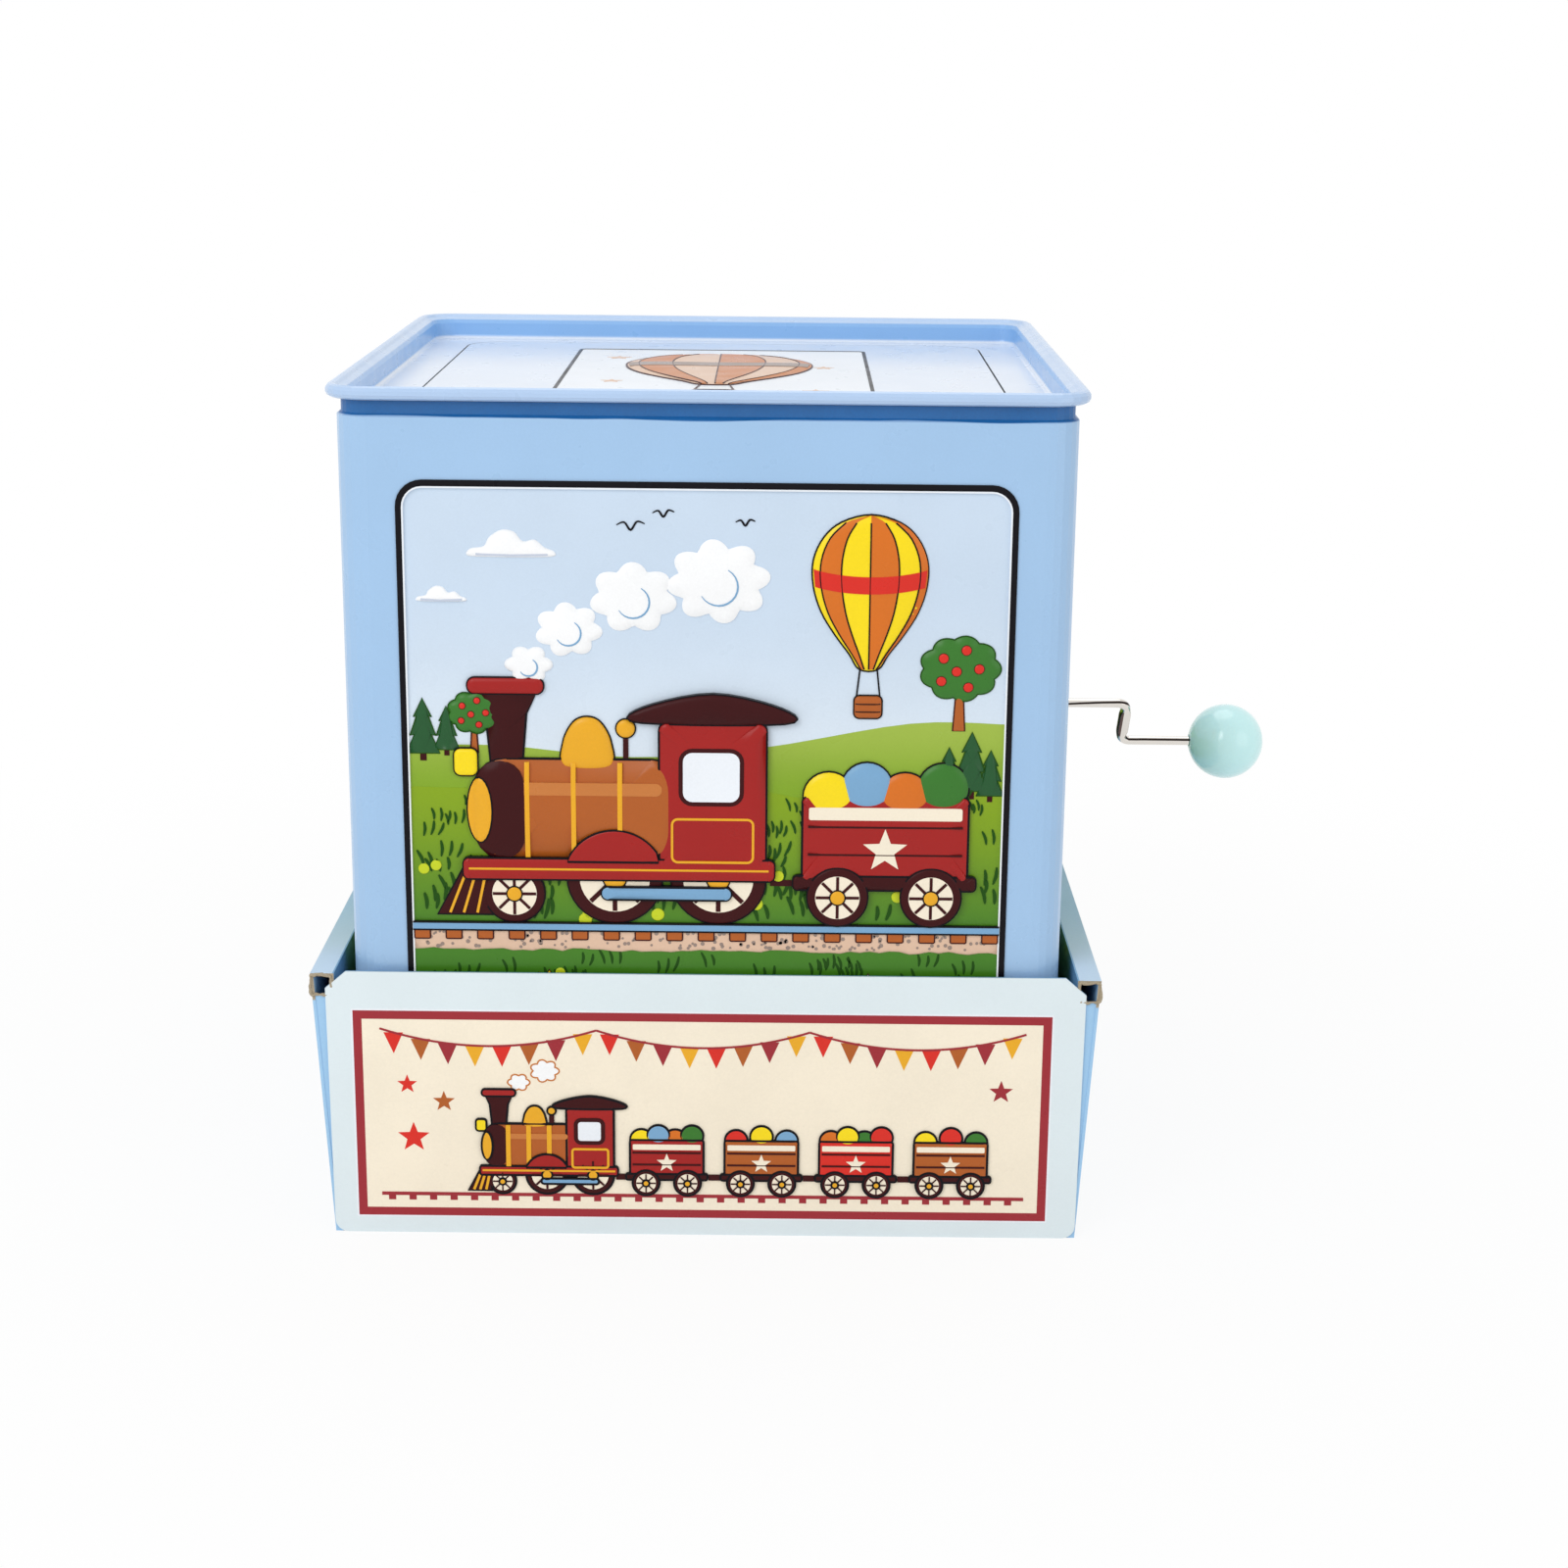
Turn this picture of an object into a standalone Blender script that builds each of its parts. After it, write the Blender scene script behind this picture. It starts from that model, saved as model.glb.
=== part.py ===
"""A tin jack-in-the-box with a hand crank and a music movement, standing in a folded card display tray.

+X points to the crank, +Y to the back and +Z up. The origin is the middle of the tray's underside.
Lengths are in metres. The crank's worm turns the drum, the drum's cam frees the latch, and the sprung
figure lifts the lid.
"""

import math

import bmesh
import bpy
from mathutils import Matrix, Vector

MM = 0.001
CLEAR = 0.3 * MM
RUN = 0.3 * MM

# Display tray
CARD = 0.6 * MM
TRAY_FRONT_GAP = 1.8 * MM
TRAY_SIDE_GAP_FOOT = 2.6 * MM
TRAY_SIDE_GAP_TOP = 3.0 * MM
FOLD_WIDTH_FOOT = 1.7 * MM
FOLD_WIDTH_TOP = 4.5 * MM
PANEL_HEIGHT = 53.8 * MM
PANEL_FLARE = 0.4 * MM
PANEL_CHAMFER_WIDTH = 4.0 * MM
PANEL_CHAMFER_HEIGHT = 3.4 * MM
PANEL_FOOT_RADIUS = 2.5 * MM
WALL_BELOW_PANEL = 0.5 * MM
MOUTH_HEIGHT = 4.4 * MM

# Tin case and its top frame
TIN_WIDTH = 136.0 * MM
TIN_HEIGHT = 163.9 * MM
TIN_SHEET = 0.4 * MM
TIN_CORNER = 6.0 * MM
NECK_HEIGHT = 2.3 * MM
NECK_STEP = 0.8 * MM
NECK_SLOPE = 0.5 * MM
BEAD_RADIUS = 1.25 * MM
BEAD_REACH = 2.0 * MM
BEAD_START_DEGREES = -145.0
BEAD_END_DEGREES = 150.0
BEAD_STEPS = 9
RECESS_DEPTH = 5.4 * MM
RECESS_FILLET = 1.0 * MM
BASE_FLANGE = 5.0 * MM

# Lid and its hinge
LID_SIDE_MARGIN = 11.0 * MM
LID_FRONT_MARGIN = 11.0 * MM
LID_BACK_MARGIN = 8.0 * MM
LID_CORNER = 8.0 * MM
LID_GAP = 0.4 * MM
HINGE_SETBACK = 12.5 * MM
HINGE_DROP = 2.8 * MM
HINGE_SHEET = 0.6 * MM
HINGE_PIN_RADIUS = 0.75 * MM
HINGE_PIN_HEAD = 1.2 * MM
HINGE_PIN_HEAD_LENGTH = 0.6 * MM
EAR_INSET = 7.0 * MM
EAR_RADIUS = 2.5 * MM
LUG_HALF_WIDTH = 3.4 * MM
LUG_BELOW_PIN = 3.0 * MM
LUG_FLANGE = 5.0 * MM

# Worm and worm wheel
CRANK_BELOW_RIM = 73.9 * MM
WORM_LEAD = 3.456 * MM
WORM_PITCH_RADIUS = 3.0 * MM
WORM_TIP_RADIUS = 3.7 * MM
WORM_ROOT_RADIUS = 2.0 * MM
WORM_ROOT_WIDTH = 1.7 * MM
WORM_TIP_WIDTH = 0.8 * MM
WORM_THREAD_TURNS = 4
GEAR_TEETH = 20
GEAR_WIDTH = 2.4 * MM
GEAR_ROOT_DEPTH = 1.6 * MM
GEAR_ROOT_WIDTH = 1.9 * MM
GEAR_TIP_WIDTH = 0.8 * MM
GEAR_HUB_RADIUS = 3.0 * MM

# Music drum, axle and release cam
DRUM_STANDOFF = 14.0 * MM
DRUM_RADIUS = 9.0 * MM
DRUM_WALL = 1.0 * MM
DRUM_END = 1.5 * MM
DRUM_LENGTH = 32.0 * MM
DRUM_FROM_GEAR = 2.8 * MM
PIN_HEIGHT = 0.8 * MM
DRUM_ROWS = 18
DRUM_STEPS = 24
PIN_INSET = 0.55 * MM
AXLE_RADIUS = 1.0 * MM
AXLE_OVERRUN = 1.4 * MM
CLIP_RADIUS = 2.4 * MM
CLIP_WIDTH = 0.5 * MM
CAM_RADIUS = 5.0 * MM
CAM_LOBE_RADIUS = 13.0 * MM
CAM_LOBE_WIDTH = 1.6 * MM
CAM_WIDTH = 2.2 * MM
CAM_FROM_DRUM = 1.3 * MM
CAM_PLUG_DEPTH = 1.2 * MM

# Movement frame, comb and rivets
FRAME_SHEET = 0.8 * MM
FRAME_BELOW_CRANK = 44.9 * MM
FRAME_ABOVE_CRANK = 13.0 * MM
FRAME_TONGUE = 11.0 * MM
FRAME_EAR_GAP = 0.9 * MM
FRAME_EAR_REACH = 5.5 * MM
FRAME_BACK_GAP = 3.2 * MM
EAR_BELOW_AXLE = 12.0 * MM
EAR_ABOVE_AXLE = 9.0 * MM
RIVET_RADIUS = 1.0 * MM
RIVET_HEAD_RADIUS = 2.0 * MM
RIVET_HEAD_HEIGHT = 0.8 * MM
RIVET_EDGE = 3.5 * MM
COMB_THICKNESS = 0.8 * MM
COMB_OUTSET = 8.1 * MM
COMB_TINES = 18
COMB_SLOT = 0.4 * MM
COMB_ROOT = 12.0 * MM
COMB_FOOT = 2.0 * MM
CLAMP_THICKNESS = 1.5 * MM
CLAMP_INSET = 1.0 * MM
COMB_SCREW_RADIUS = 1.0 * MM
COMB_SCREW_HEAD = 2.4 * MM
COMB_SCREW_HEAD_HEIGHT = 1.2 * MM
COMB_SCREW_SPACING = 20.0 * MM

# Latch
PIVOT_ABOVE_DRUM = 43.1 * MM
PIVOT_OUTSET = 2.5 * MM
PIVOT_RADIUS = 1.0 * MM
PIVOT_SHOULDER = 1.7 * MM
PIVOT_HEAD = 2.0 * MM
PIVOT_HEAD_HEIGHT = 0.7 * MM
LEVER_THICKNESS = 0.8 * MM
LEVER_HUB = 3.2 * MM
LEVER_ARM = 3.4 * MM
FINGER_OVERLAP = 0.8 * MM
FINGER_WIDTH = 1.6 * MM
NOSE_HEIGHT = 0.8 * MM
NOSE_RISE = 1.3 * MM
NOSE_HOLD = 3.0 * MM
TAIL_REACH = 9.0 * MM
TAIL_HEIGHT = 2.4 * MM
CATCH_DROP = 7.2 * MM
CATCH_SHEET = 0.6 * MM
CATCH_WIDTH = 5.0 * MM
CATCH_LIP = 4.4 * MM
CATCH_FLANGE = 5.0 * MM
CATCH_TO_ARM = 0.7 * MM
LATCH_SPRING_WIRE = 0.25 * MM
LATCH_SPRING_RADIUS = 1.3 * MM
LATCH_SPRING_LENGTH = 15.0 * MM
LATCH_SPRING_CURLS = 8
SPRING_POST_RADIUS = 0.8 * MM

# Crank
CRANK_WIRE_RADIUS = 0.95 * MM
CRANK_REACH = 19.15 * MM
CRANK_ARM = 12.8 * MM
CRANK_LEAN_DEGREES = 38.0
CRANK_BEND = 1.9 * MM
CRANK_FLAT_WIDTH = 1.3 * MM
CRANK_FLAT_THICKNESS = 0.75 * MM
CRANK_FLAT_RUN = 2.0 * MM
KNOB_RADIUS = 8.0 * MM
KNOB_FROM_ARM = 22.65 * MM
KNOB_BORE_DEPTH = 12.5 * MM
BUSH_RADIUS = 2.2 * MM
BUSH_FLANGE = 3.4 * MM
BUSH_FLANGE_WIDTH = 0.5 * MM
BUSH_PROUD = 0.2 * MM
SUPPORT_HALF_WIDTH = 4.0 * MM
SUPPORT_ABOVE = 5.1 * MM
SUPPORT_FLANGE = 7.0 * MM
SUPPORT_FROM_DRUM = 10.1 * MM
RETAINER_RADIUS = 2.0 * MM
RETAINER_WIDTH = 1.1 * MM

# Figure, its spring and its sleeve
FIGURE_BELOW_LID = 4.5 * MM
HEAD_RADII = (27.0 * MM, 24.5 * MM, 23.5 * MM)
HEAD_FORWARD = 1.0 * MM
MUZZLE_RADII = (12.0 * MM, 10.0 * MM, 9.5 * MM)
MUZZLE_FORWARD = 23.0 * MM
MUZZLE_DOWN = 7.0 * MM
EAR_RADII = (9.0 * MM, 4.5 * MM, 9.0 * MM)
EAR_OUT = 20.5 * MM
EAR_UP = 13.5 * MM
EYE_RADIUS = 2.3 * MM
EYE_OUT = 9.5 * MM
EYE_UP = 5.0 * MM
NOSE_RADII = (4.0 * MM, 2.6 * MM, 2.8 * MM)
NOSE_UP = 3.5 * MM
TORSO_HEIGHT = 34.0 * MM
TORSO_RADIUS = 24.5 * MM
TORSO_NECK_UP = 28.0 * MM
ARM_RADIUS = 6.6 * MM
PAW_RADIUS = 7.0 * MM
SHOULDER_OUT = 20.0 * MM
SHOULDER_FORWARD = 4.0 * MM
SHOULDER_UP = 23.0 * MM
PAW_OUT = 17.0 * MM
PAW_FORWARD = 22.0 * MM
PAW_UP = 12.5 * MM
BOW_HALF_WIDTH = 11.0 * MM
BOW_RADIUS = 4.6 * MM
BOW_WAIST = 1.9 * MM
BOW_FORWARD = 18.0 * MM
BOW_UP = 24.5 * MM
PLATE_THICKNESS = 1.5 * MM
PLATE_RADIUS = 24.0 * MM
CUP_RADIUS = 26.0 * MM
CUP_SHEET = 0.8 * MM
CUP_HEIGHT = 5.4 * MM
SPRING_WIRE_RADIUS = 0.7 * MM
SPRING_RADIUS = 19.5 * MM
SPRING_CURLS = 9
SLEEVE_WALL = 1.0 * MM
SLEEVE_FOOT_RADIUS = 24.0 * MM
SLEEVE_FOLD_DEPTH = 4.6 * MM
SLEEVE_FOLDS = 7
SLEEVE_FOLD_STEPS = 4

# Places worked out from the sizes above
TIN_HALF = TIN_WIDTH / 2
TRAY_DEPTH = TIN_HALF + TRAY_FRONT_GAP + CARD
WALL_HEIGHT = PANEL_HEIGHT - WALL_BELOW_PANEL
WALL_IN_FOOT = TIN_HALF + TRAY_SIDE_GAP_FOOT
WALL_IN_TOP = TIN_HALF + TRAY_SIDE_GAP_TOP
WALL_OUT_FOOT = WALL_IN_FOOT + FOLD_WIDTH_FOOT
WALL_OUT_TOP = WALL_IN_TOP + FOLD_WIDTH_TOP
TIN_FOOT_Z = CARD + CLEAR
RIM_TOP_Z = TIN_FOOT_Z + TIN_HEIGHT
BEAD_X = TIN_HALF + BEAD_REACH - BEAD_RADIUS
BEAD_Z = RIM_TOP_Z - BEAD_RADIUS
CASE_TOP_Z = BEAD_Z - BEAD_RADIUS - CLEAR
TOP_Z = RIM_TOP_Z - RECESS_DEPTH
LEDGE_FOOT_Z = TOP_Z - TIN_SHEET
RECESS_OUT = TIN_HALF - NECK_STEP - TIN_SHEET - CLEAR
LID_HALF_X = TIN_HALF - LID_SIDE_MARGIN
LID_FRONT_Y = LID_FRONT_MARGIN - TIN_HALF
LID_BACK_Y = TIN_HALF - LID_BACK_MARGIN
LID_MIDDLE_Y = (LID_FRONT_Y + LID_BACK_Y) / 2
LID_HALF_Y = (LID_BACK_Y - LID_FRONT_Y) / 2
HINGE_Y = LID_BACK_Y - HINGE_SETBACK
HINGE_Z = TOP_Z - HINGE_DROP
CASE_IN = TIN_HALF - TIN_SHEET
FRAME_OUT_X = CASE_IN - CLEAR
FRAME_IN_X = FRAME_OUT_X - FRAME_SHEET
CRANK_Z = RIM_TOP_Z - CRANK_BELOW_RIM
FRAME_FOOT_Z = CRANK_Z - FRAME_BELOW_CRANK
GEAR_PITCH_RADIUS = GEAR_TEETH * WORM_LEAD / math.tau
GEAR_TIP_RADIUS = GEAR_PITCH_RADIUS + WORM_PITCH_RADIUS - WORM_ROOT_RADIUS - RUN
DRUM_X = FRAME_IN_X - DRUM_STANDOFF
DRUM_Z = CRANK_Z - WORM_PITCH_RADIUS - GEAR_PITCH_RADIUS
DRUM_BACK_Y = -GEAR_WIDTH / 2 - DRUM_FROM_GEAR
DRUM_FRONT_Y = DRUM_BACK_Y - DRUM_LENGTH
CAM_BACK_Y = DRUM_FRONT_Y - CAM_FROM_DRUM
CAM_Y = CAM_BACK_Y - CAM_WIDTH / 2
FRONT_EAR_IN_Y = CAM_BACK_Y - CAM_WIDTH - FRAME_EAR_GAP
FRONT_EAR_OUT_Y = FRONT_EAR_IN_Y - FRAME_SHEET
BACK_EAR_IN_Y = GEAR_WIDTH / 2 + FRAME_BACK_GAP
BACK_EAR_OUT_Y = BACK_EAR_IN_Y + FRAME_SHEET
PIVOT_X = DRUM_X + PIVOT_OUTSET
PIVOT_Z = DRUM_Z + PIVOT_ABOVE_DRUM
LIP_TOP_Z = LEDGE_FOOT_Z - CATCH_DROP
TAIL_X = PIVOT_X + TAIL_REACH - LATCH_SPRING_RADIUS
POST_Z = PIVOT_Z + TAIL_HEIGHT / 2 + LATCH_SPRING_LENGTH + SPRING_POST_RADIUS
CRANK_ARM_X = TIN_HALF + CRANK_REACH
CRANK_LEAN = math.radians(CRANK_LEAN_DEGREES)
HANDLE_Y = CRANK_ARM * math.sin(CRANK_LEAN)
HANDLE_Z = CRANK_Z - CRANK_ARM * math.cos(CRANK_LEAN)
KNOB_X = CRANK_ARM_X + KNOB_FROM_ARM
SUPPORT_IN_X = DRUM_X - SUPPORT_FROM_DRUM
RETAINER_IN_X = SUPPORT_IN_X - FRAME_SHEET - RUN
WORM_BORE = CRANK_WIRE_RADIUS + RUN
BUSH_IN_X = FRAME_IN_X - CLEAR - BUSH_FLANGE_WIDTH
HEAD_Z = LEDGE_FOOT_Z - FIGURE_BELOW_LID - HEAD_RADII[2]
TORSO_FOOT_Z = HEAD_Z - HEAD_RADII[2] - TORSO_HEIGHT + HEAD_RADII[2] / 4
PLATE_FOOT_Z = TORSO_FOOT_Z - CLEAR - PLATE_THICKNESS
CUP_FOOT_Z = TIN_FOOT_Z + TIN_SHEET + CLEAR
CUP_FLOOR_Z = CUP_FOOT_Z + CUP_SHEET

CORNER_STEPS = 6
ROUND_STEPS = 24
SMALL_STEPS = 16
NOSE_STEPS = 8
CURL_STEPS = 10
SLEEVE_STEPS = 20
SMOOTH_ANGLE = math.radians(35)


def srgb(red, green, blue):
    """A colour given as 0 to 255 on the screen, as the linear values that a shader takes."""
    return [((value / 255 + 0.055) / 1.055) ** 2.4 for value in (red, green, blue)]


# Finishes: colour, roughness, metallic
BLUE_TIN = (srgb(170, 203, 235), 0.35, 0.0)
PALE_TIN = (srgb(227, 234, 246), 0.35, 0.0)
BARE_TIN = (srgb(190, 190, 186), 0.35, 1.0)
BLUE_CARD = (srgb(214, 229, 236), 0.65, 0.0)
STEEL = (srgb(176, 178, 180), 0.35, 1.0)
CHROME = (srgb(214, 212, 208), 0.12, 1.0)
BRASS = (srgb(201, 164, 92), 0.3, 1.0)
WHITE_PLASTIC = (srgb(232, 230, 222), 0.45, 0.0)
AQUA_PLASTIC = (srgb(190, 230, 231), 0.15, 0.0)
BLACK_PLASTIC = (srgb(24, 22, 22), 0.2, 0.0)
TAN_PLUSH = (srgb(196, 146, 92), 0.9, 0.0)
CREAM_PLUSH = (srgb(240, 222, 190), 0.9, 0.0)
RED_CLOTH = (srgb(178, 42, 40), 0.85, 0.0)
BLUE_CLOTH = (srgb(120, 168, 214), 0.85, 0.0)


def clear_scene():
    for obj in list(bpy.data.objects):
        bpy.data.objects.remove(obj, do_unlink=True)


def axis_empty(name, place, parent=None):
    """An empty on a joint's axis, which carries the pieces of one body."""
    empty = bpy.data.objects.new(name, None)
    bpy.context.collection.objects.link(empty)
    empty.location = Vector(place)
    if parent:
        empty.parent = parent
        empty.location = Vector(place) - world_place(parent)
    return empty


def world_place(empty):
    """Where an empty stands: the empties are only moved, never turned."""
    place = Vector(empty.location)
    while empty.parent:
        empty = empty.parent
        place += empty.location
    return place


def carry(obj, body):
    """Hangs an object, modelled in place, on its body's empty."""
    obj.parent = body
    obj.matrix_parent_inverse = Matrix.Translation(-world_place(body))
    return obj


def new_mesh_object(name, bm):
    bmesh.ops.recalc_face_normals(bm, faces=bm.faces)
    mesh = bpy.data.meshes.new(name)
    bm.to_mesh(mesh)
    bm.free()
    obj = bpy.data.objects.new(name, mesh)
    bpy.context.collection.objects.link(obj)
    return obj


def painted(obj, finish):
    """Gives the object a material of its own."""
    colour, roughness, metallic = finish
    material = bpy.data.materials.new(obj.name)
    material.use_nodes = True
    shader = material.node_tree.nodes["Principled BSDF"]
    shader.inputs["Base Color"].default_value = (*colour, 1.0)
    shader.inputs["Roughness"].default_value = roughness
    shader.inputs["Metallic"].default_value = metallic
    obj.data.materials.append(material)
    return obj


def part(name, bm, finish, body, smooth=True):
    obj = new_mesh_object(name, bm)
    if smooth:
        obj.data.shade_smooth()
        obj.data.set_sharp_from_angle(angle=SMOOTH_ANGLE)
    return carry(painted(obj, finish), body)


def helper(name, bm):
    """A shape that only takes part in a Boolean."""
    obj = new_mesh_object(name, bm)
    obj.hide_render = True
    obj.display_type = "WIRE"
    return obj


def combine(obj, bm, operation):
    """Joins a shape to an object, or cuts it away, with a Boolean."""
    modifier = obj.modifiers.new(operation.lower(), "BOOLEAN")
    modifier.operation = operation
    modifier.solver = "EXACT"
    modifier.object = helper(f"{obj.name}_{operation.lower()}_{len(obj.modifiers)}", bm)
    return obj


def rounded_loop(half_x, half_y, radius, z, middle_y=0.0, steps=CORNER_STEPS):
    """A level rectangle with round corners, anticlockwise from above."""
    loop = []
    for corner, (sign_x, sign_y) in enumerate(((1, 1), (-1, 1), (-1, -1), (1, -1))):
        for step in range(steps + 1):
            angle = math.pi / 2 * (corner + step / steps)
            x = sign_x * (half_x - radius) + radius * math.cos(angle)
            y = sign_y * (half_y - radius) + radius * math.sin(angle)
            loop.append(Vector((x, middle_y + y, z)))
    return loop


def square_loop(half, z):
    """A loop parallel to the tin's walls, whose corners share the case's corner centres."""
    return rounded_loop(half, half, TIN_CORNER - TIN_HALF + half, z)


def loft(loops, ring=False):
    """Faces between loops of equally many points, closed into a ring or capped at both ends."""
    bm = bmesh.new()
    rows = [[bm.verts.new(point) for point in loop] for loop in loops]
    pairs = list(zip(rows, rows[1:]))
    if ring:
        pairs.append((rows[-1], rows[0]))
    for near, far in pairs:
        for index, vert in enumerate(near):
            after = (index + 1) % len(near)
            bm.faces.new((vert, near[after], far[after], far[index]))
    if not ring:
        bm.faces.new(rows[0][::-1])
        bm.faces.new(rows[-1])
    return bm


def along(axis, distance, across, up):
    """A point from its distance along an axis and its two other coordinates in X, Y, Z order."""
    if axis == "X":
        return Vector((distance, across, up))
    if axis == "Y":
        return Vector((across, distance, up))
    return Vector((across, up, distance))


def extruded(outline, axis, low, high):
    """A prism: an outline in the two other coordinates, between two places along an axis."""
    return loft([[along(axis, place, u, v) for u, v in outline] for place in (low, high)])


def turned(profile, axis, middle, steps=ROUND_STEPS, ring=False):
    """A solid of revolution. The profile's points are (radius, place along the axis)."""
    loops = []
    for radius, place in profile:
        loop = []
        for step in range(steps):
            angle = math.tau * step / steps
            u = middle[0] + radius * math.cos(angle)
            v = middle[1] + radius * math.sin(angle)
            loop.append(along(axis, place, u, v))
        loops.append(loop)
    return loft(loops, ring)


def disc(axis, middle, radius, low, high, steps=SMALL_STEPS):
    return turned([(radius, low), (radius, high)], axis, middle, steps)


def collar(axis, middle, bore, radius, low, high, steps=SMALL_STEPS):
    """A plain ring or tube."""
    section = [(bore, low), (radius, low), (radius, high), (bore, high)]
    return turned(section, axis, middle, steps, ring=True)


def merged(*meshes):
    """Several bmeshes that don't meet, as the parts of one Boolean operand."""
    whole = bmesh.new()
    for bm in meshes:
        mesh = bpy.data.meshes.new("merged")
        bm.to_mesh(mesh)
        bm.free()
        whole.from_mesh(mesh)
        bpy.data.meshes.remove(mesh)
    return whole


def drill(obj, axis, holes, low, high):
    """Cuts round holes, each (u, v, radius), between two places along an axis."""
    cutters = [disc(axis, (u, v), radius, low, high) for u, v, radius in holes]
    return combine(obj, merged(*cutters), "DIFFERENCE")


def arc(middle, radius, start, end, steps):
    """Points on an arc, with the angles in degrees."""
    points = []
    for step in range(steps + 1):
        angle = math.radians(start + (end - start) * step / steps)
        points.append((middle[0] + radius * math.cos(angle), middle[1] + radius * math.sin(angle)))
    return points


def ball(middle, radii, across=ROUND_STEPS, up=SMALL_STEPS):
    """An ellipsoid standing on its Z axis."""
    bm = bmesh.new()
    bmesh.ops.create_uvsphere(bm, u_segments=across, v_segments=up, radius=1.0)
    bmesh.ops.scale(bm, vec=Vector(radii), verts=bm.verts)
    bmesh.ops.translate(bm, vec=Vector(middle), verts=bm.verts)
    return bm


def grown(radii):
    """Radii of the hollow that an ellipsoid needs in its neighbour."""
    return tuple(radius + CLEAR for radius in radii)


# Display tray


def wall_out_x(z):
    """The outer face of the tray's side wall at a height."""
    return WALL_OUT_FOOT + (WALL_OUT_TOP - WALL_OUT_FOOT) * z / WALL_HEIGHT


def wall_in_x(z):
    """The face of the tray's side wall towards the tin at a height."""
    return WALL_IN_FOOT + (WALL_IN_TOP - WALL_IN_FOOT) * z / WALL_HEIGHT


def tray_wall_outline(side):
    """The side wall's fold: up the outer face, over the top and down the inner face."""
    outline = [
        (WALL_OUT_FOOT, 0),
        (WALL_OUT_TOP, WALL_HEIGHT),
        (WALL_IN_TOP, WALL_HEIGHT),
        (WALL_IN_FOOT, CARD / 2),
        (WALL_IN_FOOT + CARD, CARD / 2),
        (WALL_IN_TOP + CARD, WALL_HEIGHT - CARD),
        (WALL_OUT_TOP - CARD, WALL_HEIGHT - CARD),
        (WALL_OUT_FOOT - CARD, 0),
    ]
    return [(side * x, z) for x, z in outline]


def tray_panel_outline():
    """The front or back panel, with chamfered top corners and rounded foot corners."""
    half_foot = WALL_OUT_FOOT
    half_top = WALL_OUT_FOOT + PANEL_FLARE
    foot = arc((half_foot - PANEL_FOOT_RADIUS, PANEL_FOOT_RADIUS), PANEL_FOOT_RADIUS, -90, 0, 4)
    right = foot + [
        (half_top, PANEL_HEIGHT - PANEL_CHAMFER_HEIGHT),
        (half_top - PANEL_CHAMFER_WIDTH, PANEL_HEIGHT),
    ]
    left = [(-x, z) for x, z in reversed(right)]
    return right + left


def tray_tab_outline(side):
    """The glue tab that closes the end of a side wall's hollow, up to its open mouth."""
    top = WALL_HEIGHT - MOUTH_HEIGHT
    outline = [
        (wall_in_x(0) + CARD / 2, CARD / 2),
        (wall_out_x(0) - CARD / 2, CARD / 2),
        (wall_out_x(top) - CARD / 2, top),
        (wall_in_x(top) + CARD / 2, top),
    ]
    return [(side * x, z) for x, z in outline]


def make_tray(body):
    edge = CARD / 2
    half_x = WALL_OUT_FOOT - edge
    half_y = TRAY_DEPTH - edge
    floor = [(-half_x, -half_y), (half_x, -half_y), (half_x, half_y), (-half_x, half_y)]
    tray = part("display_tray", extruded(floor, "Z", 0, CARD), BLUE_CARD, body, smooth=False)
    for side in (1, -1):
        wall_end = TRAY_DEPTH - edge
        combine(tray, extruded(tray_wall_outline(side), "Y", -wall_end, wall_end), "UNION")
    for way in (1, -1):
        for side in (1, -1):
            near = way * (TRAY_DEPTH - CARD * 0.75)
            far = way * (TRAY_DEPTH - CARD * 1.75)
            combine(tray, extruded(tray_tab_outline(side), "Y", near, far), "UNION")
        panel = extruded(tray_panel_outline(), "Y", way * TRAY_DEPTH, way * (TRAY_DEPTH - CARD))
        combine(tray, panel, "UNION")
    return tray


# Tin case, base and top frame


def rivet_places():
    """Where the movement's rivets go through the right wall, as (y, z)."""
    foot = FRAME_FOOT_Z + RIVET_EDGE + RIVET_HEAD_RADIUS
    return [
        (BACK_EAR_IN_Y - RIVET_EDGE, foot),
        (FRONT_EAR_IN_Y + RIVET_EDGE - RIVET_HEAD_RADIUS, foot),
        (FRONT_EAR_IN_Y + FRAME_TONGUE - RIVET_EDGE, CRANK_Z + FRAME_ABOVE_CRANK + RIVET_EDGE),
        (0, CRANK_Z + SUPPORT_ABOVE + SUPPORT_FLANGE - RIVET_EDGE),
    ]


def make_case(body):
    neck_out = TIN_HALF - NECK_STEP
    neck_z = CASE_TOP_Z - NECK_HEIGHT
    loops = [
        square_loop(TIN_HALF, TIN_FOOT_Z),
        square_loop(TIN_HALF, neck_z - NECK_SLOPE),
        square_loop(neck_out, neck_z),
        square_loop(neck_out, CASE_TOP_Z),
        square_loop(neck_out - TIN_SHEET, CASE_TOP_Z),
        square_loop(neck_out - TIN_SHEET, neck_z),
        square_loop(CASE_IN, neck_z - NECK_SLOPE),
        square_loop(CASE_IN, TIN_FOOT_Z),
    ]
    case = part("tin_case", loft(loops, ring=True), BLUE_TIN, body)
    holes = [(y, z, RIVET_RADIUS + CLEAR) for y, z in rivet_places()]
    holes.append((0, CRANK_Z, BUSH_RADIUS + CLEAR))
    return drill(case, "X", holes, FRAME_OUT_X, TIN_HALF + TIN_SHEET)


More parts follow.
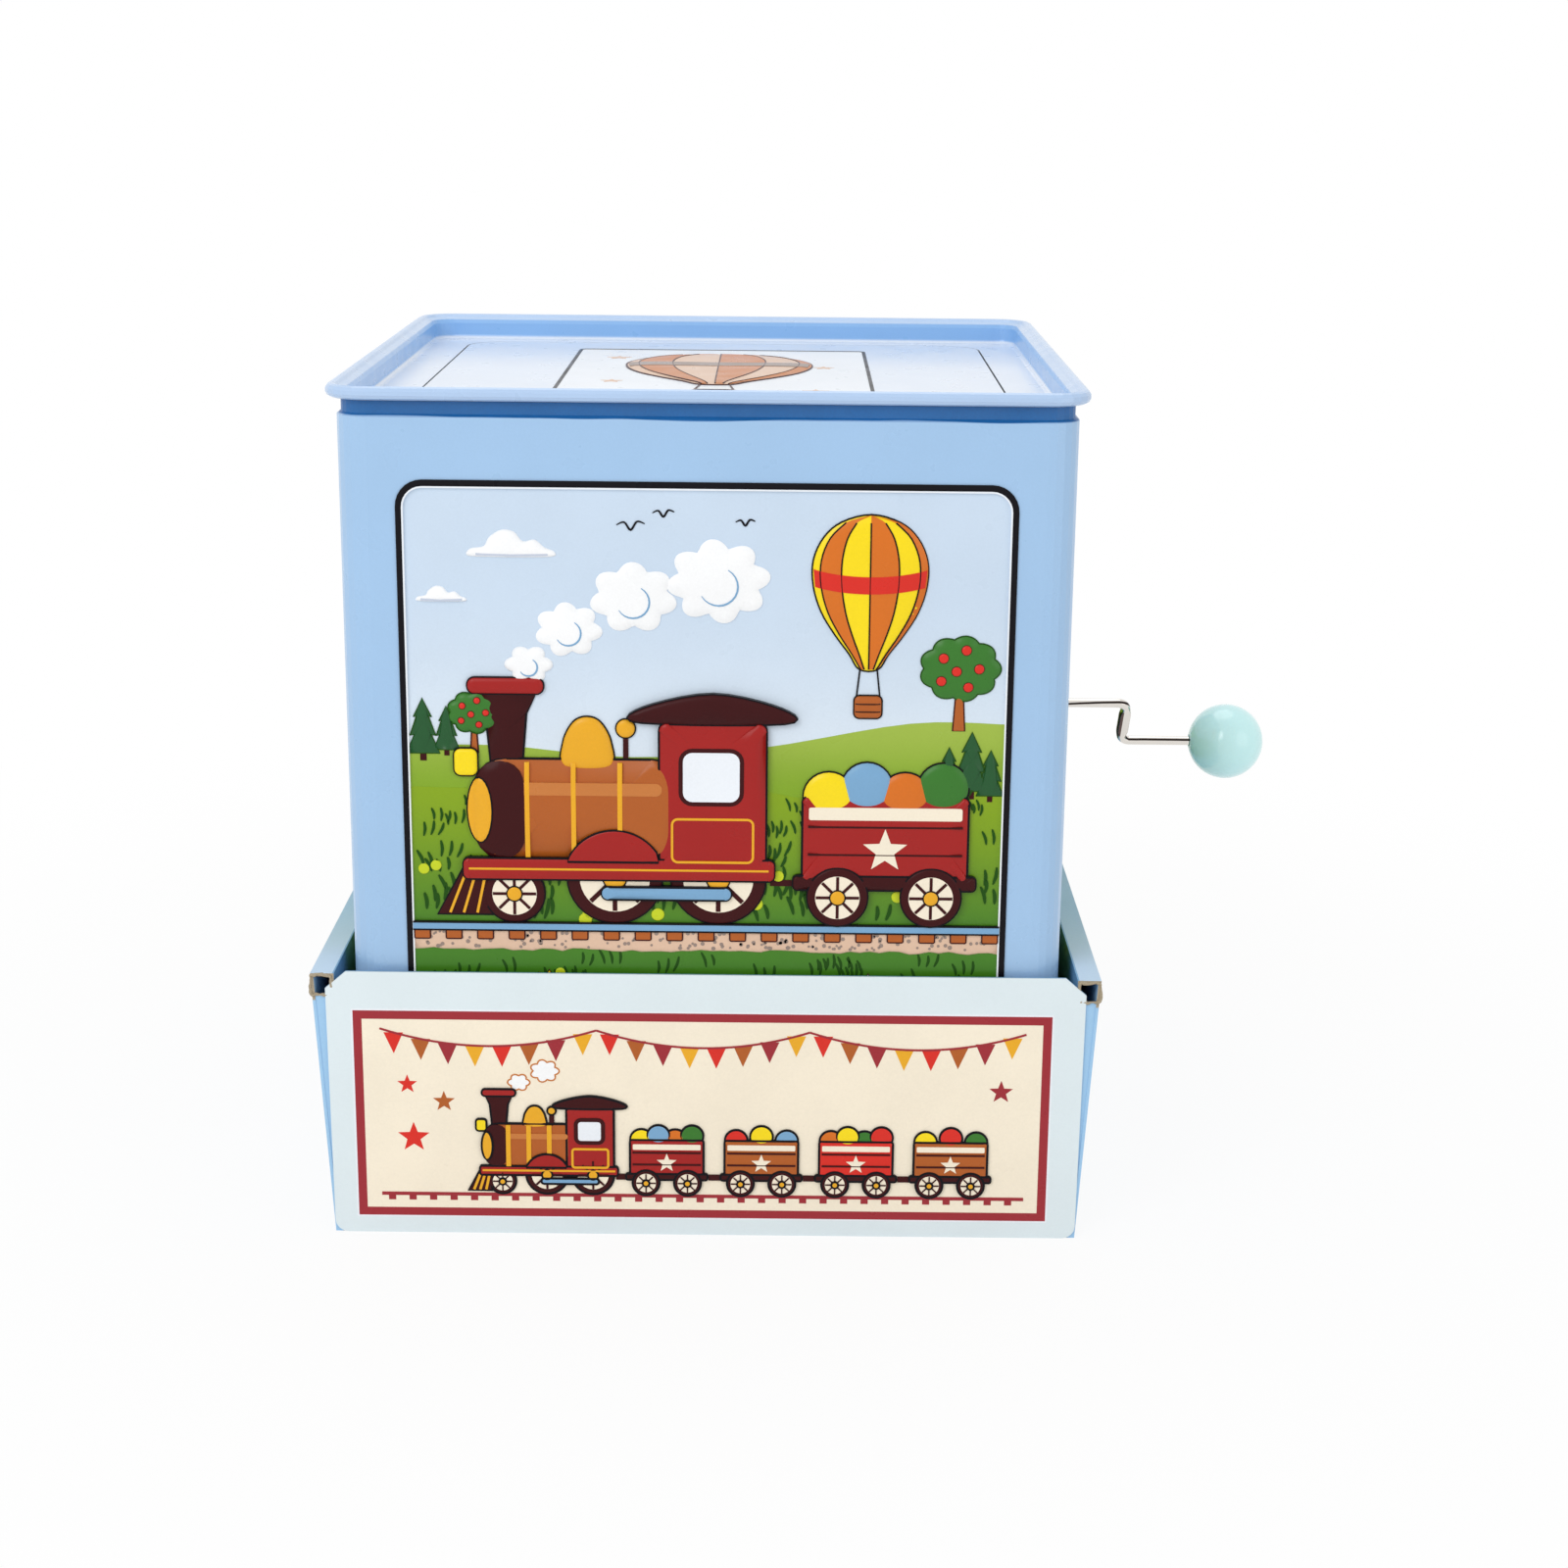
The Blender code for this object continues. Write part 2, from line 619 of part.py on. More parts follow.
def make_base(body):
    flange = CASE_IN - CLEAR
    inner = flange - TIN_SHEET
    loops = [
        square_loop(flange, TIN_FOOT_Z),
        square_loop(flange, TIN_FOOT_Z + BASE_FLANGE),
        square_loop(inner, TIN_FOOT_Z + BASE_FLANGE),
        square_loop(inner, TIN_FOOT_Z + TIN_SHEET),
    ]
    return part("base_panel", loft(loops), BARE_TIN, body)


def opening_loop(z):
    half_x = LID_HALF_X + LID_GAP
    half_y = LID_HALF_Y + LID_GAP
    return rounded_loop(half_x, half_y, LID_CORNER + LID_GAP, z, LID_MIDDLE_Y)


def make_top_frame(body):
    """The rolled bead, the recess wall inside it and the ledge round the lid's opening."""
    recess_in = RECESS_OUT - TIN_SHEET
    loops = [
        opening_loop(LEDGE_FOOT_Z),
        square_loop(RECESS_OUT, LEDGE_FOOT_Z),
        square_loop(RECESS_OUT, BEAD_Z - BEAD_RADIUS),
    ]
    bead = arc((BEAD_X, BEAD_Z), BEAD_RADIUS, BEAD_START_DEGREES, BEAD_END_DEGREES, BEAD_STEPS)
    loops += [square_loop(x, z) for x, z in bead]
    loops += [
        square_loop(recess_in + TIN_SHEET, BEAD_Z + TIN_SHEET / 2),
        square_loop(recess_in, BEAD_Z - BEAD_RADIUS / 2),
    ]
    fillet = arc((recess_in - RECESS_FILLET, TOP_Z + RECESS_FILLET), RECESS_FILLET, 0, -90, 3)
    loops += [square_loop(x, z) for x, z in fillet]
    loops.append(opening_loop(TOP_Z))
    return part("top_frame", loft(loops, ring=True), BLUE_TIN, body)


# Lid and hinge


def make_lid(body):
    heights = (LEDGE_FOOT_Z, TOP_Z)
    loops = [rounded_loop(LID_HALF_X, LID_HALF_Y, LID_CORNER, z, LID_MIDDLE_Y) for z in heights]
    lid = part("lid_panel", loft(loops), PALE_TIN, body, smooth=False)
    ear = arc((HINGE_Y, HINGE_Z), EAR_RADIUS, 180, 360, 8)
    ear += [(HINGE_Y + EAR_RADIUS, TOP_Z - TIN_SHEET / 2), (HINGE_Y - EAR_RADIUS, TOP_Z - TIN_SHEET / 2)]
    ear_out = LID_HALF_X - EAR_INSET
    for side in (1, -1):
        combine(lid, extruded(ear, "X", side * (ear_out - HINGE_SHEET), side * ear_out), "UNION")
    reach = ear_out + HINGE_SHEET
    drill(lid, "X", [(HINGE_Y, HINGE_Z, HINGE_PIN_RADIUS + RUN)], -reach, reach)
    return lid


def make_hinge(body):
    """Two lugs under the ledge's sides and the wire pin between them."""
    leg_in = LID_HALF_X + LID_GAP + CLEAR
    leg_out = leg_in + HINGE_SHEET
    top = LEDGE_FOOT_Z - CLEAR
    for name, side in (("hinge_lug_right", 1), ("hinge_lug_left", -1)):
        outline = [
            (leg_in, HINGE_Z - LUG_BELOW_PIN),
            (leg_out, HINGE_Z - LUG_BELOW_PIN),
            (leg_out, top - HINGE_SHEET),
            (leg_in + LUG_FLANGE, top - HINGE_SHEET),
            (leg_in + LUG_FLANGE, top),
            (leg_in, top),
        ]
        outline = [(side * x, z) for x, z in outline]
        bm = extruded(outline, "Y", HINGE_Y - LUG_HALF_WIDTH, HINGE_Y + LUG_HALF_WIDTH)
        lug = part(name, bm, BARE_TIN, body, smooth=False)
        hole = (HINGE_Y, HINGE_Z, HINGE_PIN_RADIUS + CLEAR)
        drill(lug, "X", [hole], side * (leg_in - HINGE_SHEET), side * (leg_out + HINGE_SHEET / 2))
    head = leg_out + CLEAR
    end = head + HINGE_PIN_HEAD_LENGTH
    profile = [
        (HINGE_PIN_HEAD, -end),
        (HINGE_PIN_HEAD, -head),
        (HINGE_PIN_RADIUS, -head),
        (HINGE_PIN_RADIUS, head),
        (HINGE_PIN_HEAD, head),
        (HINGE_PIN_HEAD, end),
    ]
    part("hinge_pin", turned(profile, "X", (HINGE_Y, HINGE_Z), SMALL_STEPS), STEEL, body)


def make_catch(body):
    """The lug under the lid, whose lip the latch's nose holds down."""
    top = LEDGE_FOOT_Z - CLEAR
    lip_end = nose_arm_x() - CATCH_TO_ARM
    leg_out = lip_end - CATCH_LIP
    leg_in = leg_out - CATCH_SHEET
    outline = [
        (leg_in - CATCH_FLANGE, top),
        (leg_in - CATCH_FLANGE, top - CATCH_SHEET),
        (leg_in, top - CATCH_SHEET),
        (leg_in, LIP_TOP_Z - CATCH_SHEET),
        (lip_end, LIP_TOP_Z - CATCH_SHEET),
        (lip_end, LIP_TOP_Z),
        (leg_out, LIP_TOP_Z),
        (leg_out, top),
    ]
    bm = extruded(outline, "Y", CAM_Y - CATCH_WIDTH / 2, CAM_Y + CATCH_WIDTH / 2)
    part("lid_catch", bm, STEEL, body, smooth=False)


# Movement frame, comb, rivets


def frame_plate_outline():
    """The frame's base against the right wall, as (y, z), with a tongue up to the latch spring's post."""
    foot = FRAME_FOOT_Z
    top = CRANK_Z + FRAME_ABOVE_CRANK
    tongue_top = POST_Z + RIVET_EDGE
    tongue_y = FRONT_EAR_OUT_Y + FRAME_TONGUE
    return [
        (FRONT_EAR_OUT_Y, foot),
        (BACK_EAR_OUT_Y, foot),
        (BACK_EAR_OUT_Y, top),
        (tongue_y, top),
        (tongue_y, tongue_top),
        (FRONT_EAR_OUT_Y, tongue_top),
    ]


def front_ear_outline():
    """The front ear, as (x, z): it holds the axle, the latch's pivot and the spring's post."""
    axle_in = DRUM_X - FRAME_EAR_REACH
    pivot_in = PIVOT_X - FRAME_EAR_REACH + PIVOT_RADIUS
    post_in = TAIL_X - RIVET_EDGE
    return [
        (FRAME_OUT_X, DRUM_Z - EAR_BELOW_AXLE),
        (FRAME_OUT_X, POST_Z + RIVET_EDGE),
        (post_in, POST_Z + RIVET_EDGE),
        (post_in, PIVOT_Z + FRAME_EAR_REACH),
        (pivot_in, PIVOT_Z + FRAME_EAR_REACH),
        (pivot_in, DRUM_Z + EAR_ABOVE_AXLE * 2),
        (axle_in, DRUM_Z + EAR_ABOVE_AXLE),
        (axle_in, DRUM_Z - EAR_ABOVE_AXLE),
        (axle_in + RIVET_EDGE, DRUM_Z - EAR_BELOW_AXLE),
    ]


def back_ear_outline():
    axle_in = DRUM_X - FRAME_EAR_REACH
    return [
        (FRAME_OUT_X, DRUM_Z - EAR_BELOW_AXLE),
        (FRAME_OUT_X, DRUM_Z + EAR_ABOVE_AXLE),
        (axle_in, DRUM_Z + FRAME_EAR_REACH),
        (axle_in, DRUM_Z - EAR_ABOVE_AXLE),
        (axle_in + RIVET_EDGE, DRUM_Z - EAR_BELOW_AXLE),
    ]


def comb_screw_places():
    middle = (DRUM_BACK_Y + DRUM_FRONT_Y) / 2
    z = comb_foot_z() + COMB_ROOT / 2
    return [(middle - COMB_SCREW_SPACING / 2, z), (middle + COMB_SCREW_SPACING / 2, z)]


def comb_foot_z():
    return FRAME_FOOT_Z + COMB_FOOT


def make_movement_frame(body):
    bm = extruded(frame_plate_outline(), "X", FRAME_IN_X, FRAME_OUT_X)
    frame = part("movement_frame", bm, STEEL, body, smooth=False)
    combine(frame, extruded(front_ear_outline(), "Y", FRONT_EAR_OUT_Y, FRONT_EAR_IN_Y), "UNION")
    combine(frame, extruded(back_ear_outline(), "Y", BACK_EAR_IN_Y, BACK_EAR_OUT_Y), "UNION")
    holes = [(y, z, RIVET_RADIUS + CLEAR) for y, z in rivet_places()]
    holes += [(y, z, COMB_SCREW_RADIUS + CLEAR) for y, z in comb_screw_places()]
    holes.append((0, CRANK_Z, BUSH_RADIUS + CLEAR))
    drill(frame, "X", holes, FRAME_IN_X - FRAME_SHEET / 2, FRAME_OUT_X + FRAME_SHEET / 2)
    axle_hole = (DRUM_X, DRUM_Z, AXLE_RADIUS + RUN)
    pivot_hole = (PIVOT_X, PIVOT_Z, PIVOT_RADIUS + CLEAR)
    post_hole = (TAIL_X, POST_Z, SPRING_POST_RADIUS + CLEAR)
    front_holes = [axle_hole, pivot_hole, post_hole]
    drill(frame, "Y", front_holes, FRONT_EAR_OUT_Y - FRAME_SHEET, FRONT_EAR_IN_Y + FRAME_SHEET)
    drill(frame, "Y", [axle_hole], BACK_EAR_IN_Y - FRAME_SHEET, BACK_EAR_OUT_Y + FRAME_SHEET)
    return frame


def make_rivets(body):
    """Four rivets through the case and the frame. The last one also holds the crank's support."""
    for index, (y, z) in enumerate(rivet_places()):
        inner = FRAME_IN_X - CLEAR
        if index == 3:
            inner -= FRAME_SHEET + CLEAR
        outer = TIN_HALF + CLEAR
        profile = [
            (RIVET_HEAD_RADIUS * 0.7, inner - RIVET_HEAD_HEIGHT),
            (RIVET_HEAD_RADIUS, inner - RIVET_HEAD_HEIGHT / 2),
            (RIVET_HEAD_RADIUS, inner),
            (RIVET_RADIUS, inner),
            (RIVET_RADIUS, outer),
            (RIVET_HEAD_RADIUS, outer),
            (RIVET_HEAD_RADIUS * 0.85, outer + RIVET_HEAD_HEIGHT / 2),
            (RIVET_HEAD_RADIUS / 2, outer + RIVET_HEAD_HEIGHT),
        ]
        part(f"movement_rivet_{index + 1}", turned(profile, "X", (y, z), SMALL_STEPS), STEEL, body)


def comb_tip_z():
    """Just under the circle that the drum's pins run on, at the comb's inner face."""
    sweep = DRUM_RADIUS + PIN_HEIGHT + RUN
    return DRUM_Z - math.sqrt(sweep**2 - COMB_OUTSET**2)


def comb_outline():
    """The comb as (y, z): a solid root with slots between the tines."""
    foot = comb_foot_z()
    root = foot + COMB_ROOT + COMB_FOOT
    pitch = DRUM_LENGTH / COMB_TINES
    outline = [(DRUM_FRONT_Y, foot), (DRUM_BACK_Y, foot)]
    for tine in reversed(range(COMB_TINES)):
        near = DRUM_FRONT_Y + pitch * tine
        outline.append((near + pitch - COMB_SLOT / 2, comb_tip_z()))
        outline.append((near + COMB_SLOT / 2, comb_tip_z()))
        if tine:
            outline.append((near + COMB_SLOT / 2, root))
            outline.append((near - COMB_SLOT / 2, root))
    outline[1] = (DRUM_BACK_Y - COMB_SLOT / 2, foot)
    outline[0] = (DRUM_FRONT_Y + COMB_SLOT / 2, foot)
    return outline


def make_comb(body):
    inner = DRUM_X + COMB_OUTSET
    outer = inner + COMB_THICKNESS
    base_in = outer + CLEAR
    base_out = FRAME_IN_X - CLEAR
    clamp_out = inner - CLEAR
    clamp_in = clamp_out - CLAMP_THICKNESS
    foot = comb_foot_z()
    top = foot + COMB_ROOT
    holes = [(y, z, COMB_SCREW_RADIUS + CLEAR) for y, z in comb_screw_places()]
    comb = part("comb", extruded(comb_outline(), "X", inner, outer), STEEL, body, smooth=False)
    drill(comb, "X", holes, clamp_out, base_in)
    base_outline = [(DRUM_FRONT_Y, foot), (DRUM_BACK_Y, foot), (DRUM_BACK_Y, top), (DRUM_FRONT_Y, top)]
    base = part("comb_base", extruded(base_outline, "X", base_in, base_out), STEEL, body, smooth=False)
    drill(base, "X", holes, outer, FRAME_IN_X)
    front = DRUM_FRONT_Y + CLAMP_INSET
    back = DRUM_BACK_Y - CLAMP_INSET
    clamp_outline = [
        (front, foot + CLAMP_INSET),
        (back, foot + CLAMP_INSET),
        (back, top - CLAMP_INSET),
        (front, top - CLAMP_INSET),
    ]
    clamp = part("comb_clamp", extruded(clamp_outline, "X", clamp_in, clamp_out), BRASS, body, smooth=False)
    drill(clamp, "X", holes, clamp_in - CLEAR, inner)
    head = clamp_in - CLEAR
    profile = [
        (COMB_SCREW_HEAD * 0.8, head - COMB_SCREW_HEAD_HEIGHT),
        (COMB_SCREW_HEAD, head - COMB_SCREW_HEAD_HEIGHT / 2),
        (COMB_SCREW_HEAD, head),
        (COMB_SCREW_RADIUS, head),
        (COMB_SCREW_RADIUS, FRAME_OUT_X),
    ]
    for index, (y, z) in enumerate(comb_screw_places()):
        part(f"comb_screw_{index + 1}", turned(profile, "X", (y, z), SMALL_STEPS), BRASS, body)


# Drum, worm wheel, cam, axle


def has_pin(row, step):
    """The tune: a made-up scatter of pins over the drum."""
    return (row * 7 + step * 5) % 11 == 0


def make_drum(body):
    """A hollow drum, open at the front, with square pins drawn out of its skin."""
    rows = [DRUM_BACK_Y - DRUM_LENGTH * row / DRUM_ROWS for row in range(DRUM_ROWS + 1)]
    inner = DRUM_RADIUS - DRUM_WALL
    bore = AXLE_RADIUS + CLEAR
    profile = [(bore, DRUM_BACK_Y)]
    profile += [(DRUM_RADIUS, y) for y in rows]
    profile += [(inner, DRUM_FRONT_Y), (inner, DRUM_BACK_Y - DRUM_END), (bore, DRUM_BACK_Y - DRUM_END)]
    bm = turned(profile, "Y", (DRUM_X, DRUM_Z), DRUM_STEPS, ring=True)
    bmesh.ops.recalc_face_normals(bm, faces=bm.faces)
    bm.faces.ensure_lookup_table()
    skin = [
        bm.faces[(row + 1) * DRUM_STEPS + step]
        for row in range(DRUM_ROWS)
        for step in range(DRUM_STEPS)
        if has_pin(row, step)
    ]
    bmesh.ops.inset_individual(bm, faces=skin, thickness=PIN_INSET, use_even_offset=True)
    drawn = bmesh.ops.extrude_discrete_faces(bm, faces=skin)["faces"]
    middle = Vector((DRUM_X, 0, DRUM_Z))
    for face in drawn:
        for vert in face.verts:
            out = Vector((vert.co.x, 0, vert.co.z)) - middle
            vert.co += out.normalized() * (DRUM_RADIUS + PIN_HEIGHT - out.length)
    return part("music_drum", bm, BRASS, body, smooth=False)


def gear_outline():
    """The worm wheel as (x, z), with a gap at the top where the worm's thread runs."""
    root = GEAR_PITCH_RADIUS - GEAR_ROOT_DEPTH
    root_half = GEAR_ROOT_WIDTH / root / 2
    tip_half = GEAR_TIP_WIDTH / GEAR_TIP_RADIUS / 2
    tip = GEAR_TIP_RADIUS
    outline = []
    for tooth in range(GEAR_TEETH):
        middle = math.pi / 2 + math.tau * (tooth + 0.5) / GEAR_TEETH
        for turn, radius in ((-root_half, root), (-tip_half, tip), (tip_half, tip), (root_half, root)):
            angle = middle + turn
            outline.append((DRUM_X + radius * math.cos(angle), DRUM_Z + radius * math.sin(angle)))
    return outline


def make_gear(body):
    wheel = extruded(gear_outline(), "Y", -GEAR_WIDTH / 2, GEAR_WIDTH / 2)
    gear = part("drum_gear", wheel, WHITE_PLASTIC, body, smooth=False)
    hub = disc("Y", (DRUM_X, DRUM_Z), GEAR_HUB_RADIUS, DRUM_BACK_Y + CLEAR, 0)
    combine(gear, hub, "UNION")
    hole = (DRUM_X, DRUM_Z, AXLE_RADIUS + CLEAR)
    return drill(gear, "Y", [hole], DRUM_BACK_Y, GEAR_WIDTH)


def cam_outline():
    """A round disc with one lobe, which points down at rest."""
    half = CAM_LOBE_WIDTH / 2
    open_angle = math.degrees(math.asin(CAM_LOBE_WIDTH / CAM_RADIUS))
    outline = arc((DRUM_X, DRUM_Z), CAM_RADIUS, 270 + open_angle, 630 - open_angle, 20)
    lobe_z = DRUM_Z - math.sqrt(CAM_LOBE_RADIUS**2 - half**2)
    return outline + [(DRUM_X - half, lobe_z), (DRUM_X + half, lobe_z)]


def make_cam(body):
    back = CAM_BACK_Y
    disc_and_lobe = extruded(cam_outline(), "Y", back - CAM_WIDTH, back)
    cam = part("release_cam", disc_and_lobe, WHITE_PLASTIC, body, smooth=False)
    plug_radius = DRUM_RADIUS - DRUM_WALL - CLEAR
    plug_end = DRUM_FRONT_Y + CAM_PLUG_DEPTH
    plug = disc("Y", (DRUM_X, DRUM_Z), plug_radius, back - CAM_WIDTH / 2, plug_end, ROUND_STEPS)
    combine(cam, plug, "UNION")
    hole = (DRUM_X, DRUM_Z, AXLE_RADIUS + CLEAR)
    return drill(cam, "Y", [hole], back - CAM_WIDTH * 2, plug_end + CAM_PLUG_DEPTH)


def make_axle(body):
    middle = (DRUM_X, DRUM_Z)
    low = FRONT_EAR_OUT_Y - AXLE_OVERRUN
    high = BACK_EAR_OUT_Y + AXLE_OVERRUN
    part("drum_axle", disc("Y", middle, AXLE_RADIUS, low, high), STEEL, body)
    bore = AXLE_RADIUS + CLEAR
    front = FRONT_EAR_OUT_Y - CLEAR
    back = BACK_EAR_OUT_Y + CLEAR
    part("axle_clip_front", collar("Y", middle, bore, CLIP_RADIUS, front - CLIP_WIDTH, front), STEEL, body)
    part("axle_clip_back", collar("Y", middle, bore, CLIP_RADIUS, back, back + CLIP_WIDTH), STEEL, body)


# Latch


def nose_arm_x():
    """The latch arm's face towards the lid's catch, under the nose."""
    return PIVOT_X - LEVER_ARM / 4


def lever_outline():
    """The lever as (x, z), clockwise from the finger: finger, catch side, nose, outer side, tail."""
    finger_z = DRUM_Z + CAM_LOBE_RADIUS - FINGER_OVERLAP
    nose_z = LIP_TOP_Z + CLEAR
    nose_tip = nose_arm_x() - NOSE_HOLD - CATCH_TO_ARM
    top_z = nose_z + NOSE_HEIGHT + NOSE_RISE
    tail_end = PIVOT_X + TAIL_REACH
    return [
        (DRUM_X + FINGER_WIDTH / 2, finger_z),
        (DRUM_X - FINGER_WIDTH / 2, finger_z),
        (PIVOT_X - LEVER_HUB, PIVOT_Z - LEVER_HUB * 2),
        (PIVOT_X - LEVER_HUB, PIVOT_Z + LEVER_HUB),
        (nose_arm_x(), PIVOT_Z + LEVER_HUB * 3),
        (nose_arm_x(), nose_z),
        (nose_tip, nose_z),
        (nose_tip, nose_z + NOSE_HEIGHT),
        (nose_arm_x(), top_z),
        (nose_arm_x() + LEVER_ARM, top_z),
        (nose_arm_x() + LEVER_ARM, PIVOT_Z + LEVER_HUB * 3),
        (PIVOT_X + LEVER_HUB, PIVOT_Z + TAIL_HEIGHT / 2),
        (tail_end, PIVOT_Z + TAIL_HEIGHT / 2),
        (tail_end, PIVOT_Z - TAIL_HEIGHT / 2),
        (PIVOT_X + LEVER_HUB, PIVOT_Z - TAIL_HEIGHT),
        (PIVOT_X + LEVER_HUB, PIVOT_Z - LEVER_HUB * 2),
    ]


def make_lever(body):
    low = CAM_Y - LEVER_THICKNESS / 2
    high = CAM_Y + LEVER_THICKNESS / 2
    lever = part("latch_lever", extruded(lever_outline(), "Y", low, high), STEEL, body, smooth=False)
    hole = (PIVOT_X, PIVOT_Z, PIVOT_RADIUS + RUN)
    return drill(lever, "Y", [hole], low - LEVER_THICKNESS, high + LEVER_THICKNESS)


def make_latch_mount(body):
    """The lever's pivot, the post of its spring, and the spring."""
    lever_low = CAM_Y - LEVER_THICKNESS / 2
    lever_high = CAM_Y + LEVER_THICKNESS / 2
    head = FRONT_EAR_OUT_Y - CLEAR
    profile = [
        (PIVOT_HEAD, head - PIVOT_HEAD_HEIGHT),
        (PIVOT_HEAD, head),
        (PIVOT_RADIUS, head),
        (PIVOT_RADIUS, FRONT_EAR_IN_Y + CLEAR),
        (PIVOT_SHOULDER, FRONT_EAR_IN_Y + CLEAR),
        (PIVOT_SHOULDER, lever_low - RUN),
        (PIVOT_RADIUS, lever_low - RUN),
        (PIVOT_RADIUS, lever_high + RUN),
        (PIVOT_HEAD, lever_high + RUN),
        (PIVOT_HEAD, lever_high + RUN + PIVOT_HEAD_HEIGHT),
    ]
    part("latch_pivot", turned(profile, "Y", (PIVOT_X, PIVOT_Z), SMALL_STEPS), STEEL, body)
    post = [
        (SPRING_POST_RADIUS * 2, head - PIVOT_HEAD_HEIGHT),
        (SPRING_POST_RADIUS * 2, head),
        (SPRING_POST_RADIUS, head),
        (SPRING_POST_RADIUS, CAM_Y + LATCH_SPRING_RADIUS),
    ]
    part("spring_post", turned(post, "Y", (TAIL_X, POST_Z), SMALL_STEPS), STEEL, body)
    low = PIVOT_Z + TAIL_HEIGHT / 2 + CLEAR + LATCH_SPRING_WIRE
    high = POST_Z - SPRING_POST_RADIUS - CLEAR - LATCH_SPRING_WIRE
    straight = LATCH_SPRING_WIRE * 2
    points = coil_points((TAIL_X, CAM_Y), LATCH_SPRING_RADIUS, low, high, LATCH_SPRING_CURLS, straight)
    wire_part("latch_spring", points, LATCH_SPRING_WIRE, STEEL, body)


# Springs


def coil_points(middle, radius, low, high, curls, straight):
    """A spring's centre line about a vertical axis, with a straight end of one wire diameter at each end."""
    points = []
    total = curls * CURL_STEPS
    for step in range(total + 1):
        angle = math.tau * step / CURL_STEPS
        x = middle[0] + radius * math.cos(angle)
        y = middle[1] + radius * math.sin(angle)
        points.append(Vector((x, y, low + (high - low) * step / total)))
    first = points[0] + Vector((0, -straight, 0))
    last = points[-1] + Vector((0, straight, 0))
    return [first, *points, last]


def least_gap(points, radius):
    """The least distance between the tube's surface and itself, past one curl's neighbours."""
    least = math.inf
    for index, point in enumerate(points):
        for other in points[index + CURL_STEPS // 2 :]:
            least = min(least, (point - other).length - 2 * radius)
    return least


def wire_part(name, points, radius, finish, body):
    """An unbroken round tube through the points."""
    curve = bpy.data.curves.new(name, "CURVE")
    curve.dimensions = "3D"
    curve.bevel_depth = radius
    curve.bevel_resolution = 1
    curve.use_fill_caps = True
    spline = curve.splines.new("POLY")
    spline.points.add(len(points) - 1)
    for spot, point in zip(spline.points, points):
        spot.co = (*point, 1.0)
    obj = bpy.data.objects.new(name, curve)
    bpy.context.collection.objects.link(obj)
    print(f"{name}: least gap to itself {least_gap(points, radius) / MM:.2f} mm")
    return carry(painted(obj, finish), body)


# Crank


def crank_path():
    """The crank wire's centre line, with two bends, as (x, fall): fall runs down the leaning arm."""
    start = RETAINER_IN_X - RETAINER_WIDTH - RUN
    bend = CRANK_BEND
    upper = arc((CRANK_ARM_X - bend, bend), bend, -90, 0, 5)
    lower = arc((CRANK_ARM_X + bend, CRANK_ARM - bend), bend, 180, 90, 5)
    end = KNOB_X - KNOB_RADIUS + KNOB_BORE_DEPTH - RUN
    flat_start = (CRANK_ARM_X, bend + CRANK_FLAT_RUN)
    flat_end = (CRANK_ARM_X, CRANK_ARM - bend - CRANK_FLAT_RUN)
    return [(start, 0), (TIN_HALF, 0), *upper, flat_start, flat_end, *lower, (end, CRANK_ARM)]


def make_crank(body):
    """The bent wire, flattened along its arm, with the worm and its retainer."""
    down = Vector((0, math.sin(CRANK_LEAN), -math.cos(CRANK_LEAN)))
    side = Vector((0, math.cos(CRANK_LEAN), math.sin(CRANK_LEAN)))
    ahead = Vector((1, 0, 0))
    axis_point = Vector((0, 0, CRANK_Z))
    path = crank_path()
    loops = []
    for index, (x, fall) in enumerate(path):
        before = path[max(index - 1, 0)]
        after = path[min(index + 1, len(path) - 1)]
        run = (ahead * (after[0] - before[0]) + down * (after[1] - before[1])).normalized()
        across = run.cross(side)
        flat = bend_share(fall)
        wide = CRANK_WIRE_RADIUS + (CRANK_FLAT_WIDTH - CRANK_WIRE_RADIUS) * flat
        thick = CRANK_WIRE_RADIUS + (CRANK_FLAT_THICKNESS - CRANK_WIRE_RADIUS) * flat
        middle = axis_point + ahead * x + down * fall
        loop = []
        for step in range(SMALL_STEPS):
            angle = math.tau * step / SMALL_STEPS
            loop.append(middle + across * wide * math.cos(angle) + side * thick * math.sin(angle))
        loops.append(loop)
    part("crank_wire", loft(loops), CHROME, body)
    make_worm(body)
    retainer = (RETAINER_IN_X - RETAINER_WIDTH, RETAINER_IN_X)
    part("crank_retainer", collar("X", (0, CRANK_Z), WORM_BORE, RETAINER_RADIUS, *retainer), STEEL, body)


def bend_share(fall):
    """How flat the wire is at a place down the arm: 0 on the shaft and the handle, 1 along the arm."""
    start = CRANK_BEND / 2
    full = CRANK_BEND + CRANK_FLAT_RUN
    near = min(fall, CRANK_ARM - fall)
    return min(max((near - start) / (full - start), 0.0), 1.0)


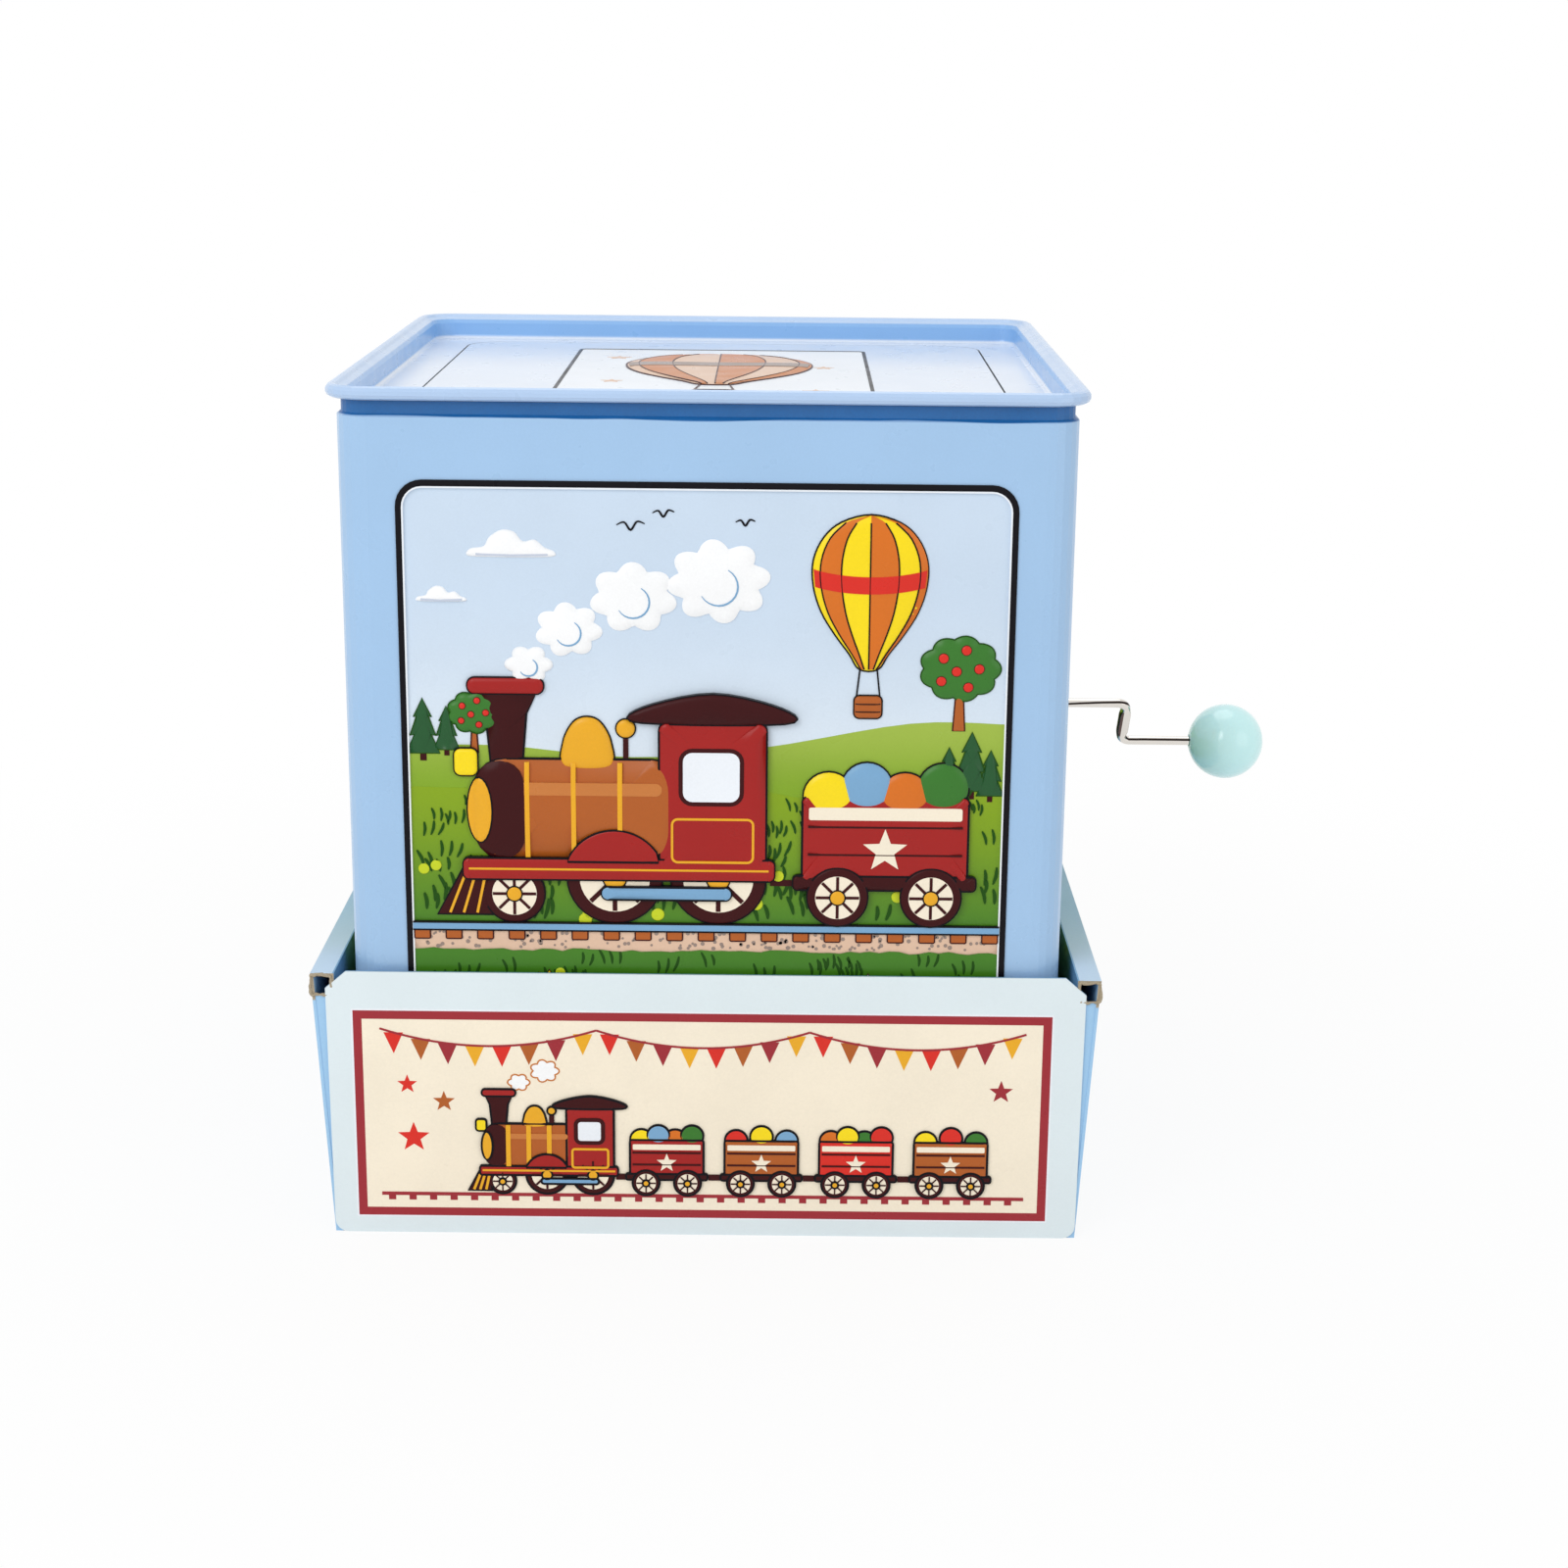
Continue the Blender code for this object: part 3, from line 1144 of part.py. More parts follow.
def make_worm(body):
    """A tube on the crank's shaft with one left-hand thread, whose ridge is straight above the wheel's axis."""
    low = SUPPORT_IN_X + RUN
    high = BUSH_IN_X - RUN
    tube = collar("X", (0, CRANK_Z), WORM_BORE, WORM_ROOT_RADIUS, low, high, ROUND_STEPS)
    worm = part("crank_worm", tube, WHITE_PLASTIC, body)
    steps = WORM_THREAD_TURNS * ROUND_STEPS
    foot = (WORM_BORE + WORM_ROOT_RADIUS) / 2
    loops = []
    for step in range(steps + 1):
        turn = (step + 0.5) / ROUND_STEPS - WORM_THREAD_TURNS / 2
        angle = -math.pi / 2 + math.tau * turn
        x = DRUM_X - WORM_LEAD * turn
        loop = []
        for radius, shift in (
            (foot, -WORM_ROOT_WIDTH / 2),
            (WORM_TIP_RADIUS, -WORM_TIP_WIDTH / 2),
            (WORM_TIP_RADIUS, WORM_TIP_WIDTH / 2),
            (foot, WORM_ROOT_WIDTH / 2),
        ):
            loop.append(Vector((x + shift, radius * math.cos(angle), CRANK_Z + radius * math.sin(angle))))
        loops.append(loop)
    return combine(worm, loft(loops), "UNION")


def make_crank_mount(body):
    """The bush in the right wall and the bent support at the shaft's inner end."""
    middle = (0, CRANK_Z)
    outer = TIN_HALF + BUSH_PROUD
    section = [
        (WORM_BORE, BUSH_IN_X),
        (BUSH_FLANGE, BUSH_IN_X),
        (BUSH_FLANGE, BUSH_IN_X + BUSH_FLANGE_WIDTH),
        (BUSH_RADIUS, BUSH_IN_X + BUSH_FLANGE_WIDTH),
        (BUSH_RADIUS, outer),
        (WORM_BORE, outer),
    ]
    part("crank_bush", turned(section, "X", middle, SMALL_STEPS, ring=True), WHITE_PLASTIC, body)
    flange_out = FRAME_IN_X - CLEAR
    flange_in = flange_out - FRAME_SHEET
    tongue_out = SUPPORT_IN_X
    tongue_in = tongue_out - FRAME_SHEET
    arm_low = CRANK_Z + SUPPORT_ABOVE
    arm_high = arm_low + FRAME_SHEET
    outline = [
        (flange_out, arm_low),
        (flange_out, arm_low + SUPPORT_FLANGE),
        (flange_in, arm_low + SUPPORT_FLANGE),
        (flange_in, arm_high),
        (tongue_in, arm_high),
        (tongue_in, CRANK_Z - SUPPORT_HALF_WIDTH),
        (tongue_out, CRANK_Z - SUPPORT_HALF_WIDTH),
        (tongue_out, arm_low),
    ]
    bm = extruded(outline, "Y", -SUPPORT_HALF_WIDTH, SUPPORT_HALF_WIDTH)
    support = part("crank_support", bm, STEEL, body, smooth=False)
    drill(support, "X", [(0, CRANK_Z, WORM_BORE)], tongue_in - FRAME_SHEET, tongue_out + FRAME_SHEET)
    rivet_y, rivet_z = rivet_places()[3]
    rivet = (rivet_y, rivet_z, RIVET_RADIUS + CLEAR)
    drill(support, "X", [rivet], flange_in - FRAME_SHEET, FRAME_IN_X)


def make_knob(body):
    """A ball with a blind bore, which turns on the handle's end."""
    radius = KNOB_RADIUS
    bore = CRANK_WIRE_RADIUS + RUN
    bore_end = KNOB_X - radius + KNOB_BORE_DEPTH
    open_angle = math.degrees(math.asin(bore / radius))
    shell = arc((KNOB_X, 0), radius, 180 - open_angle, 0, SMALL_STEPS)[:-1]
    profile = [(bore, bore_end)] + [(r, x) for x, r in shell]
    bm = turned(profile, "X", (HANDLE_Y, HANDLE_Z), ROUND_STEPS)
    part("crank_knob", bm, AQUA_PLASTIC, body)


# Figure


def make_spring_and_sleeve(body):
    """The cup on the base, the coil that stands in it and the pleated cloth round the coil."""
    cup_in = CUP_RADIUS - CUP_SHEET
    cup_top = CUP_FOOT_Z + CUP_HEIGHT
    cup = [(CUP_RADIUS, CUP_FOOT_Z), (CUP_RADIUS, cup_top), (cup_in, cup_top), (cup_in, CUP_FLOOR_Z)]
    part("spring_cup", turned(cup, "Z", (0, 0)), BARE_TIN, body)
    low = CUP_FLOOR_Z + CLEAR + SPRING_WIRE_RADIUS
    high = PLATE_FOOT_Z - CLEAR - SPRING_WIRE_RADIUS
    points = coil_points((0, 0), SPRING_RADIUS, low, high, SPRING_CURLS, SPRING_WIRE_RADIUS * 2)
    wire_part("figure_spring", points, SPRING_WIRE_RADIUS, STEEL, body)
    sleeve_low = CUP_FLOOR_Z + CLEAR
    sleeve_high = PLATE_FOOT_Z - CLEAR
    outer = [(SLEEVE_FOOT_RADIUS, sleeve_low)]
    first = cup_top + CLEAR * 4
    rows = SLEEVE_FOLDS * SLEEVE_FOLD_STEPS
    for row in range(rows + 1):
        swing = (1 - math.cos(math.tau * row / SLEEVE_FOLD_STEPS)) / 2
        z = first + (sleeve_high - first) * row / rows
        outer.append((SLEEVE_FOOT_RADIUS + SLEEVE_FOLD_DEPTH * swing, z))
    inner = [(radius - SLEEVE_WALL, z) for radius, z in reversed(outer)]
    bm = turned(outer + inner, "Z", (0, 0), SLEEVE_STEPS, ring=True)
    part("figure_sleeve", bm, BLUE_CLOTH, body)


def torso_profile():
    """The torso swells over the plate and tapers to the neck, as (radius, z)."""
    shares = ((0.0, 0.9), (0.12, 0.98), (0.3, 1.0), (0.5, 0.97), (0.68, 0.88), (0.84, 0.72), (1.0, 0.52))
    profile = [(TORSO_RADIUS * wide, TORSO_FOOT_Z + TORSO_NECK_UP * up) for up, wide in shares]
    foot_radius, foot_z = profile[0]
    profile[0] = (min(foot_radius, PLATE_RADIUS - CLEAR), foot_z)
    return profile


def torso_room():
    """The torso with its clearance, for cutting the pieces that lie against it."""
    return turned([(radius + CLEAR, z) for radius, z in torso_profile()], "Z", (0, 0))


def limb(start, end, start_radius, end_radius, steps=SMALL_STEPS, rings=6):
    """A stuffed limb: round at both ends, and tapered between two radii."""
    start = Vector(start)
    end = Vector(end)
    run = (end - start).normalized()
    side = run.orthogonal().normalized()
    up = run.cross(side)
    loops = []
    for middle, radius, first, last in ((start, start_radius, -80, -5), (end, end_radius, 5, 80)):
        for ring in range(rings):
            angle = math.radians(first + (last - first) * ring / (rings - 1))
            centre = middle + run * radius * math.sin(angle)
            reach = radius * math.cos(angle)
            turns = [math.tau * step / steps for step in range(steps)]
            spokes = [side * math.cos(turn) + up * math.sin(turn) for turn in turns]
            loops.append([centre + spoke * reach for spoke in spokes])
    return loft(loops)


def make_figure(body):
    """A plain stuffed bear on a plate: torso, head, muzzle, ears, arms, eyes, nose and bow tie."""
    plate = disc("Z", (0, 0), PLATE_RADIUS, PLATE_FOOT_Z, PLATE_FOOT_Z + PLATE_THICKNESS, ROUND_STEPS)
    part("figure_plate", plate, WHITE_PLASTIC, body)
    head_middle = (0, -HEAD_FORWARD, HEAD_Z)
    head_room = grown(HEAD_RADII)
    part("figure_head", ball(head_middle, HEAD_RADII), TAN_PLUSH, body)
    torso = part("figure_torso", turned(torso_profile(), "Z", (0, 0)), RED_CLOTH, body)
    combine(torso, ball(head_middle, head_room), "DIFFERENCE")
    muzzle_middle = (0, -MUZZLE_FORWARD - HEAD_FORWARD, HEAD_Z - MUZZLE_DOWN)
    muzzle_shape = ball(muzzle_middle, MUZZLE_RADII, SMALL_STEPS, SMALL_STEPS)
    muzzle = part("figure_muzzle", muzzle_shape, CREAM_PLUSH, body)
    combine(muzzle, ball(head_middle, head_room), "DIFFERENCE")
    nose_middle = (0, muzzle_middle[1] - MUZZLE_RADII[1] + NOSE_RADII[1] / 2, muzzle_middle[2] + NOSE_UP)
    nose = part("figure_nose", ball(nose_middle, NOSE_RADII, SMALL_STEPS, NOSE_STEPS), BLACK_PLASTIC, body)
    combine(nose, ball(muzzle_middle, grown(MUZZLE_RADII), SMALL_STEPS, SMALL_STEPS), "DIFFERENCE")
    for name, side in (("right", 1), ("left", -1)):
        ear_middle = (side * EAR_OUT, 0, HEAD_Z + EAR_UP)
        ear_shape = ball(ear_middle, EAR_RADII, SMALL_STEPS, SMALL_STEPS)
        ear = part(f"figure_ear_{name}", ear_shape, TAN_PLUSH, body)
        combine(ear, ball(head_middle, head_room), "DIFFERENCE")
        eye_shape = ball(eye_middle(side), [EYE_RADIUS] * 3, SMALL_STEPS, NOSE_STEPS)
        eye = part(f"figure_eye_{name}", eye_shape, BLACK_PLASTIC, body)
        combine(eye, ball(head_middle, head_room), "DIFFERENCE")
        shoulder = (side * SHOULDER_OUT, -SHOULDER_FORWARD, TORSO_FOOT_Z + SHOULDER_UP)
        paw = (side * PAW_OUT, -PAW_FORWARD, TORSO_FOOT_Z + PAW_UP)
        arm = part(f"figure_arm_{name}", limb(shoulder, paw, ARM_RADIUS, PAW_RADIUS), TAN_PLUSH, body)
        combine(arm, torso_room(), "DIFFERENCE")
        combine(arm, ball(head_middle, head_room), "DIFFERENCE")
    make_bow(body, head_middle, head_room)


def eye_middle(side):
    """A point on the head's surface, at the eye's place across and up."""
    x_share = EYE_OUT / HEAD_RADII[0]
    z_share = EYE_UP / HEAD_RADII[2]
    depth = HEAD_RADII[1] * math.sqrt(1 - x_share**2 - z_share**2)
    return (side * EYE_OUT, -HEAD_FORWARD - depth, HEAD_Z + EYE_UP)


def make_bow(body, head_middle, head_room):
    """A bow tie under the chin, turned about its own long axis."""
    half = BOW_HALF_WIDTH
    wing_shares = ((0.18, 0.45), (0.5, 0.8), (0.85, 1.0), (1.0, 0.6))
    left_shares = [(-out, wide) for out, wide in reversed(wing_shares)]
    shares = [*left_shares, (0.0, 0.5), *wing_shares]
    profile = [(max(BOW_RADIUS * wide, BOW_WAIST), half * out) for out, wide in shares]
    middle = (-BOW_FORWARD, TORSO_FOOT_Z + BOW_UP)
    bow = part("bow_tie", turned(profile, "X", middle, SMALL_STEPS), RED_CLOTH, body)
    combine(bow, ball(head_middle, head_room), "DIFFERENCE")
    return combine(bow, torso_room(), "DIFFERENCE")


def main():
    clear_scene()
    tray = axis_empty("tray", (0, 0, 0))
    tin = axis_empty("tin", (0, 0, TIN_FOOT_Z), tray)
    crank = axis_empty("crank", (CRANK_ARM_X, 0, CRANK_Z), tin)
    knob = axis_empty("knob", (KNOB_X, HANDLE_Y, HANDLE_Z), crank)
    drum = axis_empty("drum", (DRUM_X, 0, DRUM_Z), tin)
    lid = axis_empty("lid", (0, HINGE_Y, HINGE_Z), tin)
    latch = axis_empty("latch", (PIVOT_X, CAM_Y, PIVOT_Z), tin)
    figure = axis_empty("figure", (0, 0, PLATE_FOOT_Z), tin)
    make_tray(tray)
    make_case(tin)
    make_base(tin)
    make_top_frame(tin)
    make_hinge(tin)
    make_movement_frame(tin)
    make_rivets(tin)
    make_comb(tin)
    make_crank_mount(tin)
    make_latch_mount(tin)
    make_spring_and_sleeve(tin)
    make_lid(lid)
    make_catch(lid)
    make_lever(latch)
    make_drum(drum)
    make_gear(drum)
    make_cam(drum)
    make_axle(drum)
    make_crank(crank)
    make_knob(knob)
    make_figure(figure)


main()
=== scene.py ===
"""The looks of a tin jack-in-the-box, dressed round its CAD model.

The frame is the part's own: metres, +X to the crank, +Y to the back, +Z up. Drawings are in millimetres.
"""

import math
import random

import bmesh
import bpy
import numpy as np
from mathutils import Matrix, Vector, noise
from mathutils.geometry import delaunay_2d_cdt


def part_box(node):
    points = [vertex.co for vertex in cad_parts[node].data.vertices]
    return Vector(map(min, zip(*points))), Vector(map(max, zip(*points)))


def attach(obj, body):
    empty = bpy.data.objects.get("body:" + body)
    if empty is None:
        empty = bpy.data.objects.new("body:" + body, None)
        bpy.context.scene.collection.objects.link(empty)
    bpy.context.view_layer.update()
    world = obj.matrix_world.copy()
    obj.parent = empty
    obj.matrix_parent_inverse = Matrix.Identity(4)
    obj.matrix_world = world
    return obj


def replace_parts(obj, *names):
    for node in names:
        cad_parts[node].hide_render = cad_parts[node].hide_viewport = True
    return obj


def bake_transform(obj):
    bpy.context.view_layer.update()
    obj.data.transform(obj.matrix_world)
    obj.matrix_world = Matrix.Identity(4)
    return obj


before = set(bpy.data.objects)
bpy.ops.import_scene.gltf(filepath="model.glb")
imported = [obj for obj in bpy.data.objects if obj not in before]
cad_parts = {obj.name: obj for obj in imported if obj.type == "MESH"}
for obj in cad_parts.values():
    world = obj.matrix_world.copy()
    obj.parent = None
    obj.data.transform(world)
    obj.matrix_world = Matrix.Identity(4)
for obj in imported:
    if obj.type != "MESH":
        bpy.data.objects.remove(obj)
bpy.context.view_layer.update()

MM = 0.001

# Camera, as the photograph was taken
CAMERA_PLACE = (14.39 * MM, -549.88 * MM, 223.8 * MM)
CAMERA_YAW = 0.0177
CAMERA_PITCH = 15.398
CAMERA_ROLL = -0.584
CAMERA_LENS = 61.14
CAMERA_SENSOR = 36.0

# Stage
FLOOR_HALF = 60.0
FLOOR_GLOW = 0.9
FLOOR_NEAR = 0.1
FLOOR_FAR = 0.36
FLOOR_TONE = (0.88, 0.88, 0.88)
WHITE = (1.0, 1.0, 1.0)
WORLD_LIGHT = 0.65
KEY_WATTS = 2.75
FILL_WATTS = 1.6
TOP_WATTS = 2.6
LIGHT_TARGET = (0.0, 0.0, 0.09)

# Places read from the frame
TIN_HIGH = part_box("tin_case")[1]
TIN_HALF = TIN_HIGH.x
TOP_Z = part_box("lid_panel")[1].z
TRAY_FRONT_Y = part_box("display_tray")[0].y

# Tray's side walls and the tin's round corners, as in the CAD model. The mouths between the walls' two
# layers, at the tray's front and back, have their height in millimetres
WALL_TOP_Z = 53.3 * MM
WALL_INNER_X = 70.6 * MM
WALL_OUTER_X = 75.5 * MM
MOUTH_HEIGHT = 4.4
CORNER_CENTRE = 62 * MM
CASE_RADIUS = 5.8 * MM
NECK_RADIUS = 5.0 * MM
NECK_HEIGHT = 2.7 * MM

# Crank and knob, in millimetres, as in the CAD model
CRANK_LEAN = math.radians(38.0)
CRANK_ARM = 12.8
CRANK_ARM_X = 87.15
CRANK_BEND = 1.9
CRANK_WIRE = 0.95
CRANK_FLAT_WIDTH = 1.3
CRANK_FLAT_THICKNESS = 0.75
CRANK_FLAT_RUN = 2.0
CRANK_Z = 90.9
CRANK_START_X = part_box("crank_wire")[0].x / MM
CRANK_END_X = 114.0
KNOB_X = CRANK_ARM_X + 22.65
KNOB_Y = CRANK_ARM * math.sin(CRANK_LEAN)
KNOB_Z = CRANK_Z - CRANK_ARM * math.cos(CRANK_LEAN)
KNOB_RADIUS = 8.0
KNOB_BORE = 12.5
KNOB_PLAY = 0.3
KNOB_CHAMFER = 0.35

# Springs and sleeve, in millimetres, as in the CAD model
FIGURE_COIL = {"radius": 19.5, "low": 3.4, "high": 76.575, "curls": 9, "steps": 40}
FIGURE_WIRE = 0.7
LATCH_SPRING = (62.7, -38.4)
LATCH_COIL = {"radius": 1.3, "low": 121.75, "high": 135.65, "curls": 8, "steps": 24}
LATCH_WIRE = 0.25
SLEEVE_CUFF = ((2.7, 24.0), (5.0, 24.0), (7.0, 23.6))
SLEEVE_FOOT = 8.2
SLEEVE_RUN = 69.075
SLEEVE_RADIUS = 22.9
SLEEVE_FOLDS = 11
SLEEVE_SWELL = 2.85
SLEEVE_WALL = 0.8

# The radius at which cloth shows its weave at true size, in metres
CLOTH_RADIUS = 0.025

# Figure, in millimetres, as in the CAD model. The pile is part of its thickness
PILE = 1.1
PILE_COMB = (0, 0, -0.45)
HEAD = np.array((0.0, -1.0, 131.0))
HEAD_RADII = np.array((27.0, 24.5, 23.5))
HEAD_SEAM = 10.5
MUZZLE = np.array((0.0, -24.0, 124.0))
MUZZLE_RADII = np.array((12.0, 10.0, 9.5))
EAR = (20.5, 144.5)
EAR_RADII = np.array((9.0, 4.5, 9.0))
EYES = ((9.5, "right"), (-9.5, "left"))
EYE_Z = 136.0
EYE_RADIUS = 2.3
NOSE = (0, -32.7, 127.5)
NOSE_RADII = (4.0, 2.6, 2.8)
SHOULDER = (20.0, -4.0, 102.375)
PAW = (17.0, -22.0, 91.875)
ARM_RADIUS = 6.6
KNOT = (0, -18.9, 103.875)
KNOT_RADII = (2.5, 2.6, 2.9)
LOOP_Y = -18.0
LOOP_REACH = 10.8
LOOP_RADIUS = 4.5
TORSO_FOOT = 79.45
TORSO_HEIGHT = 27.8
TORSO_RADIUS = 24.3
TORSO_GORES = 6
TAN_PLUSH = (198, 146, 94)
CREAM_PLUSH = (240, 222, 190)

# Printing, in millimetres: a coat of ink, the usual line, the rings that round a swelling shape's edge
# as shares of its roll, and how a shape that lies on another follows its relief
INK = 0.03
LINE = 0.45
EMBOSS_RINGS = (0.12, 0.3, 0.55, 0.8, 1.0)
ON_STEP = 0.6
ON_LIFT = 0.02
RING_CLEAR = 0.93
GRID_CLEAR = 1.15
FLAT_CLEAR = 0.4
EDGE_CLEAR = 0.12
LINE_SECTION = ((-1.0, 0.0), (-1.0, 1.0), (-0.5, 1.9), (0.5, 1.9), (1.0, 1.0), (1.0, 0.0))
SHARP = math.radians(48)

# The picture's frame on the tin, in millimetres
FRAME_HALF = 57.0
FRAME_FOOT = 15.6
FRAME_TOP = 147.9
FRAME_CORNER = 5.0
FRAME_LINE = 1.2
PICTURE_HALF = FRAME_HALF - FRAME_LINE / 2
GRASS_TOP = 92.0
RAIL_TOP = 63.5
TRAIN_SCALE = 1.36
TRAIN_SHIFT = 21.6

# The lid's picture and the tray's label, in millimetres
LID_PICTURE = (-31.3, -43.0, 31.2, 46.2)
LABEL = (-67.6, 3.6, 66.4, 46.0)
LABEL_BORDER = 1.7
WAGON_PITCH = 29.6
LABEL_LOADS = (
    ("bright_red", "yellow", "steel_blue"),
    ("orange", "yellow", "leaf", "bright_red"),
    ("yellow", "bright_red", "leaf"),
)


def srgb(red, green, blue):
    """A colour given as 0 to 255 on the screen, as the linear values that a shader takes."""
    return tuple(((value / 255 + 0.055) / 1.055) ** 2.4 for value in (red, green, blue))


def shade(colour, factor):
    return tuple(min(value * factor, 1.0) for value in colour)


# Materials

COAT_ROUGHNESS = 0.12
SHEEN_ROUGHNESS = 0.5
PILE_SHINE = 0.15
CLOTH_SHINE = 0.12


class Nodes:
    """A node tree, with short ways to the nodes that are used often."""

    def __init__(self, tree):
        self.nodes = tree.nodes
        self.links = tree.links

    def put(self, socket, value):
        """Links an output to a node's socket, or sets the socket to a number or colour."""
        if isinstance(value, bpy.types.NodeSocket):
            self.links.new(value, socket)
        elif isinstance(value, tuple):
            socket.default_value = (*value, 1.0) if len(value) == 3 else value
        else:
            socket.default_value = value

    def new(self, kind, *values):
        """A new node, whose first sockets take these values."""
        node = self.nodes.new(kind)
        for socket, value in zip(node.inputs, values):
            self.put(socket, value)
        return node

    def math(self, operation, *values):
        node = self.new("ShaderNodeMath", *values)
        node.operation = operation
        return node.outputs[0]

    def split(self, vector):
        return self.new("ShaderNodeSeparateXYZ", vector).outputs

    def band(self, value, low, high, first=0.0, last=1.0):
        """Runs smoothly from first to last as a value goes from low to high."""
        node = self.new("ShaderNodeMapRange", value, low, high, first, last)
        node.interpolation_type = "SMOOTHSTEP"
        return node.outputs[0]

    def fall(self, value, low, high):
        """1 up to low, 0 from high on."""
        return self.band(value, low, high, 1.0, 0.0)

    def white_to_camera(self):
        """1 for rays from the camera, glossy rays and transmitted rays."""
        path = self.new("ShaderNodeLightPath")
        seen = path.outputs["Is Camera Ray"]
        for name in ("Is Glossy Ray", "Is Transmission Ray"):
            seen = self.math("MAXIMUM", seen, path.outputs[name])
        return seen


class Finish(Nodes):
    """One material's nodes. Its textures lie in the object's own coordinates, in metres."""

    def __init__(self, name, roughness=0.5, metallic=0.0, coat=0.0, sheen=0.0, specular=0.5):
        self.material = bpy.data.materials.new(name)
        self.material.use_nodes = True
        super().__init__(self.material.node_tree)
        self.shader = self.nodes["Principled BSDF"]
        self.place = self.new("ShaderNodeTexCoord").outputs["Object"]
        self.x, self.y, self.z = self.split(self.place)
        settings = {
            "Roughness": roughness,
            "Metallic": metallic,
            "Specular IOR Level": specular,
            "Coat Weight": coat,
            "Coat Roughness": COAT_ROUGHNESS,
            "Sheen Weight": sheen,
            "Sheen Roughness": SHEEN_ROUGHNESS,
        }
        for socket, value in settings.items():
            self.shader.inputs[socket].default_value = value

    def facing(self, name="Normal"):
        """The surface's direction as x, y and z."""
        return self.split(self.new("ShaderNodeNewGeometry").outputs[name])

    def mix(self, factor, first, second):
        node = self.new("ShaderNodeMix", factor)
        node.data_type = "RGBA"
        self.put(node.inputs[6], first)
        self.put(node.inputs[7], second)
        return node.outputs[2]

    def noise(self, size, detail=2.0, stretch=(1.0, 1.0, 1.0)):
        """Soft noise from 0 to 1, whose blobs are about this size."""
        node = self.new("ShaderNodeTexNoise")
        node.inputs["Scale"].default_value = 1.0 / size
        node.inputs["Detail"].default_value = detail
        place = self.place
        if stretch != (1.0, 1.0, 1.0):
            scaled = self.new("ShaderNodeMapping", self.place)
            scaled.inputs["Scale"].default_value = stretch
            place = scaled.outputs[0]
        self.links.new(place, node.inputs["Vector"])
        return node.outputs["Fac"]

    def wander(self, size, detail, low, high):
        """A value that wanders between two, in blobs of about this size."""
        return self.band(self.noise(size, detail), 0.3, 0.7, low, high)

    def cells(self, size):
        node = self.new("ShaderNodeTexVoronoi", self.place)
        node.inputs["Scale"].default_value = 1.0 / size
        return node.outputs["Distance"]

    def stripes(self, value, width):
        """A wave from 0 to 1 along a coordinate."""
        wave = self.math("SINE", self.math("MULTIPLY", value, math.tau / width))
        return self.math("MULTIPLY_ADD", wave, 0.5, 0.5)

    def colour(self, value):
        self.put(self.shader.inputs["Base Color"], value)
        return self

    def rough(self, value):
        self.put(self.shader.inputs["Roughness"], value)
        return self

    def bump(self, height, depth, strength=1.0):
        """Relief: the height runs from 0 to 1, the depth is in metres. Bumps stack."""
        node = self.new("ShaderNodeBump", strength, depth)
        self.put(node.inputs["Height"], height)
        normal = self.shader.inputs["Normal"]
        if normal.links:
            self.links.new(normal.links[0].from_socket, node.inputs["Normal"])
        self.links.new(node.outputs[0], normal)
        return self


def varnish_gloss(finish):
    """The uneven roughness of varnished tinplate."""
    return finish.wander(6 * MM, 3.0, 0.27, 0.36)


def mottled(finish, colour, spread=0.02):
    """A printed colour that varies a little, in soft clouds and in fine grain."""
    clouds = finish.noise(17 * MM, 3.0)
    grain = finish.noise(0.45 * MM, 1.0)
    both = finish.math("MULTIPLY_ADD", grain, 0.35, finish.math("MULTIPLY", clouds, 0.65))
    factor = finish.band(both, 0.3, 0.7)
    return finish.mix(factor, shade(colour, 1 - spread), shade(colour, 1 + spread))


def varied(finish, colour, size, detail, dark, light):
    """A colour between a darker and a lighter shade of it, in blobs of about this size."""
    return finish.mix(finish.noise(size, detail), shade(colour, dark), shade(colour, light))


def corner_distance(finish):
    """How far a point lies outside the square whose corners are the tin's corner centres."""
    squares = 0.0
    for value in (finish.x, finish.y):
        out = finish.math("SUBTRACT", finish.math("ABSOLUTE", value), CORNER_CENTRE)
        out = finish.math("MAXIMUM", out, 0.0)
        squares = finish.math("MULTIPLY_ADD", out, out, squares)
    return finish.math("SQRT", squares)


TIN_BLUE = srgb(160, 196, 232)
# The neck's deep blue is painted shade under the bead
NECK_SHADE_BLUE = srgb(0, 98, 164)
BEAD_BLUE = srgb(176, 202, 235)
# The recess wall's blue holds painted shade, and the pale top colour is a painted reflection on the ledge and
# the lid
RECESS_SHADE_BLUE = srgb(136, 183, 234)
TOP_REFLECTION_PALE = srgb(222, 232, 246)
BARE_TIN = srgb(186, 184, 176)
TIN_COAT = 0.35
CHIP_GREY = srgb(120, 130, 146)


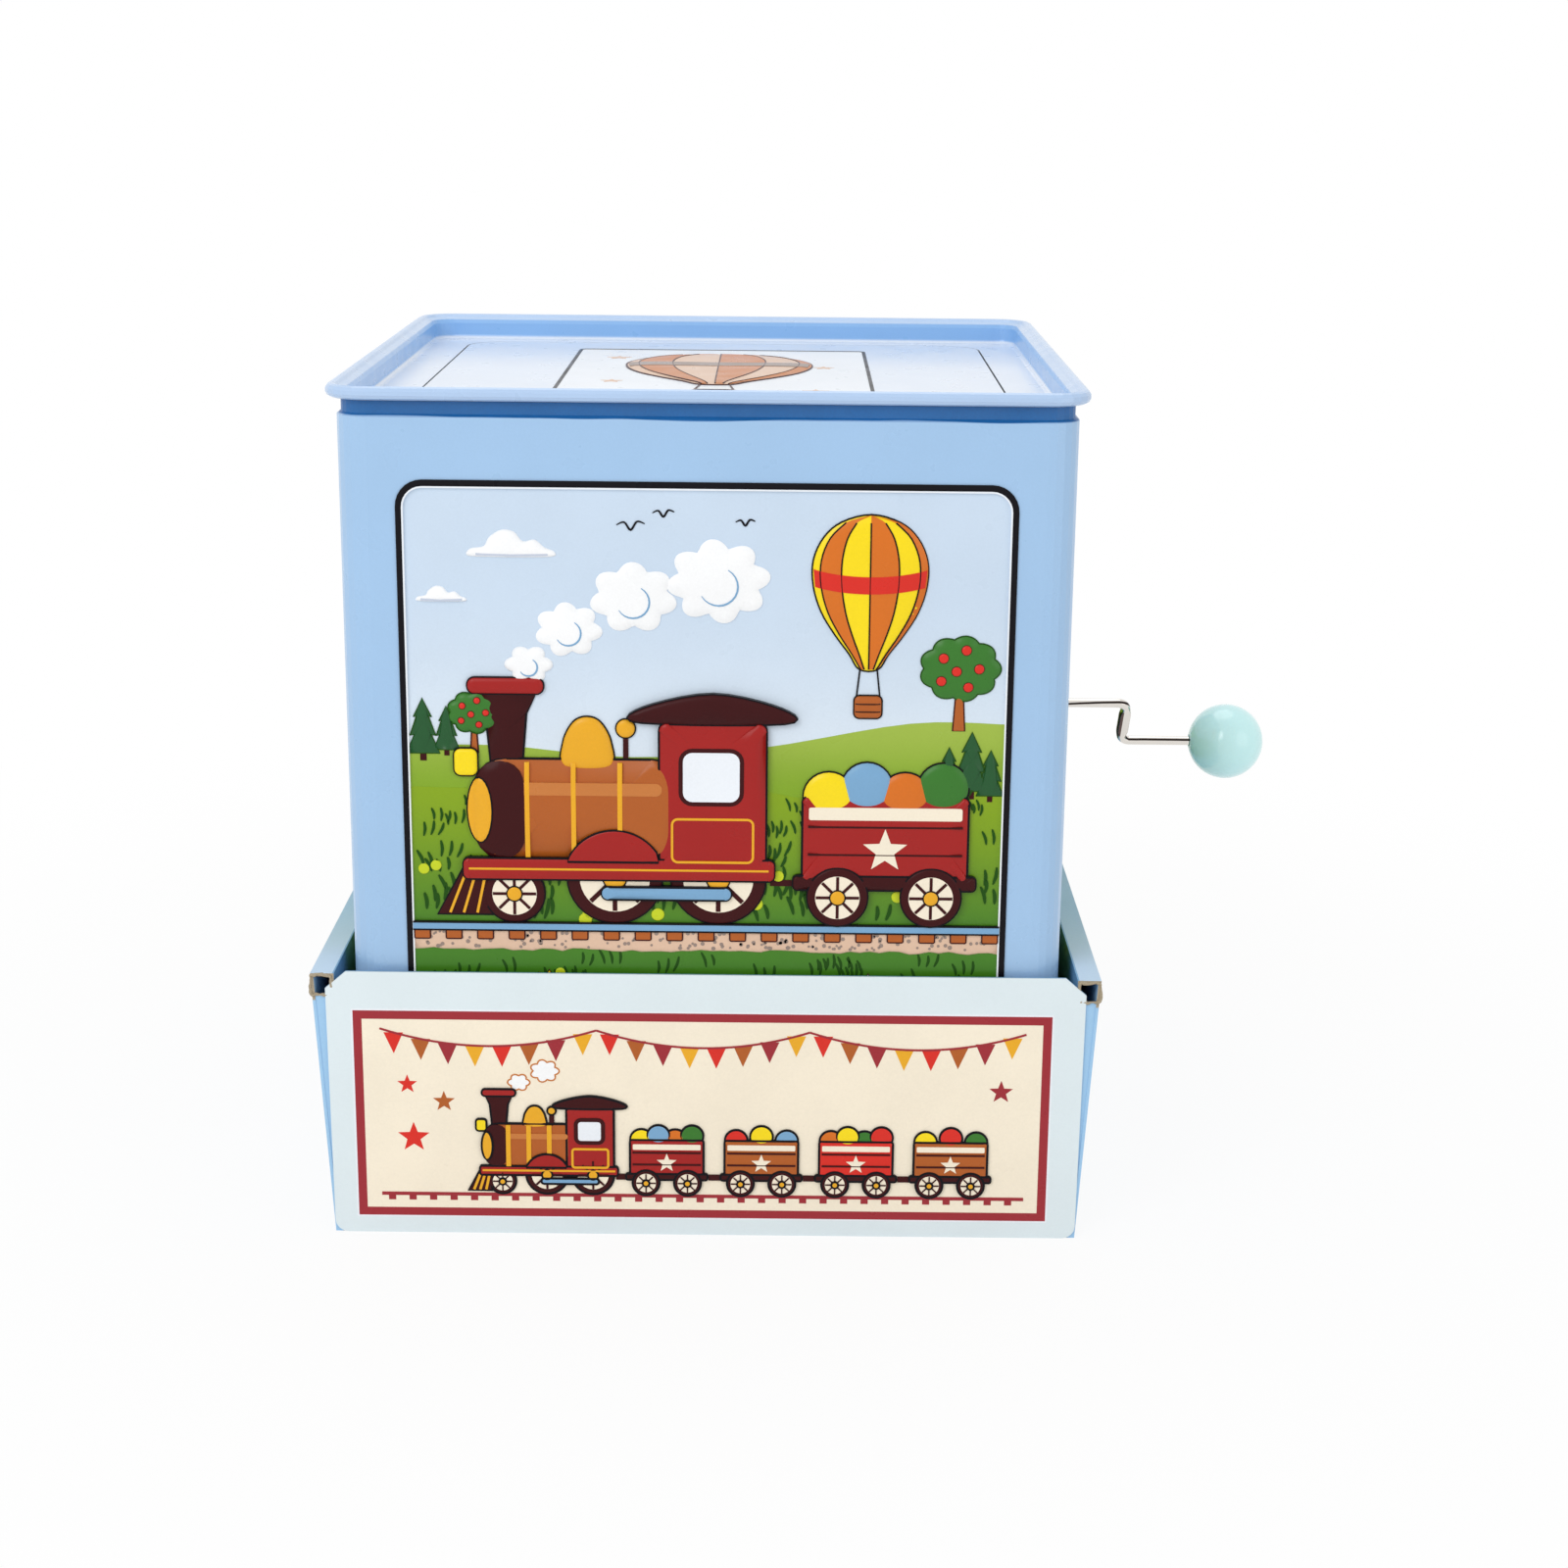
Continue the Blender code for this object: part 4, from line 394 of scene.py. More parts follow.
def case_finish():
    """Blue printed tin: a deep blue in the neck as painted shade under the bead, bare inside."""
    finish = Finish("printed_tin_blue", coat=TIN_COAT)
    neck_z = TIN_HIGH.z - NECK_HEIGHT
    over_neck = finish.math("SUBTRACT", finish.z, neck_z + 0.55 * MM)
    # The neck band is painted shade under the bead, with a wavy lower edge
    edge = finish.math("MULTIPLY_ADD", finish.noise(19 * MM, 1.0), 1.1 * MM, over_neck)
    in_neck = finish.band(edge, -0.1 * MM, 0.1 * MM)
    printed = finish.mix(in_neck, mottled(finish, TIN_BLUE), mottled(finish, NECK_SHADE_BLUE, 0.08))
    out = corner_distance(finish)
    inside = finish.fall(out, CASE_RADIUS - 0.08 * MM, CASE_RADIUS - 0.02 * MM)
    inside_neck = finish.fall(out, NECK_RADIUS - 0.08 * MM, NECK_RADIUS - 0.02 * MM)
    above = finish.band(finish.z, neck_z - 0.1 * MM, neck_z)
    bare = finish.math("MULTIPLY_ADD", above, finish.math("SUBTRACT", inside_neck, inside), inside)
    finish.colour(finish.mix(bare, printed, mottled(finish, BARE_TIN, 0.1)))
    finish.put(finish.shader.inputs["Metallic"], bare)
    return finish.rough(finish.math("MULTIPLY_ADD", in_neck, 0.3, varnish_gloss(finish))).material


def top_frame_finish():
    """The bead is pale, the recess wall blue with painted shade, and the ledge round the lid nearly white
    with a painted reflection.
    """
    finish = Finish("printed_tin_rim", coat=TIN_COAT)
    out = corner_distance(finish)
    on_bead = finish.band(out, 4.35 * MM, 4.6 * MM)
    on_ledge = finish.fall(finish.z, TOP_Z + 0.35 * MM, TOP_Z + 0.9 * MM)
    # Painted shade on the recess wall, and a painted reflection on the ledge round the lid
    inner = finish.mix(on_ledge, mottled(finish, RECESS_SHADE_BLUE), mottled(finish, TOP_REFLECTION_PALE))
    printed = finish.mix(on_bead, inner, mottled(finish, BEAD_BLUE))
    under = finish.fall(finish.z, TOP_Z - 0.3 * MM, TOP_Z - 0.2 * MM)
    hidden = finish.math("MULTIPLY", under, finish.fall(out, 4.2 * MM, 4.4 * MM))
    chips = finish.math("MULTIPLY", finish.fall(finish.cells(11 * MM), 0.0, 0.035), on_bead)
    finish.colour(finish.mix(hidden, finish.mix(chips, printed, CHIP_GREY), BARE_TIN))
    return finish.rough(varnish_gloss(finish)).material


def lid_finish():
    """The lid is printed on top and bare below. Its pale top colour is a painted reflection."""
    finish = Finish("printed_tin_pale", coat=TIN_COAT)
    above = finish.band(finish.z, TOP_Z - 0.25 * MM, TOP_Z - 0.15 * MM)
    # The lid's pale top colour is a painted reflection
    finish.colour(finish.mix(above, BARE_TIN, mottled(finish, TOP_REFLECTION_PALE)))
    return finish.rough(varnish_gloss(finish)).material


def bare_tin_finish(name="bare_tin", tone=(196, 194, 188), roughness=0.34):
    """Tinplate or zinc-plated steel, with rolling marks and handling smears."""
    finish = Finish(name, roughness, 1.0)
    finish.colour(varied(finish, srgb(*tone), 9 * MM, 4.0, 0.82, 1.06))
    rolled = finish.noise(1.6 * MM, 2.0, (1.0, 1.0, 14.0))
    finish.rough(finish.band(rolled, 0.25, 0.75, roughness - 0.08, roughness + 0.12))
    finish.bump(rolled, 0.01 * MM, 0.6)
    return finish.material


NICKEL = srgb(226, 221, 214)
# A painted dark reflection along the crank wire's flanks
DARK_REFLECTION = srgb(40, 32, 30)
ARM_SHADE = srgb(92, 76, 72)
ARM_FOOT = (81.8 * MM, 82.4 * MM)
ARM_TOP = (88.4 * MM, 89.0 * MM)


def crank_finish():
    """Bright nickel plate, with a painted dark reflection along the wire's lower and upper flanks, and a dark
    brown-grey face on the flattened arm.
    """
    finish = Finish("nickel_wire", 0.08, 1.0)
    # Painted dark reflection: a band by the surface's direction, which tilts along the wire
    streak = finish.band(finish.x, 66 * MM, 86 * MM, -0.3, 0.42)
    wavy = finish.math("MULTIPLY_ADD", finish.noise(4 * MM, 2.0), 0.16, streak)
    middle = finish.math("SUBTRACT", wavy, 0.08)
    off = finish.math("ABSOLUTE", finish.math("SUBTRACT", finish.facing()[2], middle))
    dark = finish.fall(off, 0.18, 0.28)
    on_arm = finish.math("MULTIPLY", finish.band(finish.z, *ARM_FOOT), finish.fall(finish.z, *ARM_TOP))
    near_side = finish.fall(finish.x, (CRANK_ARM_X - 0.35) * MM, (CRANK_ARM_X - 0.25) * MM)
    side = finish.math("MULTIPLY", near_side, on_arm)
    arm_only = finish.math("MULTIPLY", on_arm, finish.fall(finish.x, 89 * MM, 89.5 * MM))
    off_arm = finish.math("SUBTRACT", 1.0, arm_only)
    plated = varied(finish, NICKEL, 3 * MM, 3.0, 0.94, 1.0)
    with_reflection = finish.mix(finish.math("MULTIPLY", dark, off_arm), plated, DARK_REFLECTION)
    finish.colour(finish.mix(side, with_reflection, mottled(finish, ARM_SHADE, 0.1)))
    finish.rough(finish.wander(0.8 * MM, 2.0, 0.07, 0.14))
    return finish.material


def pile_finish(name, tone, deep=False):
    """Plush: the backing cloth is painted darker than the tips of the pile, as painted shade among the tufts.
    """
    finish = Finish(name, 0.95, sheen=0.0 if deep else 0.35, specular=PILE_SHINE)
    # Painted shade among the tufts: the backing is darkened
    colour = shade(srgb(*tone), 0.62 if deep else 1.0)
    finish.colour(varied(finish, colour, 4 * MM, 3.0, 0.86, 1.1))
    finish.bump(finish.noise(0.5 * MM, 3.0), 0.1 * MM, 0.8)
    return finish.material


def cloth_finish(name, tone, thread=0.45 * MM, sheen=0.3):
    """Plain weave with a brushed face, in the object's own coordinates."""
    finish = Finish(name, 0.95, sheen=sheen, specular=CLOTH_SHINE)
    colour = srgb(*tone)
    around = finish.math("MULTIPLY", finish.math("ARCTAN2", finish.y, finish.x), CLOTH_RADIUS)
    warp = finish.stripes(around, thread)
    weft = finish.stripes(finish.z, thread)
    weave = finish.math("ABSOLUTE", finish.math("SUBTRACT", warp, weft))
    worn = varied(finish, colour, 7 * MM, 4.0, 0.8, 1.12)
    nap = finish.noise(0.9 * MM, 4.0)
    napped = finish.mix(finish.band(nap, 0.35, 0.7), worn, shade(colour, 0.55))
    finish.colour(finish.mix(finish.math("MULTIPLY", weave, 0.35), napped, shade(colour, 0.6)))
    finish.bump(weave, 0.12 * MM, 0.8)
    finish.bump(nap, 0.16 * MM, 0.8)
    return finish.material


def wire_finish(name, tone, roughness):
    """Drawn and plated wire, nearly mirror bright."""
    finish = Finish(name, roughness, 1.0)
    finish.colour(varied(finish, srgb(*tone), 3 * MM, 3.0, 0.9, 1.0))
    finish.rough(finish.wander(0.8 * MM, 2.0, roughness, roughness + 0.1))
    finish.bump(finish.noise(0.5 * MM, 1.0), 0.004 * MM, 0.4)
    return finish.material


def plastic_finish(name, tone, roughness, coat=0.0, spread=0.03):
    finish = Finish(name, roughness, coat=coat)
    finish.colour(mottled(finish, srgb(*tone), spread))
    finish.rough(finish.wander(2.5 * MM, 2.0, roughness, roughness + 0.08))
    finish.bump(finish.noise(3.5 * MM, 1.0), 0.01 * MM, 0.4)
    return finish.material


PANEL_PALE = srgb(224, 236, 240)
WALL_BLUE = srgb(160, 202, 236)
# A painted highlight on the walls' top folds, and painted shade on their inner faces
WALL_FOLD_HIGHLIGHT = srgb(222, 236, 248)
WALL_INNER_SHADE = srgb(118, 168, 204)
WALL_DEEP_SHADE = srgb(40, 78, 118)
RAW_CARD = srgb(170, 156, 132)
WALL_SLOPE = 0.0075


def raw_card(finish):
    """The grey core of the card, in layers."""
    layers = finish.noise(0.35 * MM, 2.0, (1.0, 4.0, 1.0))
    return finish.mix(layers, shade(RAW_CARD, 0.55), shade(RAW_CARD, 1.4))


def torn_card_finish():
    """The unprinted inside of the card, where it curls at its cut edges."""
    finish = Finish("raw_card_edge", 0.8)
    finish.colour(raw_card(finish))
    finish.bump(finish.noise(0.4 * MM, 3.0), 0.05 * MM, 0.8)
    return finish.material


def card_finish():
    """Printed folding card: pale front and back, bluer side walls, raw where it is cut. The walls' inner
    faces are darkened with painted shade, deepest towards the foot, and their top folds carry a painted
    highlight that fades towards the back.
    """
    finish = Finish("printed_card", 0.55)
    depth = finish.math("ABSOLUTE", finish.y)
    front = -TRAY_FRONT_Y
    on_panel = finish.band(depth, front - 0.28 * MM, front - 0.22 * MM)
    # Painted shade on the walls' inner faces, darkest low down
    inner = finish.mix(finish.band(finish.z, 22 * MM, 52 * MM), WALL_DEEP_SHADE, WALL_INNER_SHADE)
    inner_face = finish.math("MULTIPLY_ADD", finish.z, WALL_SLOPE, WALL_INNER_X + 0.3 * MM)
    faces_in = finish.math("LESS_THAN", finish.math("ABSOLUTE", finish.x), inner_face)
    # A painted highlight along the walls' top folds, strongest at the front
    fold = finish.math("MULTIPLY", finish.band(finish.z, WALL_TOP_Z - 0.9 * MM, WALL_TOP_Z - 0.2 * MM), 0.6)
    fold_highlight = finish.math("MULTIPLY", finish.band(finish.y, -62 * MM, -20 * MM, 1.0, 0.25), fold)
    outer = finish.mix(fold_highlight, mottled(finish, WALL_BLUE, 0.03), WALL_FOLD_HIGHLIGHT)
    walls = finish.mix(faces_in, outer, inner)
    printed = finish.mix(on_panel, walls, mottled(finish, PANEL_PALE, 0.015))
    facing_y = finish.math("ABSOLUTE", finish.facing("True Normal")[1])
    end = finish.band(facing_y, 0.6, 0.8)
    end = finish.math("MULTIPLY", end, finish.band(depth, front - 0.45 * MM, front - 0.4 * MM))
    end = finish.math("MULTIPLY", end, finish.fall(depth, front - 0.2 * MM, front - 0.15 * MM))
    end = finish.math("MULTIPLY", end, finish.band(finish.z, WALL_TOP_Z - 5.6 * MM, WALL_TOP_Z - 5.2 * MM))
    edge = finish.math("MULTIPLY", finish.fall(facing_y, 0.2, 0.4), on_panel)
    raw = raw_card(finish)
    printed = finish.mix(finish.math("MULTIPLY", edge, 0.15), printed, raw)
    finish.colour(finish.mix(end, printed, raw))
    fibres = finish.noise(0.5 * MM, 4.0, (1.0, 1.0, 0.45))
    finish.rough(finish.band(fibres, 0.3, 0.7, 0.48, 0.62))
    finish.bump(finish.noise(30 * MM, 1.0), 0.5 * MM, 0.4)
    finish.bump(fibres, 0.012 * MM, 0.5)
    return finish.material


INK_TONES = {
    "black": (16, 14, 20),
    "white": (250, 251, 252),
    "cloud_shade": (196, 204, 220),
    "cream": (248, 237, 215),
    "yellow": (250, 221, 12),
    "gold": (236, 172, 30),
    "orange": (216, 112, 24),
    "orange_brown": (178, 92, 30),
    "light_brown": (200, 122, 58),
    "tan": (224, 190, 164),
    "taupe": (150, 132, 122),
    "red": (163, 20, 16),
    "bright_red": (219, 40, 26),
    "border_red": (158, 38, 48),
    "brown": (62, 18, 20),
    "soft_white": (238, 243, 249),
    "steel_blue": (122, 168, 206),
    "leaf": (52, 118, 36),
    "dark_leaf": (26, 84, 40),
    "grass": (34, 78, 16),
    "lime": (198, 212, 30),
}

# The tone at the foot and at the top, and the heights between which it fades
FADING_TONES = {
    "sky": ((222, 233, 243), (203, 220, 238), 84.0, 130.0),
    "far_hill": ((128, 166, 30), (160, 186, 70), 88.0, 103.0),
    "mid_hill": ((66, 126, 26), (134, 166, 14), 58.0, 92.0),
    "meadow": ((46, 100, 24), (66, 126, 26), 20.0, 58.0),
}

DARK_INKS = ("black", "brown", "grass")
DARK_SHINE = 0.12
INK_SHINE = 0.32

inks = {}


def ink(name):
    """A printed colour under the tin's varnish, flat or fading with height."""
    if name not in inks:
        finish = Finish(f"ink_{name}", 0.3, specular=DARK_SHINE if name in DARK_INKS else INK_SHINE)
        if name in FADING_TONES:
            foot, top, foot_z, top_z = FADING_TONES[name]
            up = finish.band(finish.z, foot_z * MM, top_z * MM)
            foot, top = mottled(finish, srgb(*foot), 0.03), mottled(finish, srgb(*top), 0.02)
            finish.colour(finish.mix(up, foot, top))
        else:
            finish.colour(mottled(finish, srgb(*INK_TONES[name]), 0.03))
        inks[name] = finish.rough(varnish_gloss(finish)).material
    return inks[name]


# Drawing in the plane: outlines are arrays of points in millimetres, anticlockwise


def circle(x, y, radius, steps=36):
    return oval(x, y, radius, radius, steps)


def oval(x, y, half_x, half_y, steps=36):
    turns = np.linspace(0, math.tau, steps, endpoint=False)
    return np.stack([x + half_x * np.cos(turns), y + half_y * np.sin(turns)], 1)


def arc(x, y, radius, start, end, steps=12):
    turns = np.radians(np.linspace(start, end, steps + 1))
    return np.stack([x + radius * np.cos(turns), y + radius * np.sin(turns)], 1)


def panel(x0, y0, x1, y1, radius=0.0, steps=5):
    """A rectangle, with round corners if a radius is given."""
    if radius <= 0:
        return np.array([(x0, y0), (x1, y0), (x1, y1), (x0, y1)], float)
    corners = ((x1, y0, -90), (x1, y1, 0), (x0, y1, 90), (x0, y0, 180))
    loops = []
    for x, y, start in corners:
        inner_x = x - math.copysign(radius, x - (x0 + x1) / 2)
        inner_y = y - math.copysign(radius, y - (y0 + y1) / 2)
        loops.append(arc(inner_x, inner_y, radius, start, start + 90, steps))
    return np.concatenate(loops)


def curve(points, closed=True, steps=6):
    """A smooth line through points (Catmull-Rom)."""
    points = np.array(points, float)
    count = len(points)
    shares = np.linspace(0, 1, steps, endpoint=False)[:, None]
    out = []
    for index in range(count if closed else count - 1):
        if closed:
            a, b, c, d = (points[(index + shift) % count] for shift in (-1, 0, 1, 2))
        else:
            a, b, c, d = (points[min(max(index + shift, 0), count - 1)] for shift in (-1, 0, 1, 2))
        out.append(
            0.5
            * (
                2 * b
                + (c - a) * shares
                + (2 * a - 5 * b + 4 * c - d) * shares**2
                + (3 * b - a - 3 * c + d) * shares**3
            )
        )
    if not closed:
        out.append(points[-1:])
    return np.concatenate(out)


def puff(x, y, radius, bumps=7, swell=0.13, turn=0.0):
    """A scalloped round cloud of steam."""
    turns = np.linspace(0, math.tau, bumps * 10, endpoint=False)
    reach = radius * (1 - swell + 2 * swell * np.abs(np.cos(bumps * (turns + turn) / 2)))
    return np.stack([x + reach * np.cos(turns), y + 0.82 * reach * np.sin(turns)], 1)


def star(x, y, radius, turn=90.0):
    points = []
    for step in range(10):
        reach = radius if step % 2 == 0 else radius * 0.42
        angle = math.radians(turn + 36 * step)
        points.append((x + reach * math.cos(angle), y + reach * math.sin(angle)))
    return np.array(points)


def anticlockwise(outline):
    x, y = outline[:, 0], outline[:, 1]
    area = np.sum(x * np.roll(y, -1) - y * np.roll(x, -1))
    return outline if area > 0 else outline[::-1]


def edge_distance(points, outline):
    start = outline
    run = np.roll(outline, -1, axis=0) - start
    away = points[:, None, :] - start[None]
    along = np.clip((away * run).sum(-1) / np.maximum((run * run).sum(-1), 1e-12), 0, 1)
    return np.linalg.norm(away - along[..., None] * run, axis=-1).min(1)


def is_inside(points, outline):
    x, y = points[:, 0][:, None], points[:, 1][:, None]
    x0, y0 = outline[:, 0], outline[:, 1]
    x1, y1 = np.roll(x0, -1), np.roll(y0, -1)
    crosses = (y0 > y) != (y1 > y)
    height = np.where(y1 == y0, 1e-12, y1 - y0)
    return (crosses & (x < (x1 - x0) * (y - y0) / height + x0)).sum(1) % 2 == 1


def runs_along(path, closed):
    """Unit vectors along a path, at each of its points."""
    before, after = np.roll(path, 1, axis=0), np.roll(path, -1, axis=0)
    if not closed:
        before[0], after[-1] = path[0], path[-1]
    runs = after - before
    return runs / np.maximum(np.linalg.norm(runs, axis=1), 1e-9)[:, None]


def left_of(path, closed):
    """Unit vectors to the left of a path in the plane, which point into an anticlockwise outline."""
    runs = runs_along(path, closed)
    return np.stack([-runs[:, 1], runs[:, 0]], 1)


def resampled(path, step, closed):
    """The same path with no segment longer than a step."""
    ends = np.roll(path, -1, axis=0) if closed else path[1:]
    out = []
    for start, end in zip(path, ends):
        count = max(int(math.ceil(np.linalg.norm(end - start) / step)), 1)
        out.append(start + (end - start) * np.linspace(0, 1, count, endpoint=False)[:, None])
    if not closed:
        out.append(path[-1:])
    return np.concatenate(out)


class Relief:
    """A shape's height over the tin: an even lift, and a rounded swell that rolls up from its edge."""

    def __init__(self, outline, lift, rise, roll, on):
        self.outline = anticlockwise(np.array(outline, float))
        if on:
            self.outline = resampled(self.outline, 2 * ON_STEP, True)
            lift += ON_LIFT
        self.lift = lift
        self.rise = rise
        self.roll = roll
        self.on = on

    def height(self, points):
        under = self.on.height(points) if self.on else 0.0
        if not self.rise:
            return under + self.lift + np.zeros(len(points))
        depth = np.where(is_inside(points, self.outline), edge_distance(points, self.outline), 0.0)
        share = np.clip(depth / self.roll, 0, 1)
        return under + self.lift + self.rise * np.sqrt(1 - (1 - share) ** 2)

    def points(self, spacing):
        """The outline and, where the shape swells, rings and a grid inside it."""
        found = [self.outline]
        if self.rise:
            for share in EMBOSS_RINGS:
                ring = self.outline + left_of(self.outline, True) * (self.roll * share)
                deep = edge_distance(ring, self.outline) > self.roll * share * RING_CLEAR
                found.append(ring[deep & is_inside(ring, self.outline)])
        if self.rise or self.on:
            low, high = self.outline.min(0), self.outline.max(0)
            columns = np.arange(low[0] + spacing / 2, high[0], spacing)
            rows = np.arange(low[1] + spacing / 2, high[1], spacing)
            grid = np.stack(np.meshgrid(columns, rows), -1).reshape(-1, 2)
            if len(grid):
                clear = self.roll * GRID_CLEAR if self.rise else spacing * FLAT_CLEAR
                keep = is_inside(grid, self.outline) & (edge_distance(grid, self.outline) > clear)
                found.append(grid[keep])
        if self.on and len(self.on.samples):
            under = self.on.samples
            keep = is_inside(under, self.outline) & (edge_distance(under, self.outline) > EDGE_CLEAR)
            found.append(under[keep])
        self.samples = np.concatenate(found)
        return self.samples


def new_object(name, data):
    made = bpy.data.objects.new(name, data)
    bpy.context.collection.objects.link(made)
    return made


class Shell:
    """A mesh piece while its corners, in millimetres, and its faces are being gathered.

    A piece that bends between two bodies has no body of its own."""

    def __init__(self, name, body=None):
        self.name = name
        self.body = body
        self.corners = []
        self.faces = []
        self.slots = []
        self.materials = []

    def slot(self, material):
        if material not in self.materials:
            self.materials.append(material)
        return self.materials.index(material)

    def add_points(self, points):
        start = len(self.corners)
        self.corners += [tuple(point) for point in points]
        return start

    def add_faces(self, faces, material, start=0):
        self.faces += [[start + index for index in face] for face in faces] if start else faces
        self.slots += [self.slot(material)] * len(faces)

    def add(self, points, faces, material):
        self.add_faces(faces, material, self.add_points(points))

    def finish(self, slot_name, sharp=SHARP):
        mesh = bpy.data.meshes.new(self.name)
        mesh.from_pydata(np.array(self.corners) * MM, [], self.faces)
        for material in self.materials:
            mesh.materials.append(material)
        mesh.polygons.foreach_set("material_index", self.slots)
        mesh.shade_smooth()
        mesh.set_sharp_from_angle(angle=sharp)
        mesh.validate()
        piece = new_object(self.name, mesh)
        if self.body:
            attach(piece, self.body)
        return piece


class Sheet(Shell):
    """A printed picture, as closed shapes of ink that stand on one flat face."""

    def __init__(self, name, place, body):
        super().__init__(name, body)
        self.place = place

    def add_corners(self, points, heights):
        return self.add_points([self.place(u, v, h) for (u, v), h in zip(points, heights)])

    def fill(self, outline, tone, level=1, rise=0.0, roll=1.0, lift=0.0, on=None, spacing=2.4):
        """A closed shape of ink: a flat or swelling top, upright sides and a flat foot."""
        shape = Relief(outline, lift + level * INK, rise, roll, on)
        points = shape.points(spacing)
        count = len(shape.outline)
        made = delaunay_2d_cdt([Vector(p) for p in points], [], [list(range(count))], 1, 1e-5)
        flat = np.array([tuple(p) for p in made[0]])
        top = self.add_corners(flat, shape.height(flat))
        places = {source: index for index, sources in enumerate(made[3]) for source in sources}
        rim = [places[index] for index in range(count)]
        rim = [spot for index, spot in enumerate(rim) if spot != rim[index - 1]]
        bottom = self.add_corners(flat[rim], np.zeros(len(rim)))
        faces = []
        for face in made[2]:
            a, b, c = (flat[index] for index in face[:3])
            turn = (b[0] - a[0]) * (c[1] - a[1]) - (b[1] - a[1]) * (c[0] - a[0])
            faces.append([top + index for index in (face if turn > 0 else face[::-1])])
        for index in range(len(rim)):
            after = (index + 1) % len(rim)
            faces.append([bottom + index, bottom + after, top + rim[after], top + rim[index]])
        faces.append([bottom + index for index in reversed(range(len(rim)))])
        self.add_faces(faces, ink(tone))
        return shape

    def line(self, path, tone, width=LINE, level=2, closed=False, on=None, lift=0.0, taper=False):
        """A raised line along a path, rounded over, which follows the relief it lies on."""
        path = np.array(path, float)
        if on:
            path = resampled(path, ON_STEP, closed)
        side = left_of(path, closed)
        half = np.full(len(path), width / 2)
        if taper:
            half *= np.sin(np.linspace(0.15, math.pi * 0.92, len(path))) ** 0.6
        starts = []
        for across, top in LINE_SECTION:
            points = path + side * (half * across)[:, None]
            under = on.height(path) if on else np.zeros(len(path))
            heights = (under + lift + level * INK + INK * top) if top else np.zeros(len(path))
            starts.append(self.add_corners(points, heights))
        faces = []
        sections = len(path) if closed else len(path) - 1
        for index in range(sections):
            nxt = (index + 1) % len(path)
            for near, far in zip(starts, starts[1:] + starts[:1]):
                faces.append([near + index, near + nxt, far + nxt, far + index])
        if not closed:
            faces.append(list(starts))
            faces.append([start + len(path) - 1 for start in reversed(starts)])
        self.add_faces(faces, ink(tone))

    def shape(self, outline, tone, level=1, edge="black", width=LINE, **relief):
        """A filled shape with its outline drawn round it."""
        made = self.fill(outline, tone, level, **relief)
        self.line(made.outline, edge, width, level, True, relief.get("on"), relief.get("lift", 0.0))
        return made


class Pen:
    """Draws on a sheet at another place and scale, and with more or less relief."""

    def __init__(self, sheet, x=0.0, y=0.0, scale=1.0, level=0, relief=1.0):
        self.sheet = sheet
        self.origin = np.array((x, y))
        self.scale = scale
        self.level = level
        self.relief = relief

    def to_sheet(self, points):
        return np.array(points, float) * self.scale + self.origin

    def sizes(self, relief):
        factors = {"rise": self.relief, "lift": self.relief, "roll": self.scale, "spacing": self.scale}
        return {name: value * factors[name] if name in factors else value for name, value in relief.items()}

    def fill(self, outline, tone, level=1, **relief):
        return self.sheet.fill(self.to_sheet(outline), tone, self.level + level, **self.sizes(relief))

    def shape(self, outline, tone, level=1, edge="black", width=LINE, **relief):
        sized = self.sizes(relief)
        return self.sheet.shape(self.to_sheet(outline), tone, self.level + level, edge, width, **sized)

    def line(self, path, tone, width=LINE, level=2, **settings):
        self.sheet.line(self.to_sheet(path), tone, width, self.level + level, **self.sizes(settings))


# Faces that pictures stand on: u to the right and v up, as one looks at the face


def on_front(u, v, h):
    return Vector((u, -TIN_HALF / MM - h, v))


def on_back(u, v, h):
    return Vector((-u, TIN_HALF / MM + h, v))


def on_right(u, v, h):
    return Vector((TIN_HALF / MM + h, u, v))


def on_left(u, v, h):
    return Vector((-TIN_HALF / MM - h, -u, v))


def on_lid(u, v, h):
    return Vector((u, v, TOP_Z / MM + h))


def on_tray(u, v, h):
    return Vector((u, TRAY_FRONT_Y / MM - h, v))


# Motifs, in millimetres at scale 1. A level is a coat of ink: the higher one lies in front

WHEEL_SPOKES = 8


def draw_wheel(pen, x, radius, level=12, lift=0.75):
    """A spoked wheel that stands on the rail."""
    y = radius
    tyre = pen.shape(circle(x, y, radius), "brown", level, rise=0.3, roll=0.7, lift=lift)
    face = pen.fill(circle(x, y, radius * 0.74), "cream", 1, on=tyre)
    for spoke in range(WHEEL_SPOKES):
        angle = math.tau * spoke / WHEEL_SPOKES
        tip = (x + radius * 0.72 * math.cos(angle), y + radius * 0.72 * math.sin(angle))
        pen.line([(x, y), tip], "brown", radius * 0.1 * pen.scale, 1, on=face)
    pen.shape(circle(x, y, radius * 0.24, 20), "gold", 3, on=face, rise=0.25, roll=0.8)


